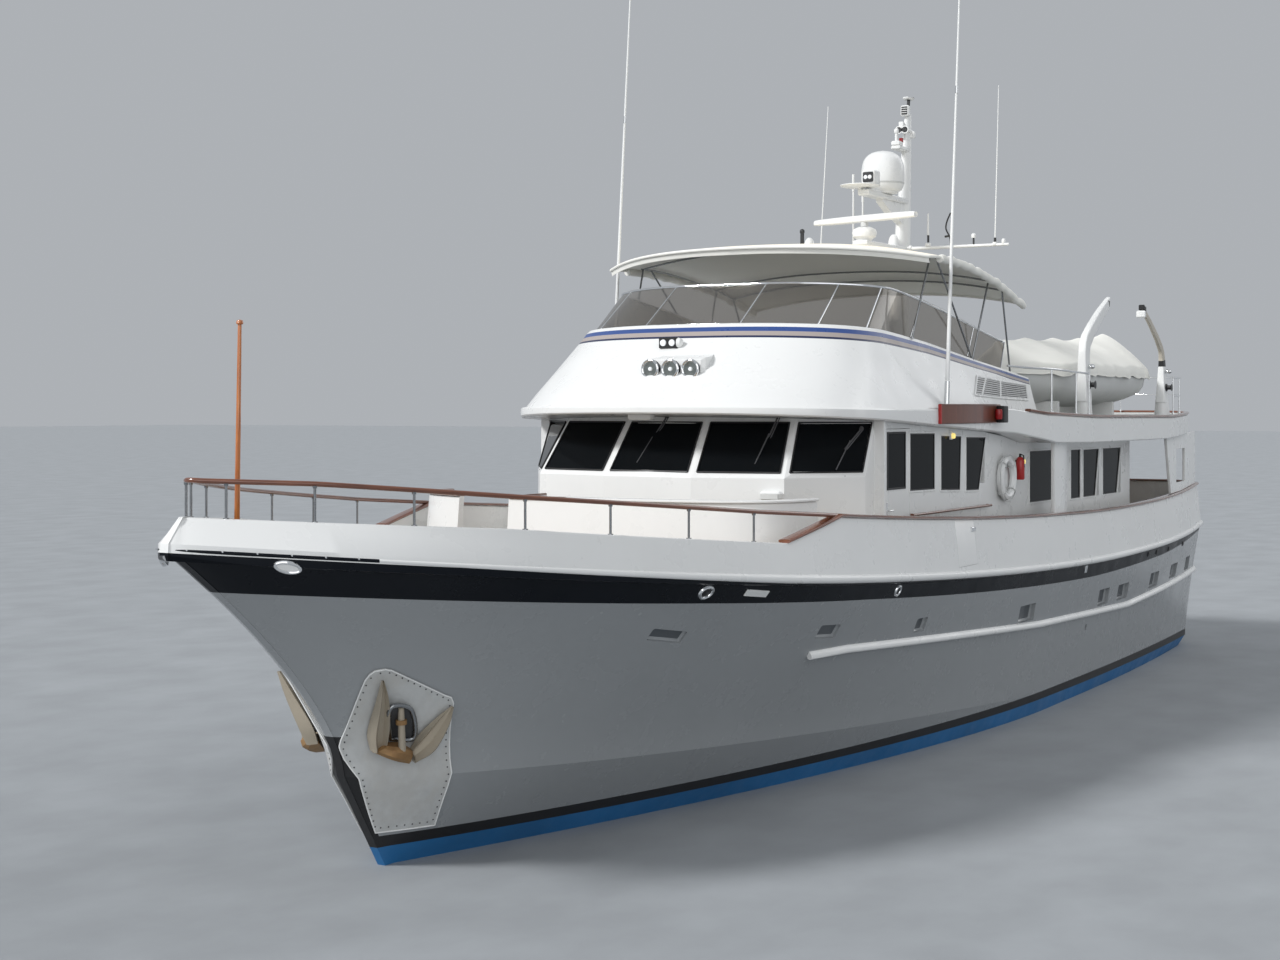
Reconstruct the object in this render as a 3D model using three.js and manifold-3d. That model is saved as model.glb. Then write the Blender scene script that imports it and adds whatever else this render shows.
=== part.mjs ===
// Motor yacht of about 29 m: hull, deckhouse, flybridge, mast, boat deck with tender and davits.
// Millimetres, +Z up, bow towards -Y, port side towards +X. The origin lies on the waterplane,
// midway along the waterline. A distance s runs aft from the stem at the waterline, so y = s - 12600.
import * as THREE from 'three';
import { mergeVertices } from 'three/addons/utils/BufferGeometryUtils.js';
import Module from 'manifold-3d';

const wasm = await Module();
wasm.setup();

// Driving dimensions
const WATERLINE_LENGTH = 25200;
const HALF_BEAM = 3400;
const STEM_TIP_S = -3400;
const STERN_S = 25600;
const STERN_CORNER_R = 900;
const STEM_HALF = 60;
const KEEL_HALF = 110;
const DECK_DROP = 80;
const DECK_THICK = 50;
const HULL_TOP_DROP = DECK_DROP + DECK_THICK;
const BULWARK_THICK = 95;
const RAISED_BULWARK_S = 5280;
const RAMP_START_S = 3950;
const HOUSE_HALF = 2750;
const WALL = 80;
const GLASS = 12;
const PILOTHOUSE_AFT_S = 13300;
const SALOON_AFT_S = 20500;
const BOAT_DECK_HALF = 3400;
const BOAT_DECK_AFT_S = 24700;
const GATE_S = [9300, 10100];
const DOOR_S = [8040, 8970];
const SHAFT_X = 1150;
const PROP_R = 480;
const RUDDER_ANGLE_S = 24250;
const GAP = 0.3;
const RUNNING_GAP = 6;
const HINGE_R = RUNNING_GAP - 0.5;

// Colours: name, colour, roughness, metalness
const PAINTS = {
  white: [0xf2f3f2, 0.35, 0.0],
  hullWhite: [0xd9dcde, 0.4, 0.0],
  teak: [0xa98a66, 0.75, 0.0],
  varnish: [0x8a3f1c, 0.25, 0.0],
  steel: [0xc9cccf, 0.2, 1.0],
  glass: [0x1d2326, 0.1, 0.0],
  canvas: [0xe9e7df, 0.9, 0.0],
  beige: [0xcdbfa5, 0.8, 0.0],
  bronze: [0x9a7840, 0.35, 1.0],
  galvanised: [0x8d8370, 0.6, 0.8],
  dark: [0x2c2f33, 0.6, 0.0],
};

const aft = (s) => s - WATERLINE_LENGTH / 2;
const mix = (a, b, f) => a + (b - a) * f;
const clamp01 = (f) => Math.min(1, Math.max(0, f));

// Value at s from a table of [s, value] rows, straight between the rows.
const fromTable = (table, s) => {
  const last = table.length - 1;
  if (s <= table[0][0]) return table[0][1];
  if (s >= table[last][0]) return table[last][1];
  const i = table.findIndex((row) => row[0] >= s);
  const [s0, v0] = table[i - 1];
  const [s1, v1] = table[i];
  return mix(v0, v1, (s - s0) / (s1 - s0));
};

// Sheer lines, in mm above the waterline
const knuckleZ = (s) => (s < 17500
  ? 2530 + 1300 * ((17500 - s) / 20900) ** 1.7
  : 2530 + 200 * ((s - 17500) / 7500) ** 2);
const deckZ = (s) => knuckleZ(s) - DECK_DROP;
const bulwarkRise = (s) => {
  const low = mix(290, 380, clamp01((s - STEM_TIP_S) / 3000));
  const high = mix(740, 790, clamp01((s - RAISED_BULWARK_S) / 9000));
  return mix(low, high, clamp01((s - RAMP_START_S) / (RAISED_BULWARK_S - RAMP_START_S)));
};
const bulwarkTopZ = (s) => knuckleZ(s) + bulwarkRise(s);
const bulwarkLean = (s) => mix(230, 80, clamp01((s - STEM_TIP_S) / 5000));
const upperLowZ = (s) => fromTable([[5600, 5120], [7400, 5030], [12600, 4790], [13850, 4610],
  [16000, 4580], [21000, 4580], [24700, 4700]], s);
const upperTopZ = (s) => fromTable([[5600, 5230], [7400, 5190], [11600, 5170], [12500, 5190],
  [13500, 5090], [16200, 5030], [21400, 5010], [24700, 5100]], s);
const coamingZ = (s) => fromTable([[7200, 6430], [8700, 6350], [10300, 6220], [12400, 5990],
  [14850, 5730]], s);

// Half-breadths
const knuckleHalf = (s) => {
  const x = clamp01((5500 - s) / 8900);
  const body = HALF_BEAM * (1 - x ** 1.6) ** (1 / 1.7);
  const fineness = 1 - 0.5 * Math.exp((STEM_TIP_S - s) / 1100);
  return body * fineness - 300 * clamp01((s - 20000) / 4700) ** 2;
};
const chineHalf = (s) => 3050 * (1 - clamp01((14500 - s) / 15220) ** 1.8) ** 0.62
  - 250 * clamp01((s - 17000) / 8000) ** 2;
const waterHalf = (s) => 2970 * (1 - clamp01((14500 - s) / 14500) ** 1.7)
  - 330 * clamp01((s - 17000) / 8200) ** 2;
// The stern's rounded corner takes this much off the half-breadth at a distance from the end.
const cornerCut = (fromEnd) => {
  const u = clamp01(1 - fromEnd / STERN_CORNER_R);
  return STERN_CORNER_R * (1 - Math.sqrt(1 - u * u));
};

// Solids from geometry
const toSolid = (geometry) => {
  geometry.deleteAttribute('normal');
  geometry.deleteAttribute('uv');
  const merged = mergeVertices(geometry, 1e-3);
  return new wasm.Manifold(new wasm.Mesh({
    numProp: 3,
    vertProperties: new Float32Array(merged.getAttribute('position').array),
    triVerts: new Uint32Array(merged.getIndex().array),
  }));
};

const newell = (ring) => {
  const n = new THREE.Vector3();
  ring.forEach((p, i) => {
    const q = ring[(i + 1) % ring.length];
    n.x += (p[1] - q[1]) * (p[2] + q[2]);
    n.y += (p[2] - q[2]) * (p[0] + q[0]);
    n.z += (p[0] - q[0]) * (p[1] + q[1]);
  });
  return n;
};

// Triangles that close one ring, wound as the ring is.
const capTriangles = (ring) => {
  const n = newell(ring);
  const size = [Math.abs(n.x), Math.abs(n.y), Math.abs(n.z)];
  const drop = size.indexOf(Math.max(...size));
  const keep = [[1, 2], [2, 0], [0, 1]][drop];
  const flat = ring.map((p) => new THREE.Vector2(p[keep[0]], p[keep[1]]));
  const faces = THREE.ShapeUtils.triangulateShape(flat, []);
  let area = 0;
  faces.forEach(([a, b, c]) => {
    area += (flat[b].x - flat[a].x) * (flat[c].y - flat[a].y)
      - (flat[b].y - flat[a].y) * (flat[c].x - flat[a].x);
  });
  const wanted = [n.x, n.y, n.z][drop];
  return area * wanted > 0 ? faces : faces.map(([a, b, c]) => [a, c, b]);
};

// Triangles that close a ring of mirrored point pairs, as a strip from pair to pair.
const stripTriangles = (ring) => {
  const count = ring.length;
  return Array.from({ length: count / 2 - 1 }).flatMap((_, i) => [
    [i, i + 1, count - 2 - i], [i, count - 2 - i, count - 1 - i]]);
};

// A solid through rings of equal point counts: closed at both ends, or endless round a loop.
const loft = (rings, endless = false, capOf = capTriangles) => {
  const count = rings[0].length;
  const triangles = [];
  const spans = endless ? rings.length : rings.length - 1;
  for (let i = 0; i < spans; i += 1) {
    const next = (i + 1) % rings.length;
    for (let j = 0; j < count; j += 1) {
      const k = (j + 1) % count;
      const [a, b, c, d] = [i * count + j, i * count + k, next * count + k, next * count + j];
      triangles.push([a, b, c], [a, c, d]);
    }
  }
  if (!endless) {
    const end = (rings.length - 1) * count;
    capOf(rings[0]).forEach(([a, b, c]) => triangles.push([a, c, b]));
    capOf(rings.at(-1)).forEach(([a, b, c]) => triangles.push([end + a, end + b, end + c]));
  }
  const points = rings.flat();
  let volume = 0;
  triangles.forEach(([a, b, c]) => {
    const [p, q, r] = [points[a], points[b], points[c]];
    volume += p[0] * (q[1] * r[2] - q[2] * r[1]) - p[1] * (q[0] * r[2] - q[2] * r[0])
      + p[2] * (q[0] * r[1] - q[1] * r[0]);
  });
  const wound = volume > 0 ? triangles : triangles.map(([a, b, c]) => [a, c, b]);
  const geometry = new THREE.BufferGeometry();
  geometry.setAttribute('position', new THREE.Float32BufferAttribute(points.flat(), 3));
  geometry.setIndex(wound.flat());
  return toSolid(geometry);
};

const box = (x0, x1, y0, y1, z0, z1) => {
  const geometry = new THREE.BoxGeometry(x1 - x0, y1 - y0, z1 - z0);
  geometry.translate((x0 + x1) / 2, (y0 + y1) / 2, (z0 + z1) / 2);
  return toSolid(geometry);
};

const rod = (from, to, r0, r1 = r0, sides = 12) => {
  const a = new THREE.Vector3(...from);
  const b = new THREE.Vector3(...to);
  const along = b.clone().sub(a);
  const geometry = new THREE.CylinderGeometry(r1, r0, along.length(), sides);
  const turn = new THREE.Quaternion().setFromUnitVectors(new THREE.Vector3(0, 1, 0),
    along.normalize());
  geometry.applyQuaternion(turn);
  geometry.translate((a.x + b.x) / 2, (a.y + b.y) / 2, (a.z + b.z) / 2);
  return toSolid(geometry);
};

const tube = (points, radius, sides, steps) => {
  const shape = new THREE.Shape();
  shape.absarc(0, 0, radius, 0, Math.PI * 2);
  const path = new THREE.CatmullRomCurve3(points.map((p) => new THREE.Vector3(...p)));
  return toSolid(new THREE.ExtrudeGeometry(shape, {
    steps, extrudePath: path, curveSegments: sides / 2, bevelEnabled: false,
  }));
};

const turned = (profile, sides) => {
  const geometry = new THREE.LatheGeometry(profile.map(([r, z]) => new THREE.Vector2(r, z)), sides);
  geometry.rotateX(Math.PI / 2);
  return toSolid(geometry);
};

const join = (...solids) => solids.reduce((sum, solid) => sum.add(solid));
const cut = (solid, ...tools) => tools.reduce((rest, tool) => rest.subtract(tool), solid);
const mirrored = (solid) => solid.mirror([1, 0, 0]);
const both = (solid) => solid.add(mirrored(solid));
const above = (solid, support) => cut(solid, support.translate([0, 0, GAP]), support);

// A body of cross-sections: rows of [half-breadth, y, low z, top z] from bow to stern.
const crossLoft = (rows) => loft(rows.map(([half, y, low, top]) => [[half, y, low], [half, y, top],
  [-half, y, top], [-half, y, low]]));
const biggest = (solid) => solid.decompose().sort((a, b) => b.volume() - a.volume())[0];

// Half points become a closed outline that is the same on both sides of the ship.
const fullOutline = (half) => [...half, ...half.slice().reverse().filter(([x]) => x > 1)
  .map(([x, y]) => [-x, y])];

// Scene graph
const yacht = new THREE.Group();
const paint = (name) => {
  const [color, roughness, metalness] = PAINTS[name];
  return new THREE.MeshStandardMaterial({ color, roughness, metalness });
};
const piece = (name, solid, paintName, pivot = [0, 0, 0], group = yacht) => {
  const placed = solid.translate(pivot.map((v) => -v));
  const { vertProperties, triVerts } = placed.getMesh();
  const geometry = new THREE.BufferGeometry();
  geometry.setAttribute('position', new THREE.Float32BufferAttribute(vertProperties, 3));
  geometry.setIndex(Array.from(triVerts));
  geometry.computeVertexNormals();
  const mesh = new THREE.Mesh(geometry, paint(paintName));
  mesh.name = name;
  mesh.position.set(...pivot);
  group.add(mesh);
  return mesh;
};
const pair = (name, solid, paintName, pivot = [0, 0, 0]) => {
  piece(`${name}_port`, solid, paintName, pivot);
  piece(`${name}_starboard`, mirrored(solid), paintName, [-pivot[0], pivot[1], pivot[2]]);
};

// Hull: every station joins a keel, bilge, waterline, chine and knuckle point at the same
// fraction t of each line's own length, so the raked stem and the flare follow by themselves.
const HULL_STEPS = [0, 0.004, 0.014, 0.03, 0.055, 0.09, 0.135, 0.19, 0.26, 0.35, 0.46, 0.58, 0.7,
  0.8, 0.845, 0.86, 0.92, 0.955, 0.966, 0.978, 0.99, 1];
const HULL_LINES = {
  keel: { start: 2600, end: 25000 },
  garboard: { start: 1500, end: 25020 },
  bilge: { start: 600, end: 25100 },
  water: { start: 0, end: 25250 },
  chine: { start: -720, end: 25350 },
  knuckle: { start: STEM_TIP_S, end: STERN_S },
};
const keelZ = (s) => fromTable([[2600, -1250], [5000, -1600], [20200, -1850], [20700, -900],
  [25100, -480]], s);
const canoeZ = (s) => fromTable([[1500, -700], [5000, -1050], [14000, -1150], [20000, -850],
  [25100, -440]], s);
const SIDE_LEVELS = [0.22, 0.45, 0.66, 0.84, 1];
const hullStation = (t) => {
  const lineS = (name) => mix(HULL_LINES[name].start, HULL_LINES[name].end, t);
  const trimmed = (name, half) => {
    const s = lineS(name);
    return Math.max(STEM_HALF, half(s) - cornerCut(HULL_LINES[name].end - s));
  };
  const keel = [KEEL_HALF, lineS('keel'), keelZ(lineS('keel'))];
  const garboard = [KEEL_HALF + 10, lineS('garboard'), canoeZ(lineS('garboard'))];
  const water = [trimmed('water', waterHalf), lineS('water'), 0];
  const chineAt = lineS('chine');
  const chine = [trimmed('chine', chineHalf), chineAt, Math.max(230, 1090 - 0.053 * chineAt)];
  const bilge = [Math.max(STEM_HALF, water[0] * 0.8), lineS('bilge'),
    canoeZ(lineS('bilge')) * 0.62];
  const knuckleAt = lineS('knuckle');
  const knuckle = [trimmed('knuckle', knuckleHalf), knuckleAt,
    knuckleZ(knuckleAt) - HULL_TOP_DROP];
  const sides = SIDE_LEVELS.map((f) => [mix(chine[0], knuckle[0], f ** 1.25),
    mix(chine[1], knuckle[1], f ** 1.5), mix(chine[2], knuckle[2], f)]);
  return [keel, garboard, bilge, water, chine, ...sides];
};
const hullRing = (t) => {
  const port = hullStation(t).map(([x, s, z]) => [x, aft(s), z]);
  return [...port, ...port.slice().reverse().map(([x, y, z]) => [-x, y, z])];
};

// The knuckle line in plan, port side, from bow to stern centre, with its outward normal.
const rimPoint = (s) => {
  const half = (at) => Math.max(0, knuckleHalf(at) - cornerCut(STERN_S - at));
  return [half(s), aft(s)];
};
const RIM_S = [-3400, -3370, -3280, -3130, -2900, -2600, -2100, -1400, -500, 600, 1900, 3300,
  3950, 5280, 6600, 9290, 10110, 13000, 17000, 20500, 22800, 24700, 25000, 25300, 25500, 25590];
const rim = (() => {
  const half = [...RIM_S.map((s) => [...rimPoint(s), s]), [1100, aft(STERN_S), STERN_S],
    [0, aft(STERN_S), STERN_S]];
  const full = [...half, ...half.slice(1, -1).reverse().map(([x, y, s]) => [-x, y, s])];
  return full.map(([x, y, s], i) => {
    const before = full[(i + full.length - 1) % full.length];
    const after = full[(i + 1) % full.length];
    const tangent = new THREE.Vector2(after[0] - before[0], after[1] - before[1]).normalize();
    return { x, y, s, nx: tangent.y, ny: -tangent.x };
  });
})();
const alongRim = (profile, keep = () => true) => {
  const endless = rim.every(keep);
  let stations = rim.filter(keep);
  if (!endless) {
    const first = rim.findIndex((p, i) => keep(p) && !keep(rim[(i + rim.length - 1) % rim.length]));
    stations = rim.map((_, i) => rim[(first + i) % rim.length]).filter(keep);
  }
  return loft(stations.map((p) => profile(p).map(([out, z]) => [p.x + p.nx * out,
    p.y + p.ny * out, z])), endless);
};

// Bulwark with the white rub guard at its foot
const bulwarkProfile = ({ s }) => {
  const z = knuckleZ(s);
  const foot = z - HULL_TOP_DROP - 15;
  const lean = bulwarkLean(s);
  return [[-40, foot], [4, foot + 16], [55, z - 90], [55, z - 20], [0, z + 40], [-lean, bulwarkTopZ(s)],
    [-lean - BULWARK_THICK, bulwarkTopZ(s)], [-BULWARK_THICK - 20, z - DECK_DROP + 8],
    [-BULWARK_THICK - 20, foot]];
};
const CAP_HALF = 90;
const CAP_THICK = 45;
const capProfile = ({ s }) => {
  const middle = -bulwarkLean(s) - BULWARK_THICK / 2;
  const z = bulwarkTopZ(s) + GAP;
  return [[middle + CAP_HALF, z], [middle + CAP_HALF, z + CAP_THICK],
    [middle - CAP_HALF, z + CAP_THICK], [middle - CAP_HALF, z]];
};
const guardZ = (s) => fromTable([[5200, 1960], [12800, 1590], [18400, 1450], [25600, 1700]], s);
const hullBody = loft(HULL_STEPS.map(hullRing), false, stripTriangles);
// The hull a little larger, so that what stands on it keeps a gap to its top and its flare.
const hullSkin = hullBody.scale([1.0002, 1.00004, 1]).translate([0, 0, GAP]);
// How far the topsides lie inboard of the knuckle line at a height.
const tumble = (s, z) => {
  const t = clamp01((s - STEM_TIP_S) / (STERN_S - STEM_TIP_S));
  const station = hullStation(t);
  const chine = station[4];
  const knuckle = station.at(-1);
  const f = clamp01((z - chine[2]) / (knuckle[2] - chine[2]));
  return (knuckle[0] - chine[0]) * (1 - f ** 1.25);
};
const lowerGuard = alongRim(({ s }) => {
  const z = guardZ(s);
  const inset = tumble(s, z);
  return [[-inset - 200, z - 60], [-inset + 30, z - 60], [-inset + 75, z], [-inset + 30, z + 60],
    [-inset - 200, z + 60]];
}, (p) => p.s >= 5280);
const bulwarkWhole = cut(alongRim(bulwarkProfile), hullSkin, hullBody);
const capWhole = above(alongRim(capProfile, (p) => p.s >= RAISED_BULWARK_S), bulwarkWhole);
const railMass = alongRim(({ s }) => {
  const top = bulwarkTopZ(s) + (s >= RAISED_BULWARK_S ? CAP_THICK : 0) + 2 * GAP;
  const inner = -bulwarkLean(s) - BULWARK_THICK - 50;
  return [[200, 0], [200, top], [inner, top], [inner, 0]];
});
const gateZone = (side, grow, lift) => {
  const [x0, x1] = side > 0 ? [2900, 3700] : [-3700, -2900];
  return box(x0, x1, aft(GATE_S[0]) - grow, aft(GATE_S[1]) + grow, knuckleZ(9700) + lift, 4500);
};
const GATE_SILL = 70;

const capCut = cut(capWhole, gateZone(1, 0, GATE_SILL), gateZone(-1, 0, GATE_SILL));
const forwardHalf = (side) => box(side > 0 ? 0 : -4000, side > 0 ? 4000 : 0, -20000, aft(9700),
  0, 6000);
const GATE_PIVOT = [HALF_BEAM + 40, aft(GATE_S[1]) - RUNNING_GAP, knuckleZ(9700) + 300];
const GATE_HINGES = [180, 480];
const STRAP_X = 3310;
const gateLugs = join(...GATE_HINGES.map((rise) => box(STRAP_X, GATE_PIVOT[0] + 12, aft(GATE_S[1]),
  aft(GATE_S[1]) + 50, knuckleZ(9700) + rise, knuckleZ(9700) + rise + 60)));
const gateStraps = join(...GATE_HINGES.flatMap((rise) => {
  const [x, y] = GATE_PIVOT;
  const z = knuckleZ(9700) + rise;
  return [box(STRAP_X, x, y - 90, y, z, z + 60), rod([x, y, z], [x, y, z + 60], HINGE_R)];
}));
const bulwark = join(cut(bulwarkWhole, gateZone(1, 0, GATE_SILL), gateZone(-1, 0, GATE_SILL)),
  both(gateLugs));
const gateLeaf = join(join(bulwarkWhole, capWhole.translate([0, 0, -GAP]))
  .intersect(gateZone(1, -RUNNING_GAP, GATE_SILL + RUNNING_GAP)), gateStraps);

// Underwater gear: struts and stern tubes belong to the hull, a propeller turns with its shaft.
const SHAFT_START = [SHAFT_X, aft(19600), -900];
const SHAFT_END = [SHAFT_X, aft(23000), -1180];
const shaftPoint = (f) => SHAFT_START.map((v, i) => mix(v, SHAFT_END[i], f));
const sternGear = (() => {
  const bossEnd = shaftPoint(0.05);
  const boss = rod([SHAFT_X, aft(18200), -780], bossEnd, 60, 110, 16);
  const barrel = rod(shaftPoint(0.84), shaftPoint(0.93), 85, 85, 20);
  const bore = rod(shaftPoint(0.8), shaftPoint(0.97), 46, 46, 24);
  const [, y, z] = shaftPoint(0.885);
  const leg = loft([[[SHAFT_X - 30, y - 140, z + 60], [SHAFT_X + 30, y - 140, z + 60],
    [SHAFT_X + 30, y + 140, z + 60], [SHAFT_X - 30, y + 140, z + 60]],
  [[SHAFT_X - 30, y - 220, -400], [SHAFT_X + 30, y - 220, -400],
    [SHAFT_X + 30, y + 100, -400], [SHAFT_X - 30, y + 100, -400]]]);
  const post = rod([SHAFT_X, aft(RUDDER_ANGLE_S), -640], [SHAFT_X, aft(RUDDER_ANGLE_S), -350], 110,
    150, 16);
  return join(cut(join(barrel, leg), bore), boss, post);
})();
const PROP_AT = 0.97;
const propeller = (() => {
  const shaft = rod(shaftPoint(0.05).map((v, i) => v + (i === 1 ? 0.5 : 0)), shaftPoint(0.95), 38,
    38, 16);
  const hub = rod(shaftPoint(0.94), shaftPoint(1), 95, 60, 16);
  const cone = rod(shaftPoint(0.995), shaftPoint(1.035), 60, 10, 16);
  const hubAt = shaftPoint(PROP_AT);
  const blades = [0, 1, 2, 3].map((n) => {
    const ring = (r, half, twist, thick) => [[-half, -thick], [half, -thick], [half, thick],
      [-half, thick]].map(([a, b]) => [a * Math.cos(twist) - b * Math.sin(twist),
      a * Math.sin(twist) + b * Math.cos(twist), r]);
    const blade = loft([ring(60, 70, 0.9, 14), ring(200, 150, 0.65, 12), ring(350, 170, 0.5, 9),
      ring(PROP_R, 70, 0.42, 5)]);
    return blade.rotate([0, n * 90, 0]).translate(hubAt);
  });
  return join(shaft, hub, cone, ...blades);
})();
const rudder = (() => {
  const y = aft(RUDDER_ANGLE_S);
  const foil = (z, fore, back) => [[0, y - fore], [55, y - fore * 0.4], [60, y], [8, y + back],
    [-8, y + back], [-60, y], [-55, y - fore * 0.4]].map(([x, at]) => [SHAFT_X + x, at, z]);
  const blade = loft([foil(-1560, 180, 470), foil(-720, 210, 560)]);
  const stock = rod([SHAFT_X, y, -730], [SHAFT_X, y, -640.4], 48, 48, 16);
  return join(blade, stock);
})();
const RUDDER_PIVOT = [SHAFT_X, aft(RUDDER_ANGLE_S), -640];

// Main deck with the foredeck hatch coaming
const DECK_INSET = BULWARK_THICK + 24;
const DECK_ROWS = rim.filter((p, i) => i < RIM_S.length && p.s > -3150)
  .map((p) => [Math.max(20, p.x - p.nx * DECK_INSET), p.y - p.ny * DECK_INSET])
  .map(([x, y]) => [x, y, deckZ(y + WATERLINE_LENGTH / 2)]);
const mainMass = crossLoft(DECK_ROWS.map(([, y, top]) => [3700, y, 0, top + GAP]));
const HATCH = { s: 1200, half: 420, rise: 150 };
const deck = (() => {
  const plate = crossLoft(DECK_ROWS.map(([x, y, top]) => [x, y, top - DECK_THICK - 15, top]));
  const z = deckZ(HATCH.s);
  const y = aft(HATCH.s);
  const rise = box(-HATCH.half, HATCH.half, y - HATCH.half, y + HATCH.half, z - 45, z + HATCH.rise);
  const well = box(-HATCH.half + 60, HATCH.half - 60, y - HATCH.half + 60, y + HATCH.half - 60,
    z + 15, z + HATCH.rise + 10);
  return cut(join(plate, rise), hullSkin, well);
})();
const hatchTop = deckZ(HATCH.s) + HATCH.rise;
const hatchLid = box(-HATCH.half - 25, HATCH.half + 25, aft(HATCH.s) - HATCH.half - 25,
  aft(HATCH.s) + HATCH.half + 25, hatchTop + 0.4, hatchTop + 55);
const HATCH_PIVOT = [0, aft(HATCH.s) + HATCH.half + 25, hatchTop + 0.4];

// Deckhouse plans: half outlines as [x, s, z], port side, from the centreline aft.
const SILL_S = [[0, 5960], [710, 5980], [2010, 6280], [HOUSE_HALF, 7350]];
const HEAD_S = [[0, 6600], [640, 6620], [1880, 6900], [HOUSE_HALF, 7750]];
const houseRing = (plan, zAt, inset, aftS) => {
  const half = [...plan, [plan.at(-1)[0], aftS]];
  const shrunk = half.map(([x, s], i) => {
    const corner = i === half.length - 1;
    const before = half[Math.max(0, i - 1)];
    const after = half[Math.min(half.length - 1, i + 1)];
    const normals = [[before, [x, s]], [[x, s], after]].map(([p, q]) => {
      const run = new THREE.Vector2(q[0] - p[0], q[1] - p[1]);
      return run.length() > 0 ? new THREE.Vector2(run.y, -run.x).normalize() : null;
    }).filter(Boolean);
    if (i === 0) return [0, s + inset];
    if (corner) return [x - inset, s - inset];
    const sum = normals[0].clone().add(normals[1]);
    const scale = inset * 2 / sum.lengthSq();
    return [x - sum.x * scale, s - sum.y * scale];
  });
  const outline = fullOutline(shrunk.map(([x, s]) => [x, s]));
  return outline.map(([x, s]) => [x, aft(s), zAt(s)]);
};
const SILL_Z = 4230;
const HEAD_Z = 5060;
const houseSolid = (inset, zBottom, zTop) => loft([
  houseRing(SILL_S, zBottom, inset, PILOTHOUSE_AFT_S),
  houseRing(SILL_S, () => SILL_Z, inset, PILOTHOUSE_AFT_S),
  houseRing(HEAD_S, () => HEAD_Z, inset, PILOTHOUSE_AFT_S),
  houseRing(HEAD_S, zTop, inset, PILOTHOUSE_AFT_S)]);

// Front panes: corner pairs along the sill and head lines, both sides of the centre pane.
const facetCorner = (i, f) => {
  const lower = [...SILL_S[i], SILL_Z];
  const upper = [...HEAD_S[i], HEAD_Z];
  return [mix(lower[0], upper[0], f), aft(mix(lower[1], upper[1], f)), mix(lower[2], upper[2], f)];
};
const paneTool = (a, b) => {
  const corner = (p, q, side, f) => p(f).map((v, k) => mix(v, q(f)[k], side));
  const quad = [corner(a, b, 0.06, 0.1), corner(a, b, 0.94, 0.1), corner(a, b, 0.94, 0.9),
    corner(a, b, 0.06, 0.9)];
  const n = newell(quad).normalize();
  const shift = (d) => quad.map((p) => [p[0] + n.x * d, p[1] + n.y * d, p[2] + n.z * d]);
  return loft([shift(-260), shift(260)]);
};
const frontPanes = [
  paneTool((f) => facetCorner(1, f), (f) => facetCorner(1, f).map((v, k) => (k ? v : -v))),
  paneTool((f) => facetCorner(1, f), (f) => facetCorner(2, f)),
  paneTool((f) => facetCorner(2, f), (f) => facetCorner(3, f)),
];

// Side windows: [first s, last s, bottom z, top z]; each cuts both sides at once.
const PILOTHOUSE_WINDOWS = [[9060, 9880, 4030, 4800], [10210, 11050, 4010, 4760],
  [11290, 12150, 3990, 4730]];
const SALOON_WINDOWS = [[14350, 15650, 3560, 4460], [16650, 17250, 3530, 4440],
  [17400, 18420, 3530, 4430], [18640, 19880, 3530, 4430]];
const sideCut = ([s0, s1, z0, z1], x0 = -4000, x1 = 4000) => box(x0, x1, aft(s0), aft(s1), z0, z1);
const UPPER_HALF = [[20, 5600], [900, 5680], [1700, 5930], [2350, 6380], [2760, 6900],
  [3000, 7500], [3000, 9500], [3000, 11600], [3000, 12150], [3220, 13000],
  [BOAT_DECK_HALF, 13850], [BOAT_DECK_HALF, 16000], [BOAT_DECK_HALF, 21000], [3250, 22900],
  [3000, 24000], [2500, 24520], [1500, BOAT_DECK_AFT_S]];
const upperRows = (half, low, top) => UPPER_HALF.map(([x, s]) => [half ?? x, aft(s), low(s),
  top(s)]);
const upperSlab = crossLoft(upperRows(null, upperLowZ, upperTopZ));
const underBoatDeck = crossLoft(upperRows(3800, () => 0, (s) => upperTopZ(s) + GAP));
const overBoatDeck = crossLoft(upperRows(3800, (s) => upperLowZ(s) - GAP, () => 9000));
const upperPlan = fullOutline([[0, UPPER_HALF[0][1]], ...UPPER_HALF.slice(1),
  [0, BOAT_DECK_AFT_S]]);

const pilothouseWhole = cut(houseSolid(0, () => 2400, () => 5400),
  houseSolid(WALL, () => 2300, () => 5500), mainMass, overBoatDeck);
const wingPillar = box(HOUSE_HALF - 5, 2900, aft(7660), aft(7740), 2900, 5400);
const DOOR_LEAF_THICK = 50;
const doorOpening = box(HOUSE_HALF - 300, HOUSE_HALF + 200, aft(DOOR_S[0]), aft(DOOR_S[1]),
  deckZ(DOOR_S[0]) + 60, 4900);
const pilothouse = (() => {
  const windows = PILOTHOUSE_WINDOWS.map((row) => sideCut(row));
  const panes = frontPanes.flatMap((pane, i) => (i === 0 ? [pane] : [pane, mirrored(pane)]));
  const pillar = cut(wingPillar, mainMass, overBoatDeck);
  const shell = cut(pilothouseWhole, ...windows, ...panes, doorOpening, mirrored(doorOpening));
  const aftDoorway = box(-450, 450, aft(PILOTHOUSE_AFT_S) - 300, aft(PILOTHOUSE_AFT_S) + 100,
    deckZ(13300) + 40, deckZ(13300) + 1980);
  const glassNotch = box(2630, HOUSE_HALF - WALL, aft(PILOTHOUSE_AFT_S) - 300,
    aft(PILOTHOUSE_AFT_S) + 100, 3470, 4540);
  return cut(join(shell, pillar, mirrored(pillar)), aftDoorway, glassNotch, mirrored(glassNotch));
})();
const DOOR_PIVOT = [HOUSE_HALF - DOOR_LEAF_THICK, aft(DOOR_S[1]) - RUNNING_GAP, 3900];
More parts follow.
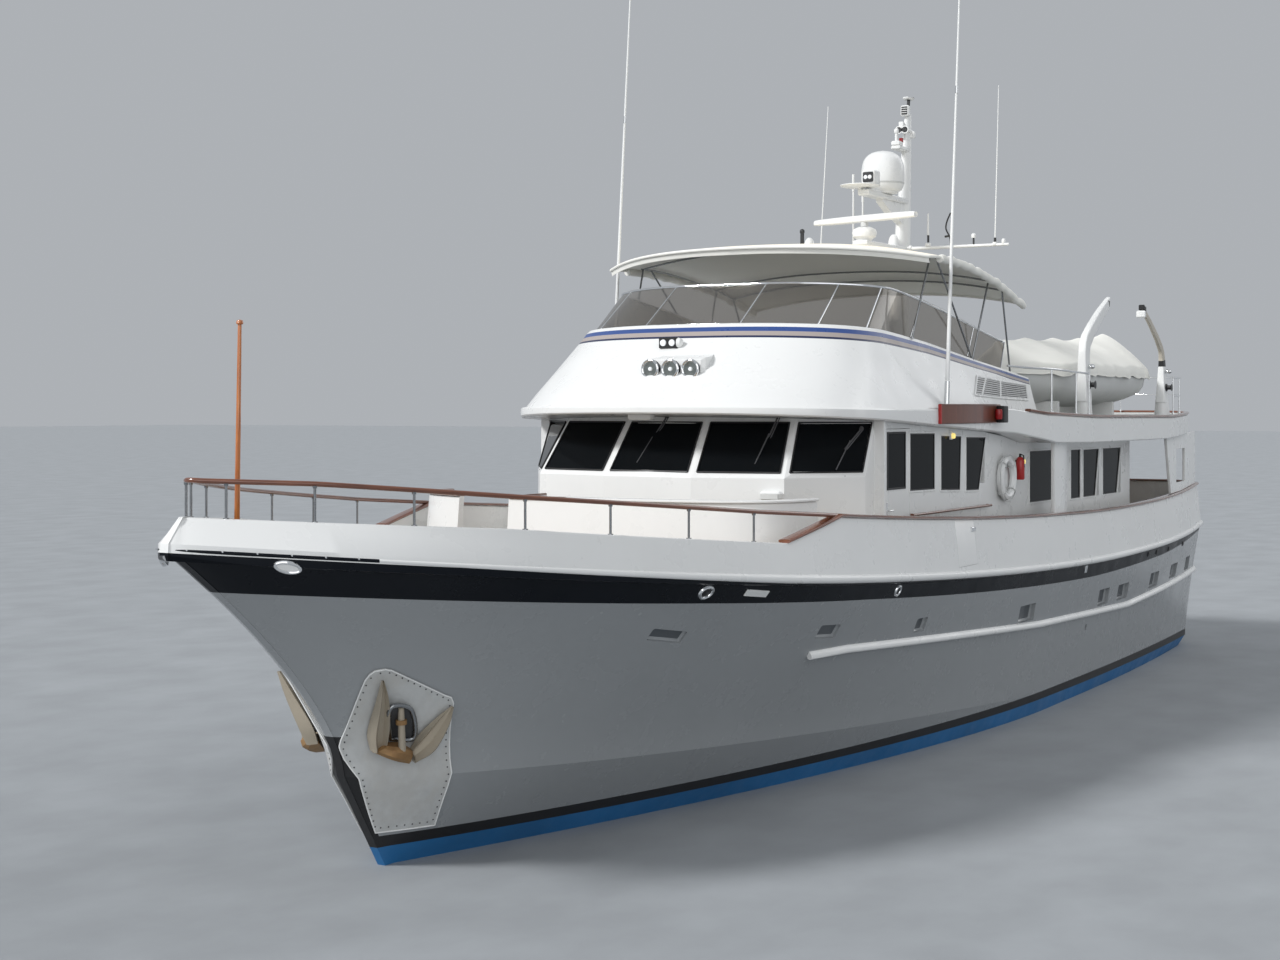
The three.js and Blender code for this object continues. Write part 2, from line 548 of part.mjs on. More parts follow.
const doorLeaf = (() => {
  const leaf = box(HOUSE_HALF - DOOR_LEAF_THICK, HOUSE_HALF, aft(DOOR_S[0]) + RUNNING_GAP,
    aft(DOOR_S[1]) - RUNNING_GAP, deckZ(DOOR_S[0]) + 60 + RUNNING_GAP, 4900 - RUNNING_GAP);
  const light = box(HOUSE_HALF - 200, HOUSE_HALF + 200, aft(8120), aft(8740), 4050, 4820);
  const [x, y] = DOOR_PIVOT;
  return join(cut(leaf, light), rod([x, y, 2880], [x, y, 4880], HINGE_R));
})();
const glassZone = box(-4000, 4000, -20000, aft(DOOR_S[0]) - 40, 4180, 5000);
const frontGlass = cut(houseSolid(WALL + 0.5, () => 4190, () => 5100),
  houseSolid(WALL + GLASS, () => 4000, () => 5400)).intersect(glassZone).subtract(overBoatDeck);

// Saloon house behind the pilothouse, open aft deck behind it
const SALOON_FORWARD_S = PILOTHOUSE_AFT_S + 0.6;
const SALOON_DOOR_WIDTH = 950;
const saloonBox = (inset) => box(-HOUSE_HALF + inset, HOUSE_HALF - inset,
  aft(SALOON_FORWARD_S) - (inset ? 500 : 0), aft(SALOON_AFT_S) - inset, 2300, 5200);
const saloon = (() => {
  const shell = cut(saloonBox(0), saloonBox(WALL), mainMass, overBoatDeck);
  const windows = SALOON_WINDOWS.map((row) => sideCut(row));
  const doorway = box(-SALOON_DOOR_WIDTH, 0, aft(SALOON_AFT_S) - 300, aft(SALOON_AFT_S) + 300,
    deckZ(20500) + 60, deckZ(20500) + 1990);
  const aftLights = [[150, 1000], [1250, 2350], [-2350, -1250]].map(([x0, x1]) => box(x0, x1,
    aft(SALOON_AFT_S) - 300, aft(SALOON_AFT_S) + 300, 3330, 4350));
  const floor = deckZ(SALOON_AFT_S);
  const track = box(-1000, 1000, aft(SALOON_AFT_S) - WALL - 60, aft(SALOON_AFT_S) - WALL + 5,
    floor - 20, floor + 21.5).subtract(mainMass);
  return join(cut(shell, ...windows, doorway, ...aftLights), track);
})();
const saloonDoor = (() => {
  const y = aft(SALOON_AFT_S) - WALL - RUNNING_GAP;
  const leaf = box(-SALOON_DOOR_WIDTH - 40, 40, y - 45, y, deckZ(20500) + 22,
    deckZ(20500) + 2020);
  const light = box(-SALOON_DOOR_WIDTH + 90, -70, y - 200, y + 200, deckZ(20500) + 200,
    deckZ(20500) + 1880);
  return cut(leaf, light);
})();
const SALOON_DOOR_PIVOT = [-SALOON_DOOR_WIDTH / 2, aft(SALOON_AFT_S) - WALL - 30, 3400];
const houseGlass = (() => {
  const band = (s0, s1, z0, z1) => box(HOUSE_HALF - WALL - GLASS, HOUSE_HALF - WALL - 0.5,
    aft(s0), aft(s1), z0, z1);
  return join(band(9010, 12240, 3960, 4775), band(12230, 19950, 3490, 4520));
})();

// Pillars, wings and fascia under and along the boat deck
const sidePillar = box(3180, 3260, aft(14200), aft(14850), 3000, 4640).subtract(railMass);
const aftWing = (() => {
  const wall = alongRim(({ s }) => {
    const middle = -bulwarkLean(s) - BULWARK_THICK / 2;
    return [[middle + 30, 3000], [middle + 30, 5000], [middle - 30, 5000], [middle - 30, 3000]];
  }, (p) => p.x > 0 && p.s >= 20500 && p.s <= 24700);
  const front = loft([[[2800, aft(21900), 3200], [3600, aft(21900), 3200],
    [3600, aft(20000), 3200], [2800, aft(20000), 3200]],
  [[2800, aft(21200), 5100], [3600, aft(21200), 5100], [3600, aft(20000), 5100],
    [2800, aft(20000), 5100]]]);
  const light = box(2500, 3700, aft(22300), aft(23300), 3650, 4350);
  return biggest(cut(wall, front, light, railMass, overBoatDeck));
})();
const TENDER_X = 1750;
const TENDER = [[15400, 60, 5660, 6060], [15900, 560, 5400, 6070], [17100, 960, 5235, 6010],
  [19200, 1050, 5225, 5990], [21100, 1020, 5250, 5970], [22000, 900, 5320, 5960]];
const tenderHull = loft(TENDER.map(([s, half, low, top]) => {
  const y = aft(s);
  const port = [[40, low], [half * 0.6, low + 110], [half * 0.95, low + 330], [half, top - 120],
    [half * 0.97, top]];
  return [...port.map(([x, z]) => [TENDER_X + x, y, z]),
    ...port.slice().reverse().map(([x, z]) => [TENDER_X - x, y, z])];
}));
const CHOCK_S = [16900, 20400];
const CHOCK_TOP = 5330;
const DAVIT_S = [16400, 21700];
const DAVIT_X = 3080;
const DAVIT_FOOT_TOP = 5320;
const upperDeck = (() => {
  const pillars = both(sidePillar);
  const chocks = CHOCK_S.map((s) => box(TENDER_X - 700, TENDER_X + 700, aft(s) - 60, aft(s) + 60,
    4900, CHOCK_TOP).subtract(tenderHull.translate([0, 0, -GAP])).subtract(tenderHull));
  const feet = DAVIT_S.map((s) => rod([DAVIT_X, aft(s), 4900], [DAVIT_X, aft(s), DAVIT_FOOT_TOP],
    160, 150, 16));
  return join(upperSlab, pillars, ...chocks, ...feet);
})();
const deckCap = (() => {
  const ring = (out) => upperPlan.map(([x, s], i) => {
    const before = upperPlan[(i + upperPlan.length - 1) % upperPlan.length];
    const after = upperPlan[(i + 1) % upperPlan.length];
    const t = new THREE.Vector2(after[0] - before[0], after[1] - before[1]).normalize();
    return [x + t.y * out, s - t.x * out, s];
  });
  const outer = ring(25);
  const inner = ring(-95);
  const rings = outer.map(([x, s, at], i) => {
    const z = upperTopZ(at) + GAP;
    const [xi, si] = inner[i];
    return [[x, aft(s), z], [x, aft(s), z + 50], [xi, aft(si), z + 50], [xi, aft(si), z]];
  });
  const whole = loft(rings, true);
  return cut(whole, box(-4000, 4000, -20000, aft(12900), 0, 9000), underBoatDeck);
})();

// Flybridge coaming: rows of [foot x, foot s, top x, top s], port side from the centre aft.
const COAMING = [[0, 5620, 0, 7200], [880, 5700, 850, 7250], [1650, 5950, 1520, 7430],
  [2300, 6400, 2030, 7760], [2700, 6920, 2320, 8200], [2940, 7520, 2440, 8800],
  [2950, 9600, 2470, 10300], [2930, 11600, 2500, 12400], [2760, 12900, 2540, 13600],
  [2740, 14850, 2560, 14850]];
const COAMING_TOP_THICK = 130;
const coamingRow = ([fx, fs, tx, ts], i) => {
  const inX = i < 4 ? tx * 0.93 : tx - COAMING_TOP_THICK;
  const inS = i < 4 ? ts + COAMING_TOP_THICK + i * 10 : ts + (i === 9 ? 0 : 60);
  const foot = upperTopZ(fs) - 20;
  return [[fx, aft(fs), foot], [tx, aft(ts), coamingZ(ts)], [inX, aft(inS), coamingZ(ts)],
    [inX, aft(inS), upperTopZ(ts) - 20]];
};
const mirrorRow = (row) => row.map(([x, y, z]) => [-x, y, z]);
const coamingRows = COAMING.map(coamingRow);
const coaming = cut(loft([...coamingRows.slice().reverse(), ...coamingRows.slice(1).map(mirrorRow)]),
  underBoatDeck, deckCap.translate([0, 0, GAP]), deckCap);

// Windscreen: follows the coaming's top, leaning aft; the top rail is its own piece.
const screenTopZ = (s) => fromTable([[8200, 7050], [9300, 6980], [10000, 6920], [12300, 6580],
  [15100, 6120]], s);
const screenRow = ([, , tx, ts], i) => {
  const lean = fromTable([[0, 1000], [3, 900], [5, 650], [9, 250]], i);
  const baseX = Math.max(0, tx - 60);
  const topX = Math.max(0, tx - 60 - fromTable([[0, 0], [3, 60], [9, 40]], i));
  const baseS = ts + (i < 5 ? 60 : 20);
  const topS = ts + lean;
  return { base: [baseX, aft(baseS), coamingZ(ts) - 12], top: [topX, aft(topS),
    screenTopZ(topS)] };
};
const SCREEN_ROWS = COAMING.map(screenRow).slice(0, 9);
const inward = ([x, y, z], d) => {
  const r = Math.hypot(x, y - aft(11000)) || 1;
  return [x - (x / r) * d, y - ((y - aft(11000)) / r) * d, z];
};
const screenRings = SCREEN_ROWS.map(({ base, top }) => [base, top, inward(top, 14),
  inward(base, 14)]);
const screenGlass = biggest(above(loft([...screenRings.slice().reverse(),
  ...screenRings.slice(1).map(mirrorRow)]), coaming).subtract(coaming));
const SCREEN_RAIL_R = 19;
const screenRail = (() => {
  const ring = ({ top }) => {
    const [x, y, z] = inward(top, 7);
    const out = inward([x, y, z], -1);
    const n = [out[0] - x, out[1] - y];
    return [0, 1, 2, 3, 4, 5].map((k) => {
      const turn = (k / 6) * Math.PI * 2;
      const d = SCREEN_RAIL_R * Math.cos(turn);
      return [x + n[0] * d, y + n[1] * d, z + SCREEN_RAIL_R * (1 + Math.sin(turn)) + GAP];
    });
  };
  const rings = SCREEN_ROWS.map(ring);
  const rail = loft([...rings.slice().reverse(), ...rings.slice(1)
    .map((row) => row.map(([x, y, z]) => [-x, y, z]))]);
  const [ex, ey, ez] = inward(SCREEN_ROWS.at(-1).top, 7);
  const post = rod([ex, ey + 24, coamingZ(14000) - 40], [ex, ey + 24, ez + SCREEN_RAIL_R], 16, 16, 8);
  const knob = rod([ex, ey - 4, ez + SCREEN_RAIL_R], [ex, ey + 30, ez + SCREEN_RAIL_R], 17, 17, 8);
  return biggest(above(join(rail, both(post), both(knob)), coaming));
})();

// Flybridge furniture
const flyConsole = join(
  box(-900, 900, aft(8700), aft(9300), 5000, 6250),
  loft([[[-900, aft(8500), 6240], [900, aft(8500), 6240], [900, aft(9300), 6240],
    [-900, aft(9300), 6240]], [[-850, aft(8600), 6420], [850, aft(8600), 6420],
    [850, aft(8800), 6420], [-850, aft(8800), 6420]]])).subtract(underBoatDeck);
const flySeats = (() => {
  const base = box(-2150, 2150, aft(12900), aft(13500), 5000, 5560);
  const back = box(-2150, 2150, aft(13400), aft(13600), 5500, 6020);
  const wings = both(box(1600, 2150, aft(11200), aft(13000), 5000, 5560));
  return join(base, back, wings).subtract(underBoatDeck);
})();

// Bimini: one arched sheet on a stainless frame
const biminiZ = (x, s) => {
  const along = fromTable([[8400, 7640], [9300, 7760], [10800, 7800], [12800, 7600],
    [14450, 7260]], s);
  return along - 290 * (Math.abs(x) / 2800) ** 2.4;
};
const BIMINI_ROWS = [[-2800, 9600], [-2550, 9380], [-2150, 9080], [-1650, 8800], [-1000, 8550],
  [0, 8420], [1000, 8550], [1650, 8800], [2150, 9080], [2550, 9380], [2800, 9600]];
const BIMINI_AFT_S = 14450;
const BIMINI_THICK = 24;
const bimini = (() => {
  const fractions = [0, 0.1, 0.3, 0.55, 0.8, 1];
  const rings = fractions.map((f) => {
    const top = BIMINI_ROWS.map(([x, s]) => {
      const at = mix(s, BIMINI_AFT_S, f);
      const wide = x * mix(1, 0.93, f);
      return [wide, aft(at), biminiZ(wide, at)];
    });
    return [...top, ...top.slice().reverse().map(([x, y, z]) => [x, y, z - BIMINI_THICK])];
  });
  return loft(rings);
})();
const biminiFrame = (() => {
  const bowAt = (s, drop) => {
    const points = [-1, -0.85, -0.5, 0, 0.5, 0.85, 1].map((u) => {
      const x = u * 2580;
      return [x, aft(s), biminiZ(x, s) - BIMINI_THICK - drop - 6];
    });
    return tube(points, 16, 6, 12);
  };
  const legs = [[10250, 9720], [10500, 12300], [12850, 12300], [13500, 14150]].flatMap(([top, foot]) => {
    const x = 2560;
    const head = [x, aft(top), biminiZ(x, top) - BIMINI_THICK - 20];
    const base = [2480, aft(foot), coamingZ(foot) - 15];
    return [rod(base, head, 15, 15, 6)];
  });
  const tops = [10250, 12850, 13500].map((s) => bowAt(s, 6));
  const edge = both(tube([[2565, aft(10200), biminiZ(2565, 10200) - 44],
    [2565, aft(12000), biminiZ(2565, 12000) - 44], [2565, aft(13600), biminiZ(2565, 13600) - 44]],
  14, 6, 8));
  return biggest(cut(above(join(...tops, both(join(...legs)), edge), coaming),
    bimini.translate([0, 0, -GAP]), screenGlass, screenRail));
})();

// Side-light boards and tall whip aerials beside them
const BOARD_X = 3000 + 2 * GAP;
const sideLightBoard = join(box(BOARD_X, BOARD_X + 40, aft(9500), aft(12100), 4960, 5260),
  box(BOARD_X, BOARD_X + 170, aft(11890), aft(12100), 4960, 5240));
const WHIP_FOOT = [2965, aft(9900), 5300];
const WHIP_TOP = [2965, aft(10560), 12900];
const whip = cut(join(rod(WHIP_FOOT, WHIP_TOP, 28, 9, 8),
  rod([WHIP_FOOT[0], WHIP_FOOT[1], 5140], [WHIP_FOOT[0], WHIP_FOOT[1], 5330], 34, 34, 10)),
underBoatDeck, coaming.translate([GAP, 0, GAP]), coaming);

// Mast, radar and dome
const MAST_FOOT = [0, aft(14950), 5000];
const MAST_RAKE = 0.115;
const mastAt = (z) => [0, MAST_FOOT[1] + (z - MAST_FOOT[2]) * MAST_RAKE, z];
const YARD_HALF = 2050;
const YARD_Z = 8130;
const DOME = [0, aft(14420), 9060 + GAP];
const TRAY = [-80, aft(13600), 9090];
const TRAY_R = 360;
const RADAR_PIVOT = [0, aft(13600), 8400.4];
const RADAR_REST = -16;
const mast = (() => {
  const section = (z, fore, half) => {
    const [, y] = mastAt(z);
    return [[0, y - fore, z], [half, y - fore * 0.5, z], [half, y + fore * 0.6, z],
      [0, y + fore, z], [-half, y + fore * 0.6, z], [-half, y - fore * 0.5, z]];
  };
  const spar = loft([section(4950, 330, 170), section(8000, 230, 120), section(9900, 130, 75),
    section(10650, 90, 60)]);
  const [, yardY] = mastAt(YARD_Z);
  const yard = join(rod([-YARD_HALF, yardY, YARD_Z], [YARD_HALF, yardY, YARD_Z], 32, 32, 10),
    rod([-1650, yardY, YARD_Z], [-1490, yardY, 10880], 15, 8, 8),
    rod([1790, yardY, YARD_Z], [1860, yardY, 10990], 15, 8, 8),
    rod([-2030, yardY, YARD_Z], [-2030, yardY, 8600], 40, 40, 8));
  const domeArm = join(box(-110, 110, TRAY[1] - 60, mastAt(9000)[1], 8950, DOME[2] - GAP),
    rod([TRAY[0], TRAY[1], 9000], [TRAY[0], TRAY[1], TRAY[2]], 45, 45, 10),
    rod(TRAY, [TRAY[0], TRAY[1], TRAY[2] + 60], TRAY_R, TRAY_R - 20, 24));
  const radarArm = join(box(-140, 140, RADAR_PIVOT[1] - 200, mastAt(8200)[1], 8060, 8150),
    rod([0, RADAR_PIVOT[1], 8100], [0, RADAR_PIVOT[1], 8400], 195, 150, 16));
  const [, lampY] = mastAt(9900);
  const lampArm = join(box(-90, 90, lampY - 520, lampY, 9930, 10010),
    rod([0, lampY - 440, 9990], [0, lampY - 440, 10330], 45, 35, 10));
  const [, hornY] = mastAt(10300);
  const horns = both(rod([60, hornY - 260, 10330], [60, hornY + 60, 10330], 75, 30, 12));
  const head = join(rod(mastAt(10500), mastAt(10950), 30, 30, 8),
    rod(mastAt(10930), mastAt(10990), 110, 110, 12));
  return join(spar, yard, domeArm, radarArm, lampArm, horns, head).subtract(underBoatDeck);
})();
const dome = turned([[0, 0], [200, 0], [200, 90], [375, 160], [385, 420], [330, 620], [190, 740],
  [0, 780]], 20).translate(DOME);
const radarBar = [[-1120, 30, 50], [-1050, 55, 75], [0, 80, 95], [1050, 55, 75], [1120, 30, 50]];
const radarArray = join(rod([0, 0, 0], [0, 0, 120], 70, 70, 16),
  loft(radarBar.map(([x, wide, high]) => [[x, -wide, 140 - high / 2], [x, wide, 140 - high / 2],
    [x, wide * 0.6, 140 + high / 2], [x, -wide * 0.6, 140 + high / 2]])))
  .rotate([0, 0, RADAR_REST]).translate(RADAR_PIVOT);

// Davits: a column on each foot and an arm that curves over the tender
const davitArm = (side, s) => {
  const y = aft(s);
  const line = [[0, DAVIT_FOOT_TOP + 0.4, 300, 220], [0, 5650, 250, 180], [0, 6050, 220, 150],
    [60, 6330, 225, 140], [420, 6640, 215, 125], [900, 6900, 180, 110], [1500, 7190, 110, 80]];
  return loft(line.map(([reach, z, deep, wide], i) => {
    const before = line[Math.max(0, i - 1)];
    const after = line[Math.min(line.length - 1, i + 1)];
    const t = i === 0 ? new THREE.Vector2(0, 1)
      : new THREE.Vector2(after[0] - before[0], after[1] - before[1]).normalize();
    return [[-1, -1], [1, -1], [1, 1], [-1, 1]].map(([a, b]) => [DAVIT_X + b * wide / 2,
      y + side * (reach + a * t.y * deep / 2), z - a * t.x * deep / 2]);
  }));
};
const DAVIT_SIDES = [1, -1];

// Tender on its chocks, with its canvas cover
const COVER_TOP = [[15400, 6400], [15900, 6510], [17500, 6550], [20400, 6640], [22000, 6780]];
const coverSolid = (() => {
  const rows = TENDER.map(([s, half]) => {
    const y = aft(s);
    const top = fromTable(COVER_TOP, s);
    const wide = half + 40;
    const port = [[wide, 5930], [wide + 10, 6020], [wide * 0.7, mix(6020, top, 0.62)],
      [wide * 0.25, mix(6020, top, 0.97)]];
    return [...port.map(([x, z]) => [TENDER_X + x, y, z]),
      ...port.slice().reverse().map(([x, z]) => [TENDER_X - x, y, z])];
  });
  return biggest(cut(above(loft(rows), tenderHull), tenderHull.translate([GAP, 0, 0]),
    tenderHull.translate([-GAP, 0, 0]), tenderHull.translate([0, GAP, 0])));
})();

// Boat deck handrail: port forward stretch, starboard side and stern in one run of posts
const RAIL_RISE = 780;
const boatRail = (() => {
  const z = (s) => upperTopZ(s) + RAIL_RISE;
  const x = 3280;
  const run = [[-x, 13900], [-x, 16500], [-x, 19000], [-x, 21000], [-3130, 22900], [-2850, 23950],
    [-2400, 24380], [-1400, 24560], [0, 24580], [1400, 24560], [2400, 24380], [2850, 23950],
    [3120, 22900], [3150, 22300]];
  const rails = [1, 0.52].map((f) => tube(run.map(([px, s]) => [px, aft(s),
    mix(upperTopZ(s), z(s), f)]), f === 1 ? 19 : 12, 6, 26));
  const posts = run.map(([px, s]) => rod([px, aft(s), upperTopZ(s) - 10], [px, aft(s), z(s)], 15,
    15, 6));
  return biggest(cut(join(...rails, ...posts), underBoatDeck, deckCap.translate([0, 0, GAP])));
})();
const boatRailPort = (() => {
  const x = 3280;
  const run = [[2780, 13150], [x, 13950], [x, 15300], [x, 16050]];
  const line = tube(run.map(([px, s]) => [px, aft(s), upperTopZ(s) + RAIL_RISE]), 19, 6, 12);
  const posts = run.slice(1).map(([px, s]) => rod([px, aft(s), upperTopZ(s) - 10],
    [px, aft(s), upperTopZ(s) + RAIL_RISE], 15, 15, 6));
  return biggest(cut(join(line, ...posts), underBoatDeck, deckCap.translate([0, 0, GAP])));
})();

// Bow rail: varnished rail on stanchions, jackstaff beside the port bow
const RAIL_STANCHIONS = [-3000, -2300, -1400, -200, 900, 2100, 3300];
const bowRailZ = (s) => fromTable([[-3100, 4470], [-2300, 4430], [-100, 4230], [3400, 3940],
  [5200, 3815]], s);
const railIn = (s) => -bulwarkLean(s) - BULWARK_THICK / 2;
const offsetRim = (s, side) => {
  const [x, y] = rimPoint(s);
  const [x1, y1] = rimPoint(s + 40);
  const [x0, y0] = rimPoint(Math.max(STEM_TIP_S, s - 40));
  const t = new THREE.Vector2(x1 - x0, y1 - y0).normalize();
  const d = railIn(s);
  return [side * Math.max(0, x + t.y * d), y - t.x * d];
};
const bowRail = (() => {
  const along = [5240, 4400, 3300, 2100, 900, -200, -1400, -2300, -2800, -3100];
  const port = along.map((s) => [...offsetRim(s, 1), bowRailZ(s)]);
  const [, tipY] = offsetRim(-3390, 1);
  const points = [...port, [0, tipY + 10, 4480], ...port.slice().reverse()
    .map(([x, y, z]) => [-x, y, z])];
  const posts = RAIL_STANCHIONS.flatMap((s) => [1, -1].map((side) => {
    const [x, y] = offsetRim(s, side);
    return rod([x, y, bulwarkTopZ(s) - 10], [x, y, bowRailZ(s)], 14, 14, 8);
  }));
  return biggest(cut(join(tube(points, 26, 6, 32), ...posts), railMass));
})();
const jackstaff = cut(join(rod([0, aft(-2380), 3600], [0, aft(-2330), 6080], 30, 20, 10),
  rod([0, aft(-2329), 6060], [0, aft(-2328), 6110], 38, 38, 10)), mainMass);

// Ground tackle: a stainless plate on each bow, an anchor in its pocket, a windlass on deck
const ANCHOR_PLATE = [[841, -1004, 2422], [1080, -70, 2006], [405, 467, 400], [72, -245, 400],
  [107, -878, 1512]];
const BOW_OUT = [0.84, -0.5, -0.2];
const plateTool = loft([-150, 250].map((d) => ANCHOR_PLATE.map(([x, s, z]) => [x + d * BOW_OUT[0],
  aft(s) + d * BOW_OUT[1], z + d * BOW_OUT[2]])));
const outBy = (d) => BOW_OUT.map((v) => v * d);
const plateSolid = cut(hullBody.translate(outBy(14)).intersect(plateTool),
  ...[hullBody, mirrored(hullBody)].flatMap((side) => [side, side.translate(outBy(0.5))]));
const anchorPlate = biggest(plateSolid.subtract(box(-400, 0, -20000, 0, 0, 5000)));
const proud = ([x, s, z], d) => [x + d * BOW_OUT[0], aft(s) + d * BOW_OUT[1], z + d * BOW_OUT[2]];
// Flukes from the tip down: [outer edge, inner edge, how proud the ridge between them stands]
const FLUKE_BACK = 35;
const FLUKES = [
  [[[690, -893, 2270], [716, -878, 2270], 60], [[545, -820, 2000], [651, -710, 2030], 130],
    [[361, -728, 1665], [560, -590, 1730], 180], [[339, -649, 1454], [480, -540, 1500], 160]],
  [[[985, 12, 1890], [970, -15, 1900], 60], [[890, 30, 1690], [850, -130, 1775], 130],
    [[745, -60, 1420], [697, -236, 1599], 180], [[600, -230, 1290], [610, -286, 1444], 160]],
];
// Crown from fluke to fluke: [foot, head, how proud]
const CROWN = [[[339, -649, 1454], [470, -550, 1530], 150], [[440, -470, 1370], [560, -420, 1520], 240],
  [[560, -290, 1290], [610, -286, 1444], 150]];
const SHANK = [[560, -430, 1470], [690, -545, 1930]];
const anchor = (() => {
  const fluke = (rows) => loft(rows.map(([outer, inner, ridge]) => {
    const middle = outer.map((v, i) => (v + inner[i]) / 2);
    return [proud(outer, FLUKE_BACK), proud(middle, ridge), proud(inner, FLUKE_BACK), proud(middle, 5)];
  }));
  const crown = loft(CROWN.map(([foot, head, out]) => [proud(foot, 20), proud(foot, out),
    proud(head, out), proud(head, 20)]));
  const shank = rod(proud(SHANK[0], 140), proud(SHANK[1], 10), 48, 40, 8);
  return biggest(cut(join(...FLUKES.map(fluke), crown, shank), hullBody.translate(outBy(0.8)),
    anchorPlate.translate(outBy(0.5)), hullBody, anchorPlate));
})();
const windlass = (() => {
  const y = aft(-300);
  const z = deckZ(-300);
  return cut(join(box(-380, 380, y - 300, y + 300, z - 60, z + 90),
    rod([-420, y, z + 240], [420, y, z + 240], 130, 130, 16),
    box(-200, 200, y - 200, y + 200, z + 50, z + 380)), mainMass);
})();

// Breastwork across the foredeck with a gate to starboard
const BREAST = [[3060, 5250], [2880, 4600], [2350, 4120], [1400, 3860], [0, 3780], [-1400, 3860],
  [-2350, 4120], [-2880, 4600], [-3060, 5250]];
const BREAST_TOP = 3990;
const breastRows = BREAST.map(([x, s], i) => {
  const before = BREAST[Math.max(0, i - 1)];
  const after = BREAST[Math.min(BREAST.length - 1, i + 1)];
  const t = new THREE.Vector2(after[0] - before[0], after[1] - before[1]).normalize();
  const shift = (d) => [x + t.y * d, aft(s - t.x * d)];
  return [[...shift(0), 2950], [...shift(90), BREAST_TOP], [...shift(170), BREAST_TOP],
    [...shift(100), 2950]];
});
const breastWhole = biggest(cut(loft(breastRows), mainMass, bulwarkWhole,
  bulwarkWhole.translate([-GAP, -GAP, GAP]), mirrored(bulwarkWhole.translate([-GAP, -GAP, GAP])),
  capWhole, capWhole.translate([0, 0, GAP]), capWhole.translate([0, -GAP, -GAP])));
const BREAST_GATE = [-1850, -1000];
const breastZone = (grow) => box(BREAST_GATE[0] - grow, BREAST_GATE[1] + grow, aft(3500),
  aft(4500), deckZ(3900) + 90 - grow, 4100);
const BREAST_PIVOT = [BREAST_GATE[1] + 26, aft(4060), 3500];
const BREAST_HINGE_Z = [3330, 3850];
const breastwork = (() => {
  const [x, y] = BREAST_PIVOT;
  const lugs = BREAST_HINGE_Z.map((z) => box(x - 15, x + 25, aft(3880), y - RUNNING_GAP, z, z + 70));
  return biggest(join(breastWhole.subtract(breastZone(0)), ...lugs));
})();
const breastGate = (() => {
  const [x, y] = BREAST_PIVOT;
  const leaf = box(x - 20, x + 20, y + 26, y + 810, deckZ(4400) + 90, BREAST_TOP);
  const straps = BREAST_HINGE_Z.flatMap((z) => [
    box(x - HINGE_R + 0.5, x + HINGE_R - 0.5, y, y + 40, z, z + 70),
    rod([x, y, z], [x, y, z + 70], HINGE_R)]);
  return join(leaf, ...straps);
})();

// What shows through the glass
const helm = cut(join(box(-1500, 1500, aft(7500), aft(7900), 2800, 3950),
  box(-900, 900, aft(7850), aft(8100), 2800, 3800)), mainMass);
const helmSeat = cut(join(box(150, 750, aft(8950), aft(9450), 3420, 3560),
  box(150, 750, aft(9400), aft(9500), 3500, 4250), rod([450, aft(9200), 2700], [450, aft(9200), 3450],
    90, 90, 12)), mainMass);
const sofa = cut(join(box(-2500, -1700, aft(14600), aft(17600), 2500, 2880),
  box(-2600, -2400, aft(14600), aft(17600), 2500, 3280)), mainMass);

const parts = [
  ['hull', join(hullBody, lowerGuard, both(sternGear)), 'hullWhite'],
  ['main_deck', deck, 'teak'],
  ['bulwark', bulwark, 'white'],
  ['cap_rail_aft', capCut.subtract(forwardHalf(1)).subtract(forwardHalf(-1)), 'varnish'],
  ['cap_rail_port', capCut.intersect(forwardHalf(1)), 'varnish'],
  ['cap_rail_starboard', capCut.intersect(forwardHalf(-1)), 'varnish'],
  ['bow_rail', bowRail, 'varnish'],
  ['jackstaff', jackstaff, 'varnish'],
  ['windlass', windlass, 'steel'],
  ['hatch_lid', hatchLid, 'white', HATCH_PIVOT],
  ['breastwork', breastwork, 'white'],
  ['breastwork_gate', breastGate, 'white', BREAST_PIVOT],
  ['pilothouse', pilothouse, 'white'],
  ['pilothouse_glass', frontGlass, 'glass'],
  ['helm_console', helm, 'white'],
  ['helm_seat', helmSeat, 'dark'],
  ['saloon', saloon, 'white'],
  ['saloon_door', saloonDoor, 'white', SALOON_DOOR_PIVOT],
  ['saloon_sofa', sofa, 'beige'],
  ['boat_deck', upperDeck, 'white'],
  ['boat_deck_cap', deckCap, 'varnish'],
  ['boat_deck_rail', boatRail, 'steel'],
  ['boat_deck_rail_forward', boatRailPort, 'steel'],
  ['flybridge_coaming', coaming, 'white'],
  ['windscreen', screenGlass, 'glass'],
  ['windscreen_rail', screenRail, 'steel'],
  ['flybridge_console', flyConsole, 'white'],
  ['flybridge_seats', flySeats, 'beige'],
  ['bimini_cover', bimini, 'canvas'],
  ['bimini_frame', biminiFrame, 'steel'],
  ['mast', mast, 'white'],
  ['satellite_dome', dome, 'white'],
  ['radar_array', radarArray, 'white', RADAR_PIVOT],
  ['tender', tenderHull, 'white'],
  ['tender_cover', coverSolid, 'canvas'],
];
parts.forEach(([name, solid, colour, pivot]) => piece(name, solid, colour, pivot));
DAVIT_S.forEach((s, i) => piece(`davit_${i ? 'aft' : 'forward'}`, davitArm(DAVIT_SIDES[i], s),
  'white', [DAVIT_X, aft(s), DAVIT_FOOT_TOP]));
const pairs = [
  ['bulwark_gate', gateLeaf, 'white', GATE_PIVOT],
  ['anchor_plate', anchorPlate, 'steel'],
  ['anchor', anchor, 'galvanised'],
  ['pilothouse_door', doorLeaf, 'white', DOOR_PIVOT],
  ['house_glass', houseGlass, 'glass'],
  ['aft_wing', aftWing, 'white'],
  ['side_light_board', sideLightBoard, 'varnish'],
  ['whip_aerial', whip, 'white'],
  ['propeller', propeller, 'bronze', SHAFT_END],
  ['rudder', rudder, 'bronze', RUDDER_PIVOT],
];
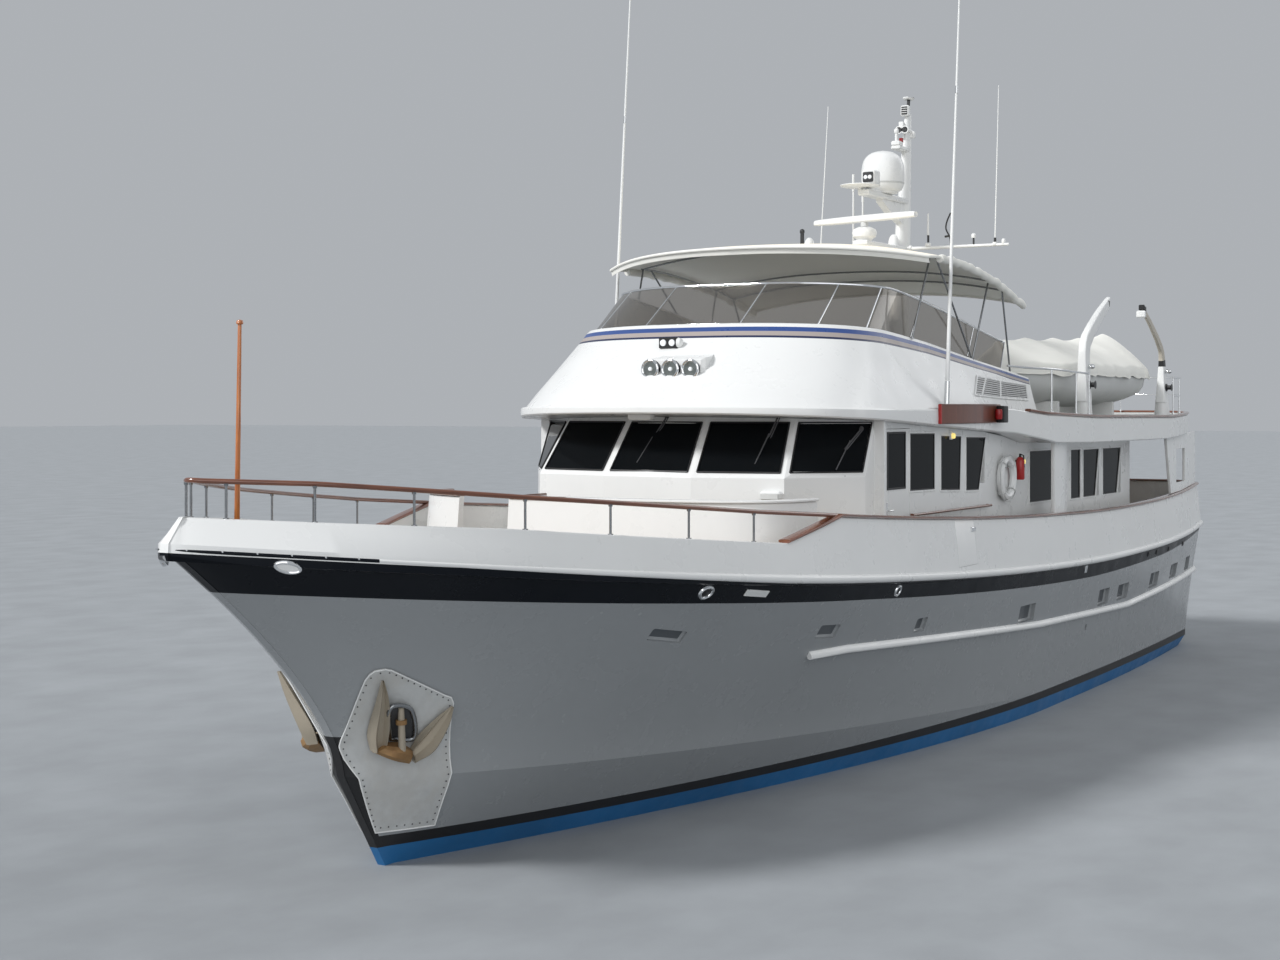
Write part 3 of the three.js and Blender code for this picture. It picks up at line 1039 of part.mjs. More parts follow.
pairs.forEach(([name, solid, colour, pivot]) => pair(name, solid, colour, pivot));

export default yacht;
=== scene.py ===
"""A motor yacht of about 29 m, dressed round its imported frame.

Metres, +Z up, bow towards -Y, port side towards +X. The origin lies on the waterplane, midway
along the waterline. A distance s runs aft from the stem at the waterline, so y = s - 12.6.
"""
import math

import bpy
import numpy as np
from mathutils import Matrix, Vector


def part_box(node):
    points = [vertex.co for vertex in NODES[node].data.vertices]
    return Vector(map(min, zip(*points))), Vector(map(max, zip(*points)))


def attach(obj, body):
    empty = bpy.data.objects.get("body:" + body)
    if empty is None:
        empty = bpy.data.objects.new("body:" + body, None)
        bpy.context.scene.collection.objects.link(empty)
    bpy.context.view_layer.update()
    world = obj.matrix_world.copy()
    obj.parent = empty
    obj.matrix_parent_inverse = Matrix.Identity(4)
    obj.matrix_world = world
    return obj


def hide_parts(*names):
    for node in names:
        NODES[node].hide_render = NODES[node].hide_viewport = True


bl_info = {
    "name": "Motor yacht",
    "version": (1, 0, 0),
    "blender": (4, 5, 0),
    "location": "3D View > Sidebar > Yacht",
    "description": "Builds the surfaces and finishes of a motor yacht round its frame",
    "category": "Object",
}

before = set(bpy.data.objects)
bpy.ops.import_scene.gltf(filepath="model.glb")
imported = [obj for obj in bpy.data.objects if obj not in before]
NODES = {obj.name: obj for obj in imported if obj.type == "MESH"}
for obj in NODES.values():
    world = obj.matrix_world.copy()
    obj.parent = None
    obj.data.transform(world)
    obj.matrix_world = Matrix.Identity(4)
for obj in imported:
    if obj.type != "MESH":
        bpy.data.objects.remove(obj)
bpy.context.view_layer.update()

# Lines of the ship
MID_S = 12.6
HALF_BEAM = 3.4
STEM_TIP_S = -3.4
STERN_S = 25.6
HULL_LENGTH = 29.0
STERN_CORNER_R = 0.9
STEM_HALF = 0.055
BULWARK_THICK = 0.095
RAISED_BULWARK_S = 5.28
RAMP_START_S = 3.95
GATE_S = (9.3, 10.1)
GUARD_TURN_S = -1.8
HOUSE_HALF = 2.75
HULL_LINES = {"keel": (2.6, 25.0), "garboard": (1.5, 25.02), "bilge": (0.6, 25.1), "water": (0.0, 25.25),
              "chine": (-0.72, 25.35), "knuckle": (STEM_TIP_S, STERN_S)}
SHAFT_LINE = ((1.15, 7.0, -0.9), (1.15, 10.4, -1.18))


def aft(s):
    """The frame's y of a distance s aft of the stem."""
    return s - MID_S


def at(x, s, z):
    """A point, or an array of points, from breadth, distance aft and height."""
    x, s, z = np.broadcast_arrays(np.asarray(x, float), s, z)
    return np.stack([x, aft(s), z], -1)


def mix(a, b, f):
    """a at f = 0, b at f = 1, straight between."""
    return a + (b - a) * f


def unit(f):
    """f held between 0 and 1."""
    return np.clip(f, 0, 1)


def normed(v):
    """Vectors along the last axis, each divided by its length."""
    return v / np.maximum(np.linalg.norm(v, axis=-1, keepdims=True), 1e-9)


def circle(count):
    """Angles at even steps round a circle."""
    return np.arange(count) / count * math.tau


def superellipse(count, across, up=None, start=0.5):
    """Two rows of points round a unit superellipse: the signed powers of cosine and sine."""
    turn = (np.arange(count) + start) / count * math.tau
    return tuple(np.sign(v) * np.abs(v) ** power
                 for v, power in ((np.cos(turn), across), (np.sin(turn), up or across)))


def table(rows, s):
    """Straight lines through rows of (s, value)."""
    rows = np.asarray(rows)
    return np.interp(s, rows[:, 0], rows[:, 1])


def smooth_through(rows, count):
    """A Catmull-Rom curve through rows of points, with count steps between two rows."""
    p = np.asarray(rows, float)
    ends = np.concatenate([[2 * p[0] - p[1]], p, [2 * p[-1] - p[-2]]])
    a, b, c, d = (ends[i:len(ends) - 3 + i][:, None] for i in range(4))
    f = (np.arange(count) / count).reshape(1, -1, *([1] * (p.ndim - 1)))
    square, cube = (2 * a - 5 * b + 4 * c - d) * f ** 2, (3 * b - a - 3 * c + d) * f ** 3
    curve = 0.5 * (2 * b + (c - a) * f + square + cube)
    return np.concatenate([curve.reshape(-1, *p.shape[1:]), p[-1:]])


def knuckle_z(s):
    """Height of the knuckle line: it climbs forward with a power of 1.7 and a little aft."""
    bow = 2.53 + 1.3 * (np.maximum(17.5 - s, 0) / 20.9) ** 1.7
    return bow + 0.2 * (np.maximum(s - 17.5, 0) / 7.5) ** 2


def bulwark_top_z(s):
    """Top of the bulwark: low on the bow, a ramp up, then about 0.75 m above the knuckle."""
    low = mix(0.29, 0.38, unit((s - STEM_TIP_S) / 3))
    high = mix(0.74, 0.79, unit((s - RAISED_BULWARK_S) / 9))
    return knuckle_z(s) + mix(low, high, unit((s - RAMP_START_S) / (RAISED_BULWARK_S - RAMP_START_S)))


def bulwark_lean(s):
    """How far the bulwark's top lies inboard of its foot."""
    return mix(0.23, 0.08, unit((s - STEM_TIP_S) / 5))


def knuckle_half(s):
    """Half-breadth at the knuckle: a power curve from the stem, a little finer at the tip."""
    x = unit((5.5 - s) / 8.9)
    body = HALF_BEAM * (1 - x ** 1.6) ** (1 / 1.7)
    fineness = 1 - 0.5 * np.exp((STEM_TIP_S - s) / 1.1)
    return body * fineness - 0.3 * unit((s - 20) / 4.7) ** 2


def chine_half(s):
    """Half-breadth at the chine."""
    return 3.05 * (1 - unit((14.5 - s) / 15.22) ** 1.8) ** 0.62 - 0.25 * unit((s - 17) / 8) ** 2


def water_half(s):
    """Half-breadth at the waterline."""
    return 2.97 * (1 - unit((14.5 - s) / 14.5) ** 1.7) - 0.33 * unit((s - 17) / 8.2) ** 2


def corner_cut(from_end):
    """What the stern's quarter-circle corner takes off the half-breadth."""
    u = unit(1 - from_end / STERN_CORNER_R)
    return STERN_CORNER_R * (1 - np.sqrt(1 - u * u))


def chine_z(s):
    """Height of the chine, never under the boot top."""
    return np.maximum(0.23, 1.09 - 0.053 * s)


def keel_z(s):
    """Depth of the keel's foot."""
    return table([(2.6, -1.25), (5, -1.6), (20.2, -1.815), (20.7, -0.9), (25.1, -0.48)], s)


def canoe_z(s):
    """Depth of the hull's body, without the keel."""
    return table([(1.5, -0.7), (5, -1.05), (14, -1.15), (20, -0.85), (25.1, -0.44)], s)


def guard_z(s):
    """Height of the rub guard on the topsides."""
    return table([(5.2, 1.96), (12.8, 1.59), (18.4, 1.45), (25.6, 1.7)], s)


def upper_low_z(s):
    """Height of the boat deck's soffit."""
    return table([(5.6, 5.12), (7.4, 5.03), (12.6, 4.79), (13.85, 4.61), (16, 4.58), (21, 4.58),
                  (24.7, 4.7)], s)


def upper_top_z(s):
    """Height of the boat deck's top."""
    return table([(5.6, 5.23), (7.4, 5.19), (11.6, 5.17), (12.5, 5.19), (13.5, 5.09), (16.2, 5.03),
                  (21.4, 5.01), (24.7, 5.1)], s)


def coaming_z(s):
    """Height of the coaming's top."""
    return table([(7.2, 6.43), (8.7, 6.35), (10.3, 6.22), (12.4, 5.99), (14.85, 5.73)], s)


def line_at(name, t):
    """s on a named line of the hull at a fraction t of its own length."""
    start, end = HULL_LINES[name]
    return mix(start, end, t)


def trimmed(name, half, t):
    """A line's half-breadth, cut by the stern corner and never less than the stem's."""
    s = line_at(name, t)
    return np.maximum(STEM_HALF, half(s) - corner_cut(HULL_LINES[name][1] - s))


def side_point(t, z):
    """Topsides at station t and height z: straight from waterline to chine, then flaring with
    the power 1.25 in breadth and 1.5 in rake up to the knuckle."""
    water = trimmed("water", water_half, t), line_at("water", t)
    chine = trimmed("chine", chine_half, t), line_at("chine", t)
    top = trimmed("knuckle", knuckle_half, t), line_at("knuckle", t)
    zc, zk = chine_z(chine[1]), knuckle_z(top[1])
    low = unit(z / zc)
    f = unit((z - zc) / (zk - zc))
    x = np.where(z < zc, mix(water[0], chine[0], low), mix(chine[0], top[0], f ** 1.25))
    s = np.where(z < zc, mix(water[1], chine[1], low), mix(chine[1], top[1], f ** 1.5))
    return at(x, s, z)


def side_at(s, z):
    """The port topsides at a distance aft s and height z, and the outward direction there."""
    t = np.full_like(np.asarray(s, float), 0.5)
    for _ in range(12):
        t = t + (s - (side_point(t, z)[..., 1] + MID_S)) / HULL_LENGTH
    step, rise = 0.002, 0.05
    along = side_point(t + step, z) - side_point(t - step, z)
    up = side_point(t, z + rise) - side_point(t, z - rise)
    return side_point(t, z), normed(np.cross(along, up))


# Mesh kit
class Patch:
    """A stretch of mesh: points (n, 3), quads (m, 4), uv (m, 4, 2) and a finish number a quad."""

    def __init__(self, points, quads, uv, finish=0):
        self.points, self.quads, self.uv = points, quads, uv
        self.finish = np.broadcast_to(np.asarray(finish), (len(quads),)).astype(int)
        self.turn_out()

    def turn_out(self):
        """Turns the quads round where the closed patch has its faces pointing in."""
        a, b, c, d = (self.points[self.quads[:, i]] - self.points.mean(0) for i in range(4))
        if np.sum(a * np.cross(b, c)) + np.sum(a * np.cross(c, d)) < 0:
            self.quads, self.uv = self.quads[:, ::-1], self.uv[:, ::-1]

    def where(self, change):
        """The same patch with its points changed by a function."""
        return Patch(change(self.points), self.quads, self.uv, self.finish)

    def mirrored(self):
        """The patch on the other side of the ship."""
        return self.where(lambda p: p * (-1, 1, 1))

    def turned(self, angle, pivot):
        """Turned by an angle in radians round the upright axis through a pivot."""
        c, d = math.cos(angle), math.sin(angle)
        return self.where(lambda p: pivot + (p - pivot) @ np.array([(c, d, 0), (-d, c, 0), (0, 0, 1)]))


def run_of(line):
    """Distance gone along a line of points, at each of them."""
    return np.concatenate([[0], np.cumsum(np.linalg.norm(np.diff(line, axis=0), axis=1))])


def swept(rings, loop=False, finish=0, caps=None):
    """Closed sections (n, k, 3), k even, skinned in order: point j of a ring joins point j of the
    next. Both ends of an open sweep are closed by strips between points j and k - 1 - j, in the
    finishes that caps gives, or in those of the rows beside them."""
    rings = np.asarray(rings, float)
    n, k, _ = rings.shape
    rows = n if loop else n - 1
    i, j = np.meshgrid(np.arange(rows), np.arange(k), indexing="ij")
    i2, j2 = (i + 1) % n, (j + 1) % k
    quads = np.stack([i * k + j, i * k + j2, i2 * k + j2, i2 * k + j], -1).reshape(-1, 4)
    u, v = (run_of(np.concatenate([line, line[:1]])) for line in (rings.mean(1), rings[n // 2]))
    uv = np.stack([np.stack([u[i + a], v[j + b]], -1) for a, b in ((0, 0), (0, 1), (1, 1), (1, 0))], -2)
    uv = uv.reshape(-1, 4, 2)
    marks = np.broadcast_to(np.asarray(finish), (rows, k))
    if loop:
        return Patch(rings.reshape(-1, 3), quads, uv, marks.reshape(-1))
    a = np.arange(k // 2 - 1)
    cap = np.stack([a, a + 1, k - 2 - a, k - 1 - a], -1)
    quads = np.concatenate([quads, cap[:, ::-1], cap + (n - 1) * k])
    uv = np.concatenate([uv, rings[0][cap][..., :2][:, ::-1], rings[-1][cap][..., :2]])
    if caps is None:
        ends = [marks[0, :len(a)], marks[-1, :len(a)]]
    else:
        ends = [np.full(len(a), mark) for mark in caps]
    return Patch(rings.reshape(-1, 3), quads, uv, np.concatenate([marks.reshape(-1)] + ends))


def frames_of(path, loop):
    """Two cross directions along a path, from the axis it follows least."""
    before = np.roll(path, 1, 0) if loop else np.concatenate([path[:1], path[:-1]])
    after = np.roll(path, -1, 0) if loop else np.concatenate([path[1:], path[-1:]])
    tangent = normed(after - before)
    fixed = np.eye(3)[np.argmin(np.abs(tangent).mean(0))]
    side = normed(np.cross(tangent, fixed))
    return side, np.cross(side, tangent)


def pipe(path, radius, sides, loop=False, finish=0, squeeze=1.0):
    """A round or oval tube along a path: each point of its circle is carried on the two cross
    directions of the path, and squeeze flattens the second one."""
    path = np.asarray(path, float)
    side, up = frames_of(path, loop)
    angle = circle(sides)
    r = np.broadcast_to(np.asarray(radius, float), (len(path),))[:, None, None]
    rings = path[:, None] + r * (side[:, None] * np.cos(angle)[None, :, None]
                                 + up[:, None] * (squeeze * np.sin(angle))[None, :, None])
    return swept(rings, loop, finish)


def rod(a, b, r0, r1=None, sides=10, finish=0):
    """A straight bar from a to b with its ends eased."""
    f = np.array([0, 0.004, 0.996, 1.0])
    a, b = np.asarray(a, float), np.asarray(b, float)
    radius = mix(r0, r0 if r1 is None else r1, f) * np.array([0.8, 1, 1, 0.8])
    return pipe(a + np.outer(f, b - a), radius, sides, finish=finish)


def ordered(a, b):
    """The lowest and the highest corner of a box between two corners."""
    return np.minimum(a, b).astype(float), np.maximum(a, b).astype(float)


def block(lo, hi, ease=0.01, finish=0):
    """A box with eased edges: a rounded rectangle in plan, drawn in at its foot and its top."""
    lo, hi = ordered(lo, hi)
    ease = min(ease, 0.45 * float((hi - lo).min()))
    corner = np.array([0, 0.5, 1]) * math.pi / 2
    turn = np.concatenate([corner + q * math.pi / 2 for q in range(4)])
    centre = np.repeat(np.array([[1, 1], [-1, 1], [-1, -1], [1, -1]]), 3, axis=0)
    half, middle = (hi - lo)[:2] / 2, (hi + lo)[:2] / 2
    rings = []
    for z, inset in ((lo[2], ease), (lo[2] + ease, 0), (hi[2] - ease, 0), (hi[2], ease)):
        radius = max(ease - inset, ease * 0.25)
        xy = middle + centre * (half - inset - radius) + radius * np.stack([np.cos(turn), np.sin(turn)], -1)
        rings.append(np.column_stack([xy, np.full(12, z)]))
    return swept(rings, finish=finish)


def slab(lo, hi, ease, finish=0):
    """A block between two corners (x, s, z)."""
    return block(at(*lo), at(*hi), ease, finish)


def lathe(profile, centre, axis=2, sides=28, finish=0):
    """A profile of (radius, height) rows turned round an axis through a centre."""
    profile = np.asarray(profile, float)
    angle = circle(sides)
    ring = np.maximum(profile[:, :1], 1e-3)
    a, b = ring * np.cos(angle), ring * np.sin(angle)
    height = np.broadcast_to(profile[:, 1:], a.shape)
    order = {2: (a, b, height), 1: (b, height, a), 0: (height, a, b)}[axis]
    return swept(np.stack(order, -1) + np.asarray(centre, float), finish=finish)


def plate(grid, thick, finish=0, under=None):
    """A sheet over a grid (n, m, 3) of points: the grid, and the same moved by thick against its
    normal, closed round the edge. under is the finish of the second side."""
    grid = np.asarray(grid, float)
    other = grid - normed(np.cross(np.gradient(grid, axis=0), np.gradient(grid, axis=1))) * thick
    m = grid.shape[1]
    marks = np.full(2 * m, finish)
    if under is not None:
        marks[m:-1] = under
    return swept(np.concatenate([grid, other[:, ::-1]], 1), finish=marks)


def panel(corners, thick, direction, finish=0):
    """A flat polygon of corners, given a thickness along a direction. Its corner count is even."""
    edge = min(thick, 0.006)
    return swept([np.asarray(corners, float) + np.asarray(direction, float) * depth
                  for depth in (0, edge, thick - edge * 0.999, thick)], finish=finish)


def oriented(patch, centre, out, along=None):
    """A patch drawn about the origin, set at a centre: its x runs along the ship or a given
    direction, its z points out, and its y completes the three."""
    out = normed(np.asarray(out, float))
    along = np.array((0, 1, 0) if along is None else along, float)
    along = normed(along - out * (along @ out))
    basis = np.stack([along, np.cross(out, along), out])
    return patch.where(lambda p: np.asarray(centre, float) + p @ basis)


def oval(wide, high, thick, finish=0, sides=24):
    """A round bar bent into an ellipse in the plane of x and y."""
    angle, turn = circle(sides), circle(8)
    outward = np.stack([np.cos(angle), np.sin(angle), 0 * angle], 1)
    rings = (outward * (wide, high, 0))[:, None] + thick * (
        outward[:, None] * np.cos(turn)[None, :, None] + np.array([0, 0, 1]) * np.sin(turn)[None, :, None])
    return swept(rings, loop=True, finish=finish)


def disc(wide, high, low, top, finish=0, sides=24):
    """A flat ellipse between two heights, its rim eased."""
    rim_line = np.stack([wide * np.cos(circle(sides)), high * np.sin(circle(sides))], 1)
    ease = min(0.004, (top - low) * 0.3)
    levels = ((0.9, low), (1, low + ease), (1, top - ease), (0.93, top))
    return swept([np.column_stack([rim_line * size, np.full(sides, z)]) for size, z in levels], finish=finish)


def stuffed(lo, hi):
    """A stuffed cushion between two corners of the frame: rounded rectangles in plan, whose sides
    pull in by a little between the corners, stacked from a flat foot over a bulging edge, then
    drawn in over a crown that rises with one less the cube of the distance from the middle."""
    half, middle, thick = (hi - lo)[:2] / 2, (hi + lo)[:2] / 2, hi[2] - lo[2]
    ease, pull, shoulder = 0.04, 0.012, thick * 0.74
    side = np.linspace(-1, 1, 9)[:-1]
    square = np.stack([np.concatenate([side, 0 * side + 1, -side, 0 * side - 1]),
                       np.concatenate([0 * side - 1, side, 0 * side + 1, -side])], 1)
    rounded = square / np.maximum(1, (np.abs(square) ** 7).sum(1) ** (1 / 7))[:, None]
    normal = np.sign(square) * (np.abs(square) > 0.999)
    waist = (1 - np.abs(square).min(1) ** 2)[:, None] * normal * pull
    plans = [(rounded * (half + inset) - waist, z)
             for inset, z in ((-ease * 0.7, 0), (-ease * 0.15, thick * 0.16), (0, thick * 0.36),
                              (-0.006, thick * 0.43), (0, thick * 0.5), (-ease * 0.2, thick * 0.68),
                              (-ease, shoulder))]
    plans += [((rounded * (half - ease) - waist) * share, mix(shoulder, thick, 1 - share ** 3))
              for share in (0.86, 0.7, 0.52, 0.34, 0.17, 0.03)]
    return swept([np.column_stack([middle + plan, np.full(32, lo[2] + z)]) for plan, z in plans])


def cushion(a, b):
    """A stuffed cushion that lies between two corners (x, s, z)."""
    return stuffed(*ordered(at(*a), at(*b)))


def upright(a, b):
    """A cushion stood on its edge, its crown facing forward."""
    lo, hi = ordered(at(*a), at(*b))
    lying = stuffed(np.array((lo[0], lo[2], 0)), np.array((hi[0], hi[2], hi[1] - lo[1])))
    return lying.where(lambda p: np.stack([p[:, 0], hi[1] - p[:, 2], p[:, 1]], 1))


def sidelong(a, b):
    """A cushion stood on its edge, its crown facing port."""
    lo, hi = ordered(at(*a), at(*b))
    lying = stuffed(np.array((lo[1], lo[2], 0)), np.array((hi[1], hi[2], hi[0] - lo[0])))
    return lying.where(lambda p: np.stack([lo[0] + p[:, 2], p[:, 0], p[:, 1]], 1))


def carve(obj, tools, sharp):
    """Cuts closed patches out of an object by a boolean, and leaves the result as its mesh."""
    knife = make(obj.name + "_knife", tools, "")
    cut = obj.modifiers.new("Carve", "BOOLEAN")
    cut.operation = "DIFFERENCE"
    cut.solver = "EXACT"
    cut.object = knife
    depsgraph = bpy.context.evaluated_depsgraph_get()
    mesh = bpy.data.meshes.new_from_object(obj.evaluated_get(depsgraph))
    obj.modifiers.remove(cut)
    old, obj.data = obj.data, mesh
    name = old.name
    bpy.data.meshes.remove(old)
    mesh.name = name
    mesh.set_sharp_from_angle(angle=math.radians(sharp))
    blade = knife.data
    bpy.data.objects.remove(knife)
    bpy.data.meshes.remove(blade)


def both(patches):
    """Patches and their mirror images on the other side of the ship."""
    return list(patches) + [p.mirrored() for p in patches]


def each_side(patches):
    """The name of each side with the patches for it, which are drawn for the port side."""
    return ("port", patches), ("starboard", [p.mirrored() for p in patches])


def make(name, patches, finishes, body="root", replaces=(), sharp=38):
    """One object from patches: the arrays are joined and set in the mesh at once, it is shaded smooth but for
    edges over the sharp angle, and it rides on its body."""
    finishes = finishes.split()
    starts = np.cumsum([0] + [len(p.points) for p in patches])
    points = np.concatenate([p.points for p in patches])
    quads = np.concatenate([p.quads + start for p, start in zip(patches, starts)])
    mesh = bpy.data.meshes.new(name)
    mesh.vertices.add(len(points))
    mesh.vertices.foreach_set("co", points.astype(np.float32).ravel())
    mesh.loops.add(quads.size)
    mesh.loops.foreach_set("vertex_index", quads.astype(np.int32).ravel())
    mesh.polygons.add(len(quads))
    mesh.polygons.foreach_set("loop_start", np.arange(0, quads.size, 4, dtype=np.int32))
    mesh.polygons.foreach_set("material_index", np.concatenate([p.finish for p in patches]).astype(np.int32))
    mesh.polygons.foreach_set("use_smooth", np.ones(len(quads), bool))
    layer = mesh.uv_layers.new(name="Surface")
    layer.data.foreach_set("uv", np.concatenate([p.uv for p in patches]).astype(np.float32).ravel())
    mesh.update(calc_edges=True)
    mesh.set_sharp_from_angle(angle=math.radians(sharp))
    for finish in finishes:
        mesh.materials.append(paint(finish))
    obj = bpy.data.objects.new(name, mesh)
    bpy.context.scene.collection.objects.link(obj)
    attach(obj, body)
    if replaces:
        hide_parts(*replaces)
    return obj


def dress(node, finish, ease):
    """A carried-over piece of the frame: its finish, and eased edges from a weld and a bevel."""
    obj = NODES[node]
    obj.data.materials.clear()
    obj.data.materials.append(paint(finish))
    if ease:
        weld = obj.modifiers.new("Weld", "WELD")
        weld.merge_threshold = 1e-4
        bevel = obj.modifiers.new("Ease", "BEVEL")
        bevel.width = ease
        bevel.segments = 2
        bevel.limit_method = "ANGLE"
        bevel.angle_limit = math.radians(35)


# Finishes
class Recipe:
    """A material under work: nodes are added by kind, with links or values for their sockets."""

    def __init__(self, name):
        self.material = bpy.data.materials.new(name)
        self.material.use_nodes = True
        self.tree = self.material.node_tree
        self.tree.nodes.clear()
        self.shader = self.add("ShaderNodeBsdfPrincipled")
        out = self.add("ShaderNodeOutputMaterial")
        self.tree.links.new(self.shader.outputs[0], out.inputs["Surface"])

    def add(self, kind, sockets=(), **settings):
        """A node of a kind, with its settings, and values or links for its sockets."""
        node = self.tree.nodes.new(kind)
        for key, value in settings.items():
            setattr(node, key, value)
        for key, value in dict(sockets).items():
            self.put(node, key, value)
        return node

    def put(self, node, key, value):
        """A link or a value in a socket; a colour of three values gets its alpha."""
        if isinstance(value, bpy.types.NodeSocket):
            self.tree.links.new(value, node.inputs[key])
        elif node.inputs[key].type == "RGBA":
            node.inputs[key].default_value = (*value[:3], 1)
        else:
            node.inputs[key].default_value = value

    def where(self, scale=(1, 1, 1), turn=(0, 0, 0), surface=False):
        """Object coordinates, or the piece's own uv map, scaled and turned."""
        if surface:
            source = self.add("ShaderNodeUVMap", uv_map="Surface").outputs[0]
        else:
            source = self.add("ShaderNodeTexCoord").outputs["Object"]
        place = self.add("ShaderNodeMapping", {"Vector": source, "Scale": scale, "Rotation": turn})
        return place.outputs[0]

    def noise(self, vector, scale, detail, rough=0.55, twist=0.0):
        """Noise at a scale, as a value between 0 and 1."""
        node = self.add("ShaderNodeTexNoise", {"Vector": vector, "Scale": scale, "Detail": detail,
                                               "Roughness": rough, "Distortion": twist})
        return node.outputs["Fac"]

    def ramp(self, factor, *stops):
        """Colours or greys at places between 0 and 1."""
        node = self.add("ShaderNodeValToRGB", {"Fac": factor})
        elements = node.color_ramp.elements
        while len(elements) < len(stops):
            elements.new(0.5)
        for element, (place, value) in zip(elements, stops):
            element.position = place
            element.color = (*value, 1) if hasattr(value, "__len__") else (value, value, value, 1)
        return node.outputs["Color"]

    def blend(self, factor, a, b):
        """Colour a at factor 0, b at 1."""
        return self.add("ShaderNodeMix", {0: factor, 6: a, 7: b}, data_type="RGBA").outputs[2]

    def maths(self, kind, a, b=0.0):
        """One step of arithmetic on two values."""
        return self.add("ShaderNodeMath", {0: a, 1: b}, operation=kind).outputs[0]

    def bump(self, height, strength, depth, base=None):
        """A relief of a depth in metres, over another one where it is given."""
        node = self.add("ShaderNodeBump", {"Height": height, "Strength": strength, "Distance": depth})
        if base is not None:
            self.put(node, "Normal", base)
        return node.outputs[0]

    def shade(self, **sockets):
        """The finished material, from values or links for the shader's sockets."""
        for key, value in sockets.items():
            self.put(self.shader, key.replace("_", " "), value)
        return self.material


def darker(colour, by):
    """A colour's three values, each times a number."""
    return tuple(c * by for c in colour)


def sprayed(name, colour, gloss, coat=0.0, grime=0.06, streak=0.0, peel=0.02, shine=0.5):
    """Sprayed marine paint: broad soft changes of tone, faint runs of grime down the surface, a
    gloss that varies a little and the fine ripple of sprayed lacquer."""
    r = Recipe(name)
    broad = r.noise(r.where((0.5, 0.35, 0.6)), 1.3, 5)
    runs = r.noise(r.where((5.0, 5.0, 0.35)), 1.6, 6, 0.65)
    tone = r.blend(r.ramp(broad, (0.35, 0), (0.75, 1)), darker(colour, 1 - grime), colour)
    if streak:
        tone = r.blend(r.ramp(runs, (0.5, 0), (0.85, streak)), tone, darker(colour, 0.62))
    rough = r.ramp(r.noise(r.where(), 2.2, 6), (0.3, gloss * 0.75), (0.8, min(1.0, gloss * 1.45)))
    ripple = r.bump(r.noise(r.where(), 34, 2), peel, 0.004)
    return r.shade(Base_Color=tone, Roughness=rough, Normal=ripple, Coat_Weight=coat, Coat_Roughness=0.08,
                   Specular_IOR_Level=shine)


def antislip(name, colour):
    """Deck paint with grit: a dense grain in relief and dirt in its hollows."""
    r = Recipe(name)
    grit = r.noise(r.where(), 190, 3, 0.7)
    worn = r.noise(r.where((0.6, 0.4, 1)), 1.4, 6)
    tone = r.blend(r.ramp(worn, (0.35, 0), (0.75, 1)), darker(colour, 0.84), colour)
    tone = r.blend(r.ramp(grit, (0.35, 0.25), (0.6, 0.0)), tone, darker(colour, 0.6))
    return r.shade(Base_Color=tone, Roughness=0.78, Normal=r.bump(grit, 0.5, 0.004))


def planked(name, colour):
    """Teak laid fore and aft: dark caulking at every plank's edge, a tone of its own for each
    plank, long grain, and a bump that sinks the seams."""
    r = Recipe(name)
    across = r.add("ShaderNodeSeparateXYZ", {"Vector": r.where()}).outputs["X"]
    scaled = r.maths("DIVIDE", across, bpy.context.scene.yacht_sizes.plank)
    edge = r.maths("ABSOLUTE", r.maths("SUBTRACT", r.maths("FRACT", scaled), 0.5))
    seam = r.ramp(edge, (0.455, 0.0), (0.475, 1.0))
    number = r.maths("FLOOR", scaled)
    own = r.add("ShaderNodeTexWhiteNoise", {"W": number}, noise_dimensions="1D").outputs["Value"]
    grain = r.noise(r.where((60, 2.2, 20)), 2.2, 6, 0.6)
    worn = r.noise(r.where((0.8, 0.5, 1)), 1.1, 5)
    tone = r.blend(own, darker(colour, 0.82), colour)
    tone = r.blend(r.ramp(grain, (0.3, 0.55), (0.7, 0.0)), tone, darker(colour, 0.62))
    tone = r.blend(r.ramp(worn, (0.45, 0.0), (0.8, 0.35)), tone, (0.42, 0.38, 0.33))
    tone = r.blend(seam, tone, (0.02, 0.019, 0.018))
    height = r.maths("SUBTRACT", r.maths("MULTIPLY", grain, 0.3), seam)
    return r.shade(Base_Color=tone, Roughness=0.66, Normal=r.bump(height, 0.35, 0.003))


def varnished(name, colour, dark, coat=0.9):
    """Varnished mahogany: long grain along the surface, darker bands, pores in relief under a
    clear coat."""
    r = Recipe(name)
    lay = r.where((1.2, 26, 1), surface=True)
    grain = r.noise(lay, 2.4, 8, 0.62, 0.6)
    band = r.noise(r.where((0.35, 3, 1), surface=True), 2.0, 4)
    tone = r.blend(r.ramp(grain, (0.3, 1.0), (0.68, 0.0)), colour, dark)
    tone = r.blend(r.ramp(band, (0.4, 0.0), (0.75, 0.5)), tone, darker(dark, 0.8))
    return r.shade(Base_Color=tone, Roughness=0.34, Coat_Weight=coat, Coat_Roughness=0.06,
                   Normal=r.bump(grain, 0.12, 0.002))


def polished(name, colour, gloss=0.16):
    """Polished metal: fine drawn lines and smudges that change its gloss."""
    r = Recipe(name)
    drawn = r.noise(r.where((30, 30, 4)), 6, 4)
    smudge = r.noise(r.where(), 4, 6)
    rough = r.ramp(r.blend(0.5, drawn, smudge), (0.35, gloss * 0.6), (0.7, gloss * 1.8))
    tone = r.blend(r.ramp(smudge, (0.4, 0), (0.8, 1)), colour, darker(colour, 0.86))
    return r.shade(Base_Color=tone, Metallic=1.0, Roughness=rough, Normal=r.bump(drawn, 0.04, 0.001))


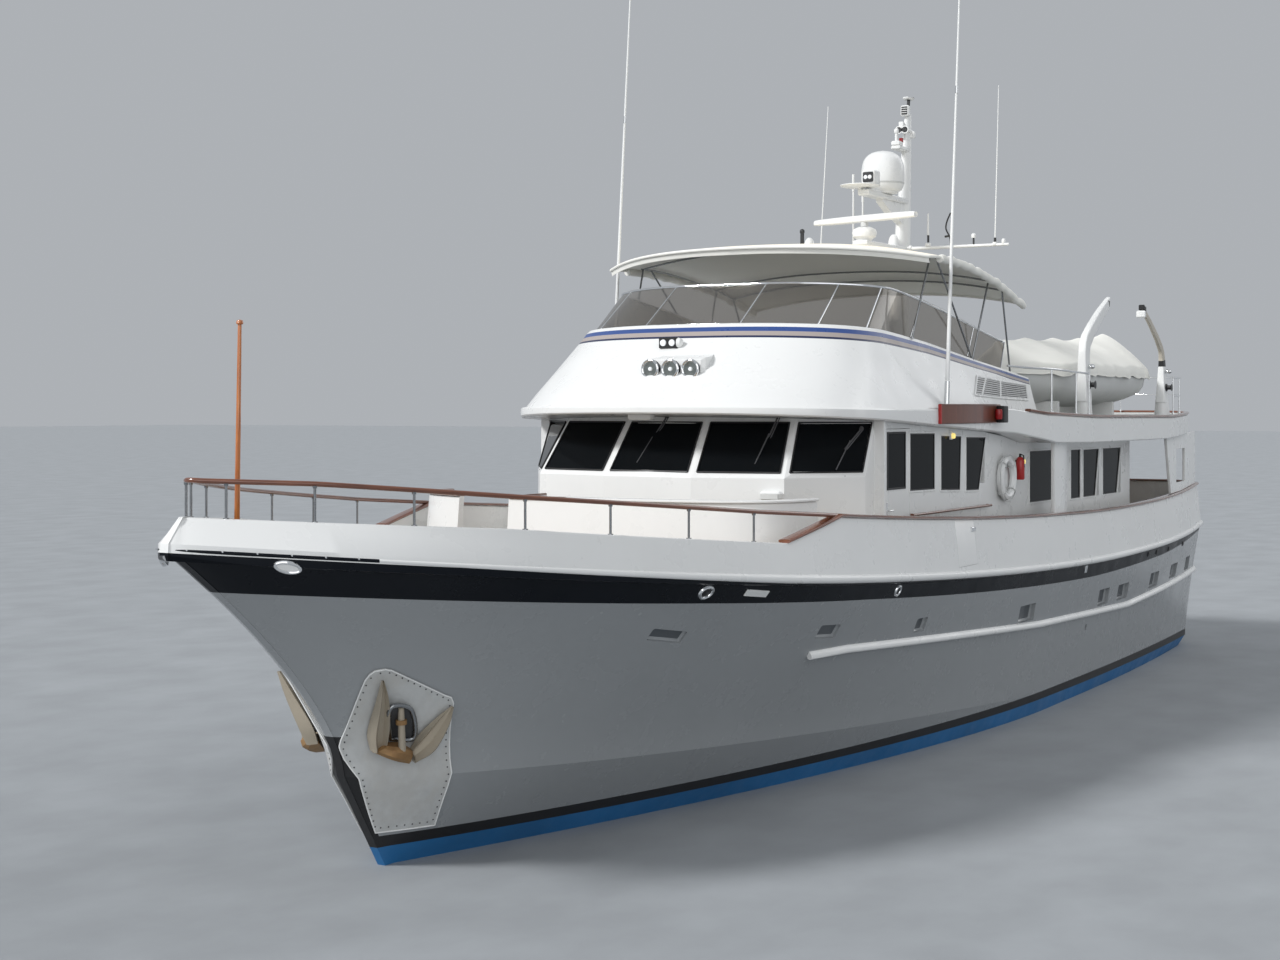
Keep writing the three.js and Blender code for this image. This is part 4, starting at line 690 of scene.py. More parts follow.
def weathered(name, colour, stain, share, metal):
    """Galvanised or cast metal: a mottled skin with rust-brown stains and a rough cast relief."""
    r = Recipe(name)
    mottle = r.noise(r.where(), 9, 8, 0.65)
    patches = r.noise(r.where((1, 1, 0.5)), 3.5, 6, 0.6, 0.4)
    tone = r.blend(mottle, darker(colour, 0.7), colour)
    tone = r.blend(r.ramp(patches, (0.42, 0.0), (0.62, share)), tone, stain)
    rough = r.ramp(mottle, (0.3, 0.45), (0.8, 0.85))
    return r.shade(Base_Color=tone, Metallic=metal, Roughness=rough, Normal=r.bump(mottle, 0.5, 0.006))


def glazed(name, tint, clear, shine):
    """Tinted glass: near black with a mirror gloss, or let through by its transmission. The near-black kind
    lets nothing through, and its dark is partly painted shade, the shade of the cabin behind it.
    """
    r = Recipe(name)
    film = r.noise(r.where(), 3, 4)
    rough = r.ramp(film, (0.35, 0.015), (0.8, 0.05))
    wave = r.bump(r.noise(r.where(), 1.7, 1), 0.03, 0.01)
    return r.shade(Base_Color=tint, Roughness=rough, IOR=1.5, Transmission_Weight=clear, Normal=wave,
                   Specular_IOR_Level=shine)


def woven(name, colour, painted_glow=0.0):
    """Canvas: crossing threads in relief from two waves, soft folds of tone and a little soil. Given a
    strength, the cloth gives off an emission of its own tone: painted light that stands in for the light that
    comes through the cloth."""
    thread, soil = 0.0022, 0.12
    r = Recipe(name)
    warp, weft = (r.add("ShaderNodeTexWave", {"Vector": r.where(surface=True), "Scale": 0.16 / thread},
                        bands_direction=way).outputs["Fac"] for way in "XY")
    soiled = r.noise(r.where((0.7, 0.7, 1.2)), 1.8, 7, 0.6)
    tone = r.blend(r.ramp(soiled, (0.35, 0), (0.75, 1)), colour, darker(colour, 1 - soil))
    weave = r.blend(0.5, warp, weft)
    folds = r.noise(r.where(), 3.2, 3)
    normal = r.bump(weave, 0.25, thread, r.bump(folds, 0.35, 0.02))
    return r.shade(Base_Color=tone, Roughness=0.88, Sheen_Weight=0.25, Sheen_Roughness=0.5,
                   Normal=normal, Emission_Color=tone, Emission_Strength=painted_glow)


def hide(name, colour):
    """Marine upholstery: the fine pebble of coated cloth with soft wear."""
    r = Recipe(name)
    cells = r.add("ShaderNodeTexVoronoi", {"Vector": r.where(), "Scale": 260}).outputs["Distance"]
    worn = r.noise(r.where(), 3, 5)
    tone = r.blend(r.ramp(worn, (0.4, 0), (0.8, 1)), colour, darker(colour, 0.82))
    return r.shade(Base_Color=tone, Roughness=0.5, Normal=r.bump(cells, 0.3, 0.0015))


def moulded(name, colour, gloss=0.45):
    """Moulded plastic or rubber with a faint grain."""
    r = Recipe(name)
    grain = r.noise(r.where(), 120, 3)
    tone = r.blend(r.noise(r.where(), 5, 5), darker(colour, 0.85), colour)
    return r.shade(Base_Color=tone, Roughness=gloss, Normal=r.bump(grain, 0.12, 0.001))


def lit(name, colour, strength):
    """A lamp's lens with a ribbed relief and a little light of its own."""
    r = Recipe(name)
    ribs = r.add("ShaderNodeTexWave", {"Vector": r.where(), "Scale": 40.0},
                 bands_direction="X").outputs["Fac"]
    return r.shade(Base_Color=colour, Roughness=0.12, Emission_Color=colour, Emission_Strength=strength,
                   Normal=r.bump(ribs, 0.3, 0.002))


# Each finish: how it is made, its colour or the name of a colour that the user sets, and what the
# making takes after the colour
FINISHES = {
    "topsides": (sprayed, "topsides", 0.24, 0.3, 0.05, 0.04),
    "band": (sprayed, "band", 0.3, 0.0, 0.2, 0.0, 0.02, 0.12),
    "bottom": (sprayed, "bottom", 0.5, 0.0, 0.3, 0.35, 0.2),
    "white": (sprayed, "house", 0.3, 0.2, 0.04, 0.025),
    "shade_white": (sprayed, (0.62, 0.63, 0.62), 0.5, 0.0, 0.08),
    "blue_stripe": (sprayed, (0.03, 0.075, 0.26), 0.3),
    "taupe_stripe": (sprayed, (0.4, 0.35, 0.33), 0.35),
    "navy_stripe": (sprayed, (0.012, 0.02, 0.07), 0.3),
    "deck_grit": (antislip, (0.66, 0.66, 0.63)),
    "teak": (planked, "teak"),
    "varnish": (varnished, "varnish", (0.085, 0.022, 0.009)),
    "board": (varnished, (0.2, 0.065, 0.035), (0.1, 0.03, 0.018), 0.3),
    "pole": (varnished, (0.62, 0.21, 0.045), (0.35, 0.09, 0.02)),
    "stainless": (polished, (0.72, 0.73, 0.74)),
    "bronze": (weathered, (0.55, 0.36, 0.15), (0.12, 0.2, 0.14), 0.45, 0.9),
    "galvanised": (weathered, (0.5, 0.42, 0.28), (0.24, 0.13, 0.05), 0.7, 0.15),
    "rusted": (weathered, (0.34, 0.2, 0.08), (0.16, 0.07, 0.03), 0.6, 0.2),
    "plate_steel": (weathered, (0.66, 0.67, 0.66), (0.5, 0.48, 0.44), 0.4, 0.25),
    # Window glass lets nothing through: its near black is a dark tint with the shade of the cabin behind it
    # painted in.
    "glass": (glazed, (0.005, 0.006, 0.007), 0.0, 0.05),
    "port_glass": (glazed, (0.09, 0.1, 0.11), 0.0, 0.6),
    "smoked": (glazed, (0.4, 0.37, 0.33), 0.97, 0.3),
    "canvas": (woven, "canvas"),
    # The canvas for the bimini's under side: a lighter, warmer copy of the canvas with emission, painted
    # light for what the cloth lets through.
    "canvas_under": (woven, (0.9, 0.83, 0.68), 0.34),
    "upholstery": (hide, (0.62, 0.54, 0.43)),
    "brown_hide": (hide, (0.14, 0.075, 0.045)),
    "black": (moulded, (0.012, 0.012, 0.013)),
    "rail_steel": (polished, (0.3, 0.31, 0.32), 0.2),
    "reflector": (polished, (0.34, 0.36, 0.34), 0.14),
    "chrome": (polished, (0.86, 0.87, 0.88), 0.08),
    "charcoal": (sprayed, (0.035, 0.036, 0.038), 0.4, 0.0, 0.2),
    "beige": (sprayed, (0.5, 0.46, 0.39), 0.45, 0.0, 0.1),
    "grey_rubber": (moulded, (0.1, 0.1, 0.105), 0.6),
    "red_paint": (moulded, (0.42, 0.02, 0.018), 0.3),
    "green_paint": (moulded, (0.01, 0.18, 0.06), 0.3),
    "red_lens": (lit, (0.28, 0.008, 0.01), 0.05),
    "green_lens": (lit, (0.008, 0.22, 0.08), 0.05),
    "clear_lens": (lit, (0.8, 0.82, 0.84), 0.1),
    "warm_lens": (lit, (0.95, 0.72, 0.22), 0.8),
    "joinery": (varnished, (0.3, 0.13, 0.05), (0.1, 0.04, 0.015)),
    "floor": (antislip, "floor"),
}


def paint(name):
    """The named finish, made the first time that it is asked for."""
    making, colour, *rest = FINISHES[name]
    if isinstance(colour, str):
        colour = tuple(getattr(bpy.context.scene.yacht_colours, colour))
    return bpy.data.materials.get(name) or making(name, colour, *rest)


# Sizes and colours that a user may change
class YachtSizes(bpy.types.PropertyGroup):
    """Sizes of the yacht's finishing pieces."""
    guard_radius: bpy.props.FloatProperty(
        name="Guard radius", description="Radius of the half-round guard on the knuckle",
        default=0.058, min=0.03, max=0.09, unit="LENGTH")
    cap_width: bpy.props.FloatProperty(
        name="Cap width", description="Breadth of the varnished cap on the bulwark",
        default=0.18, min=0.14, max=0.24, unit="LENGTH")
    plank: bpy.props.FloatProperty(
        name="Plank", description="Breadth of a teak deck plank", default=0.06, min=0.03, max=0.12,
        unit="LENGTH")
    frame_width: bpy.props.FloatProperty(
        name="Window frame", description="Breadth of the raised frame round a side window",
        default=0.035, min=0.02, max=0.06, unit="LENGTH")


class YachtColours(bpy.types.PropertyGroup):
    """Colours of the yacht's finishes."""
    # The topsides' mid grey is partly a grey paint and partly painted shade: it is darkened to stand for the
    # shade that the flare casts on the hull.
    topsides: bpy.props.FloatVectorProperty(
        name="Topsides", description="Colour of the hull above the boot top", subtype="COLOR",
        default=(0.3, 0.315, 0.325), min=0, max=1)
    band: bpy.props.FloatVectorProperty(
        name="Band", description="Colour of the dark band below the knuckle", subtype="COLOR",
        default=(0.006, 0.008, 0.012), min=0, max=1)
    bottom: bpy.props.FloatVectorProperty(
        name="Bottom", description="Colour of the paint below the boot top", subtype="COLOR",
        default=(0.02, 0.17, 0.42), min=0, max=1)
    house: bpy.props.FloatVectorProperty(
        name="House", description="Colour of the deckhouse and the bulwark", subtype="COLOR",
        default=(0.8, 0.805, 0.795), min=0, max=1)
    teak: bpy.props.FloatVectorProperty(
        name="Teak", description="Colour of the laid deck", subtype="COLOR",
        default=(0.4, 0.28, 0.17), min=0, max=1)
    varnish: bpy.props.FloatVectorProperty(
        name="Varnish", description="Colour of the varnished rails and boards", subtype="COLOR",
        default=(0.24, 0.075, 0.03), min=0, max=1)
    canvas: bpy.props.FloatVectorProperty(
        name="Canvas", description="Colour of the bimini and the tender's cover", subtype="COLOR",
        default=(0.74, 0.72, 0.67), min=0, max=1)
    floor: bpy.props.FloatVectorProperty(
        name="Floor", description="Colour of the studio floor", subtype="COLOR",
        default=(0.36, 0.38, 0.4), min=0, max=1)


# Runs along the ship's side
def rim(s0, s1, transom=False):
    """The knuckle in plan on the port side between two stations, and round the stern to the
    centre line where asked: breadths, stations and the outward direction at each. The bow is
    sampled with the square of the fraction and the stern corner by its angle."""
    bow = STEM_TIP_S + 8.9 * np.linspace(0, 1, 72) ** 2
    corner = STERN_S - STERN_CORNER_R * (1 - np.sin(np.linspace(0, math.pi / 2, 16)))
    marks = [s0, s1, GUARD_TURN_S, RAMP_START_S, RAISED_BULWARK_S]
    s = np.unique(np.concatenate([bow, np.arange(5.75, 24.6, 0.25), corner, marks]).round(6))
    slack, step, across = 1e-5, 0.002, 7
    s = s[(s >= s0 - slack) & (s <= s1 + slack)]

    def half(s):
        """Half-breadth at the knuckle with the stern's corner cut."""
        return knuckle_half(s) - corner_cut(STERN_S - s)

    x = np.maximum(STEM_HALF, half(s))
    before, after = np.maximum(s - step, STEM_TIP_S), np.minimum(s + step, STERN_S)
    normal = np.stack([after - before, half(before) - half(after)], -1)
    if transom:
        x = np.concatenate([x, x[-1] * (1 - np.arange(1, across + 1) / across)])
        s = np.concatenate([s, np.full(across, s[-1])])
        normal = np.concatenate([normal[:-1], np.tile([0.0, 1.0], (across + 1, 1))])
    return x, s, normed(normal)


def along_rim(s0, s1, profile, transom=False, finish=0, bow=False):
    """A profile of (out, z) columns, given as a function of the stations, carried along the rim.
    What would cross the centre line at the bow is held on it. With bow, the run goes round the
    stem and back along the other side."""
    x, s, normal = rim(s0, s1, transom)
    out, z = (np.stack([v * np.ones_like(s) for v in values], 1) for values in zip(*profile(s)))
    breadth = np.maximum(x[:, None] + out * normal[:, :1], 0.003 if bow else 0)
    rings = at(breadth, s[:, None] + out * normal[:, 1:], z)
    return swept(np.concatenate([rings[::-1] * (-1, 1, 1), rings]) if bow else rings, finish=finish)


BULWARK_FINISH = np.array([1, 1, 0, 0, 0, 0, 0, 0, 0, 0])


def bulwark_profile(top=None, foot=None):
    """The bulwark's section: its foot laps the knuckle, and its sides lean in to the top. A top or
    a foot at one height cuts it there."""
    def profile(s):
        zk, lean, full = knuckle_z(s), bulwark_lean(s), bulwark_top_z(s)
        head = full if top is None else np.minimum(full, top)
        low = zk - mix(0.078, 0.145, unit((s - STEM_TIP_S) / 0.7)) if foot is None else foot
        lap = 0.004 if foot is None else 0
        base = zk + 0.04

        def outer(z, out=0.0):
            """The outer side: it leans in evenly with height above its base."""
            return out - lean * unit((z - base) / (full - base)), z

        def inner(z, out=0.0):
            """The inner side, a thickness inboard at the top."""
            return out + mix(-0.115, -lean - BULWARK_THICK, unit((z - base) / (full - base))), z

        return [outer(low, -0.04), outer(np.maximum(low, zk - 0.129), lap),
                outer(np.maximum(low, zk - 0.05), lap * 1.5), outer(np.maximum(low, base)),
                outer(mix(base, head, 0.98)), outer(head, -0.012), inner(head, 0.012),
                inner(mix(zk, head, 0.98)), inner(np.maximum(low, zk - 0.072)), inner(low)]
    return profile


def cap_profile(half):
    """A cap's section on the bulwark: a superellipse of power 3.3."""
    thick = 0.045

    def profile(s):
        middle = -bulwark_lean(s) - BULWARK_THICK / 2
        return [(middle + half * a, bulwark_top_z(s) + thick / 2 * (1 + b))
                for a, b in zip(*superellipse(14, 0.6))]
    return profile


def guard_profile(radius, drop):
    """A half-round section with its middle a drop below the knuckle, slimmer towards the bow."""
    def profile(s):
        share = unit((s - GUARD_TURN_S) / 5.6)
        high, middle = mix(0.02, radius, share), knuckle_z(s) - mix(0.022, drop, share)
        proud = high * mix(0.35, 1, unit((s - STEM_TIP_S) / 0.5))
        arc = [(proud * a - 0.004, middle + high * b) for a, b in half_round(1, 1)]
        return arc + [(-0.03, middle)]
    return profile


# Openings and fittings of the topsides. Ports: (s, s, z, z, depth). Holes: (s, z, half width,
# half height). Fairleads: (s, z, half width, half height, bar, lift, finish inside).
# Plates: (s, z, width, height, finish)
PORTS = [(2.09, 2.71, 2.41, 2.59, 0.06), (5.39, 5.89, 2.15, 2.36, 0.06), (8.28, 8.64, 1.96, 2.18, 0.07),
         (12.42, 13.16, 1.69, 1.98, 0.1), (16.7, 17.34, 1.585, 1.89, 0.1), (17.92, 18.63, 1.58, 1.88, 0.1),
         (20.17, 20.84, 1.62, 1.93, 0.1), (21.87, 22.52, 1.68, 1.98, 0.1), (23.43, 23.97, 1.73, 2.02, 0.1)]
HULL_HOLES = [(16.19, 1.26, 0.055, 0.055)]
FAIRLEADS = [(-2.56, 3.615, 0.13, 0.05, 0.02, 0.012, 2), (2.52, 3.03, 0.1, 0.085, 0.024, 0, 1),
             (7.2, 2.68, 0.075, 0.07, 0.02, 0, 1)]
BAND_PLATES = [(3.46, 2.95, 0.46, 0.1, 2), (15.59, 2.36, 0.12, 0.14, 0), (19.67, 2.345, 0.12, 0.09, 1),
               (20.29, 2.345, 0.12, 0.09, 1), (21.28, 2.345, 0.12, 0.09, 1), (22.68, 2.36, 0.12, 0.09, 1)]
BOOT_TOP_Z = (0.23, 0.37)
HULL_SHARP = 11


def half_round(high, proud, sink=0.0):
    """Nine points of a half-round section: out and up from its middle."""
    return [(proud * math.cos(a) - sink, high * math.sin(a)) for a in np.linspace(-0.5, 0.5, 9) * math.pi]


class YACHT_OT_hull(bpy.types.Operator):
    """Hull: stations carry rows of heights from the keel to the knuckle. Topsides run straight from
    waterline to chine, then flare with a power law. The bottom is a curve through bilge and
    garboard. A row's height sets its paint, and the stem's columns stay dark."""
    bl_idname = "yacht.hull"
    bl_label = "Hull"

    def execute(self, context):
        corner = 1 - 0.0315 * (1 - np.sin(np.linspace(0, math.pi / 2, 14)))
        self.openings(self.skin(corner))
        self.guard(corner)
        self.stern_gear()
        return {"FINISHED"}

    def skin(self, corner):
        """The hull's skin, its finishes 0 topsides, 1 band, 2 black and 3 bottom."""
        t = np.concatenate([np.linspace(0, 1, 40)[:-1] ** 1.8 * 0.3, np.linspace(0.3, 0.9685, 64)[:-1],
                            corner])
        t = np.unique(t.round(7))[:, None]
        top_s, keel_s, garboard_s, bilge_s = (line_at(name, t)
                                              for name in ("knuckle", "keel", "garboard", "bilge"))
        band = np.interp(top_s, [-3.4, 2, 6, 16, 21, 25.6], [0.5, 0.42, 0.375, 0.36, 0.3, 0.17])
        boot = BOOT_TOP_Z[1]
        zc = np.maximum(chine_z(line_at("chine", t)), boot + 0.001)
        zk = knuckle_z(top_s)
        up = [np.full_like(t, z) for z in (0.0, 0.1, *BOOT_TOP_Z)]
        up += [mix(boot, zc, f) for f in (0.5, 1.0)]
        up += [mix(zc, zk - band, f) for f in np.linspace(0, 1, 15)[1:]]
        up += [zk - band * 0.5, zk - 0.02]
        z = np.concatenate(up, 1)
        side = side_point(np.broadcast_to(t, z.shape), z)
        bilge = np.maximum(0.06, 0.8 * trimmed("bilge", water_half, t))
        control = [at(0.12, garboard_s, canoe_z(garboard_s)), at(bilge, bilge_s, 0.62 * canoe_z(bilge_s)),
                   side[:, :1], side[:, 4:5]]
        under = smooth_through(np.stack([row[:, 0] for row in control]), 5)[:10]
        bottom = np.concatenate([at(0.11, keel_s, keel_z(keel_s)),
                                 at(0.115, mix(keel_s, garboard_s, 0.5),
                                    mix(keel_z(keel_s), canoe_z(garboard_s), 0.5)),
                                 under.transpose(1, 0, 2)], 1)
        lip = at(np.maximum(side[:, -1:, 0] - 0.11, 0.004), side[:, -1:, 1] + MID_S, zk - 0.135)
        port = np.concatenate([bottom, side, lip], 1)
        rings = np.concatenate([port, port[:, ::-1] * (-1, 1, 1)], 1)
        below = bottom.shape[1]
        paints = np.zeros((len(t) - 1, port.shape[1]), int)
        paints[:, :below + 2] = 3
        paints[:, below + 2] = 2
        paints[:, below + side.shape[1] - 3:] = 1
        middle = 0.5 * (port[:-1] + port[1:])
        middle[:, :-1] = 0.5 * (middle[:, :-1] + middle[:, 1:])
        height = middle[..., 2]
        from_stem = middle[..., 1] - side_point(np.zeros_like(height), np.maximum(height, 0))[..., 1]
        dark_top = 1.57
        dark = (height > BOOT_TOP_Z[0]) & (height < dark_top) & (from_stem < mix(0.03, 0.17,
            height / dark_top))
        paints[dark] = 2
        marks = np.concatenate([paints, np.roll(paints[:, ::-1], -1, 1)], 1)
        return make("hull_skin", [swept(rings, finish=marks)], "topsides band black bottom",
                    replaces=["hull"], sharp=HULL_SHARP)

    def openings(self, skin):
        """Ports and holes cut in the skin, the ports' panes, and what is fixed round openings."""
        knives, panes, fairleads = [], [], []
        for s0, s1, z0, z1, deep in PORTS:
            centre, out = side_at(np.array((s0 + s1) / 2), np.array((z0 + z1) / 2))
            half = np.array([s1 - s0, z1 - z0]) / 2
            knives.append(oriented(block((*-half, -deep), (*half, 0.08), 0.03), centre, out))
            panes.append(oriented(block((*-half - 0.01, -deep - 0.02), (*half + 0.01, -deep + 0.006)),
                                  centre, out))
        for s, z, wide, high in HULL_HOLES:
            knives.append(oriented(disc(wide, high, -0.06, 0.06), *side_at(np.array(s), np.array(z))))
        carve(skin, both(knives), HULL_SHARP)
        make("hull_ports", both(panes), "port_glass")
        for s, z, wide, high, bar, lift, inside in FAIRLEADS:
            centre, out = side_at(np.array(s), np.array(z))
            if lift:
                x, _, normal = rim(s, s + 0.01)
                centre, out = at(x[0], s, z), np.array([*normal[0], -0.3])
            fairleads += [oriented(patch, centre + out * lift, out) for patch in
                          (oval(wide, high, bar), disc(wide, high, -0.03 - lift, 0.006, inside),
                           disc(wide + bar * 0.8, high + bar * 0.8, -0.03 - lift, 0.003))]
        for s, z, wide, high, finish in BAND_PLATES:
            sheet = block((-wide / 2, -high / 2, -0.03), (wide / 2, high / 2, 0.014), 0.006, finish)
            fairleads.append(oriented(sheet, *side_at(np.array(s), np.array(z))))
        make("hull_fairleads", both(fairleads), "chrome black white")

    def guard(self, corner):
        """The rub guard: a half-round carried along its height on the topsides, round the stern."""
        run = np.concatenate([np.linspace(0.263, 0.9685, 100)[:-1], corner])
        height, rise = guard_z(line_at("knuckle", run)), 0.05
        middle = side_point(run, height)
        out = normed(np.cross(np.gradient(middle, axis=0),
                              side_point(run, height + rise) - side_point(run, height - rise)))
        out *= np.sign(out[:, :1] + out[:, 1:2])
        ring = [middle + out * a + (0, 0, b) for a, b in half_round(0.06, 0.078, 0.006) + [(-0.04, 0)]]
        make("hull_guard", both([swept(np.stack(ring, 1))]), "white")

    def stern_gear(self):
        """Shaft logs and the struts that hold the shafts."""
        gear = []
        for side in (1, -1):
            a, b = (np.array(end) * (side, 1, 1) for end in SHAFT_LINE)
            gear += [rod(a + (a - b) * 0.3, b, 0.042), rod(mix(a, b, 0.9), mix(a, b, 0.965), 0.085)]
            foot = mix(a, b, 0.93)
            gear += [pipe([foot, foot + (lean, 0, 0.62)], [0.055, 0.06], 12, squeeze=0.35)
                     for lean in (-0.45, 0.45)]
        make("stern_gear", gear, "bronze")


class YACHT_OT_bulwark(bpy.types.Operator):
    """Bulwark, knuckle guard and side gates: one section carried along the rim, with a gate leaf on
    each side between its own two stations."""
    bl_idname = "yacht.bulwark"
    bl_label = "Bulwark and gates"

    def execute(self, context):
        sizes = context.scene.yacht_sizes
        lo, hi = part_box("bulwark_gate_port")
        fore = along_rim(STEM_TIP_S, GATE_S[0], bulwark_profile(), finish=BULWARK_FINISH, bow=True)
        after = along_rim(GATE_S[1], STERN_S, bulwark_profile(), True, BULWARK_FINISH)
        below = along_rim(*GATE_S, bulwark_profile(top=lo.z - 0.004), finish=BULWARK_FINISH)
        make("bulwark_skin", [fore] + both([after, below]), "white band", replaces=["bulwark"], sharp=30)
        profile = guard_profile(sizes.guard_radius, 0.056)
        white = along_rim(GUARD_TURN_S, STERN_S, profile, True)
        rubber = along_rim(STEM_TIP_S + 0.02, GUARD_TURN_S, profile, finish=1, bow=True)
        x, s, normal = rim(STEM_TIP_S + 0.05, GUARD_TURN_S)
        gone = run_of(np.stack([x, s], 1))
        place = np.arange(0.1, gone[-1], 0.34)
        heads = []
        for px, ps, nx, ns in zip(*(np.interp(place, gone, v) for v in (x, s, *normal.T))):
            centre = at(px + 0.02 * nx, ps + 0.02 * ns, knuckle_z(ps) - 0.012)
            heads.append(rod(centre, centre + 0.014 * np.array([nx, ns, 0]), 0.012, 0.008, 8, 2))
        make("knuckle_guard", [rubber] + both([white] + heads), "white band chrome")
        span = GATE_S[0] + 0.006, GATE_S[1] - 0.006
        leaf = [along_rim(*span, bulwark_profile(foot=lo.z)),
                along_rim(*span, cap_profile(sizes.cap_width / 2), finish=1)]
        leaf += [slab((3.31, GATE_S[1] - 0.16, z), (3.36, GATE_S[1] + 0.012, z + 0.06), 0.006, 2)
                 for z in (lo.z + 0.12, hi.z - 0.26)]
        for side, patches in each_side(leaf):
            body = "bulwark_gate_" + side
            make(body + "_leaf", patches, "white varnish stainless", body, [body])
        return {"FINISHED"}


class YACHT_OT_cap_rails(bpy.types.Operator):
    """Varnished caps: a superellipse section carried along the bulwark's top, in three runs that
    leave the gates free."""
    bl_idname = "yacht.cap_rails"
    bl_label = "Varnished caps"

    def execute(self, context):
        profile = cap_profile(context.scene.yacht_sizes.cap_width / 2)
        for side, patches in each_side([along_rim(RAMP_START_S, GATE_S[0], profile)]):
            make("cap_" + side, patches, "varnish", replaces=["cap_rail_" + side])
        make("cap_aft", both([along_rim(GATE_S[1], STERN_S, profile, True)]), "varnish",
             replaces=["cap_rail_aft"])
        return {"FINISHED"}


class YACHT_OT_foredeck(bpy.types.Operator):
    """Foredeck: the breastwork is one section carried along a smooth curve through its corners, with
    caps, and the bow rail is a tube on stanchions that stand on the bulwark's top."""
    bl_idname = "yacht.foredeck"
    bl_label = "Foredeck"

    def execute(self, context):
        dress("main_deck", "teak", 0)
        dress("hatch_lid", "white", 0.012)
        dress("windlass", "stainless", 0.012)
        dress("breastwork_gate", "white", 0.006)
        self.breastwork()
        self.bow_rail()
        self.jackstaff()
        return {"FINISHED"}

    def breastwork(self):
        """Wall and caps: sections (out, z) carried along a curve (x, s), in two runs beside the
        gate, and a cap on the gate."""
        corners = [(3.06, 5.25), (2.88, 4.6), (2.35, 4.12), (1.4, 3.86)]
        line = smooth_through(corners + [(0, 3.78)] + [(-x, s) for x, s in corners[::-1]], 14)
        t = normed(np.gradient(line, axis=0))
        across = np.stack([t[:, 1], -t[:, 0]], 1)
        wall = [(0.0, 2.95), (0.085, 3.975), (0.1, 3.99), (0.165, 3.99), (0.172, 3.975), (0.1, 2.95)]
        cap = [(0.13 + 0.085 * a, 4.008 + 0.021 * b) for a, b in zip(*superellipse(12, 0.6))]

        def run(part, profile, finish=0):
            """A profile carried along a part of the curve."""
            out, z = np.array(profile).T
            x, s = (line[part][:, k, None] + across[part][:, k, None] * out for k in (0, 1))
            return swept(at(x, s, z), finish=finish)

        port, starboard = np.nonzero(line[:, 0] >= -1.0)[0], np.nonzero(line[:, 0] <= -1.85)[0]
        lugs = [slab((-1.0, 3.99, z), (-0.96, 4.03, z + 0.07), 0.004, 2) for z in (3.33, 3.85)]
        make("breastwork_wall", [run(port, wall), run(starboard, wall), run(port[:-9], cap),
                                 run(port[-10:], cap, 1), run(starboard, cap, 1)] + lugs,
             "white varnish stainless", replaces=["breastwork"])
        lo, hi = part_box("breastwork_gate")
        make("breastwork_gate_cap", [block((lo.x + 0.002, lo.y + 0.06, hi.z - 0.006),
                                           (hi.x - 0.002, hi.y + 0.006, hi.z + 0.03), 0.01)],
             "varnish", "breastwork_gate")

    def bow_rail(self):
        """A tube over the middle of the bulwark's top, eased by weights of 1, 2 and 1, and its posts."""
        heights = [(-3.3, 4.48), (-3.1, 4.47), (-2.3, 4.43), (-0.1, 4.23), (3.4, 3.94), (5.24, 3.815)]
        x, s, normal = rim(STEM_TIP_S, heights[-1][0])
        inset = -bulwark_lean(s) - BULWARK_THICK / 2
        px, ps = np.maximum(x + inset * normal[:, 0], 0), s + inset * normal[:, 1]
        keep = px > 0.04
        path = at(px[keep], ps[keep], table(heights, s[keep]))[::-1]
        nose = at(0, ps[keep].min() - 0.03, 4.485)[None]
        whole = np.concatenate([path, nose, path[::-1] * (-1, 1, 1)])
        smooth = whole.copy()
        smooth[1:-1] = 0.25 * whole[:-2] + 0.5 * whole[1:-1] + 0.25 * whole[2:]
        posts = []
        for station in (-3.0, -2.3, -1.4, -0.2, 0.9, 2.1, 3.3):
            place = np.interp(station, s, px), np.interp(station, s, ps)
            foot, head = at(*place, bulwark_top_z(station) - 0.01), at(*place, table(heights, station))
            posts += [rod(foot, head, 0.0145), rod(foot, foot + (0, 0, 0.02), 0.034, 0.03, 14),
                      rod(head - (0, 0, 0.045), head - (0, 0, 0.02), 0.022, 0.026, 12)]
        make("bow_rail_tube", [pipe(smooth, 0.027, 12, finish=1)] + both(posts), "rail_steel varnish",
             replaces=["bow_rail"])

    def jackstaff(self):
        """The staff with its truck and its collar."""
        foot, head = at(0, -2.38, knuckle_z(-2.38) - 0.09), at(0, -2.33, 6.08)
        truck = lathe([(0, 0), (0.032, 0.004), (0.038, 0.02), (0.03, 0.045), (0, 0.055)], head
                      - (0, 0, 0.022))
        collar = lathe([(0, 0), (0.06, 0), (0.06, 0.012), (0.042, 0.03), (0.04, 0.22), (0, 0.22)],
                       foot + (0, 0, 0.08), finish=1)
        make("jackstaff_pole", [rod(foot, head, 0.031, 0.02, 16), truck, collar], "pole stainless",
             replaces=["jackstaff"])


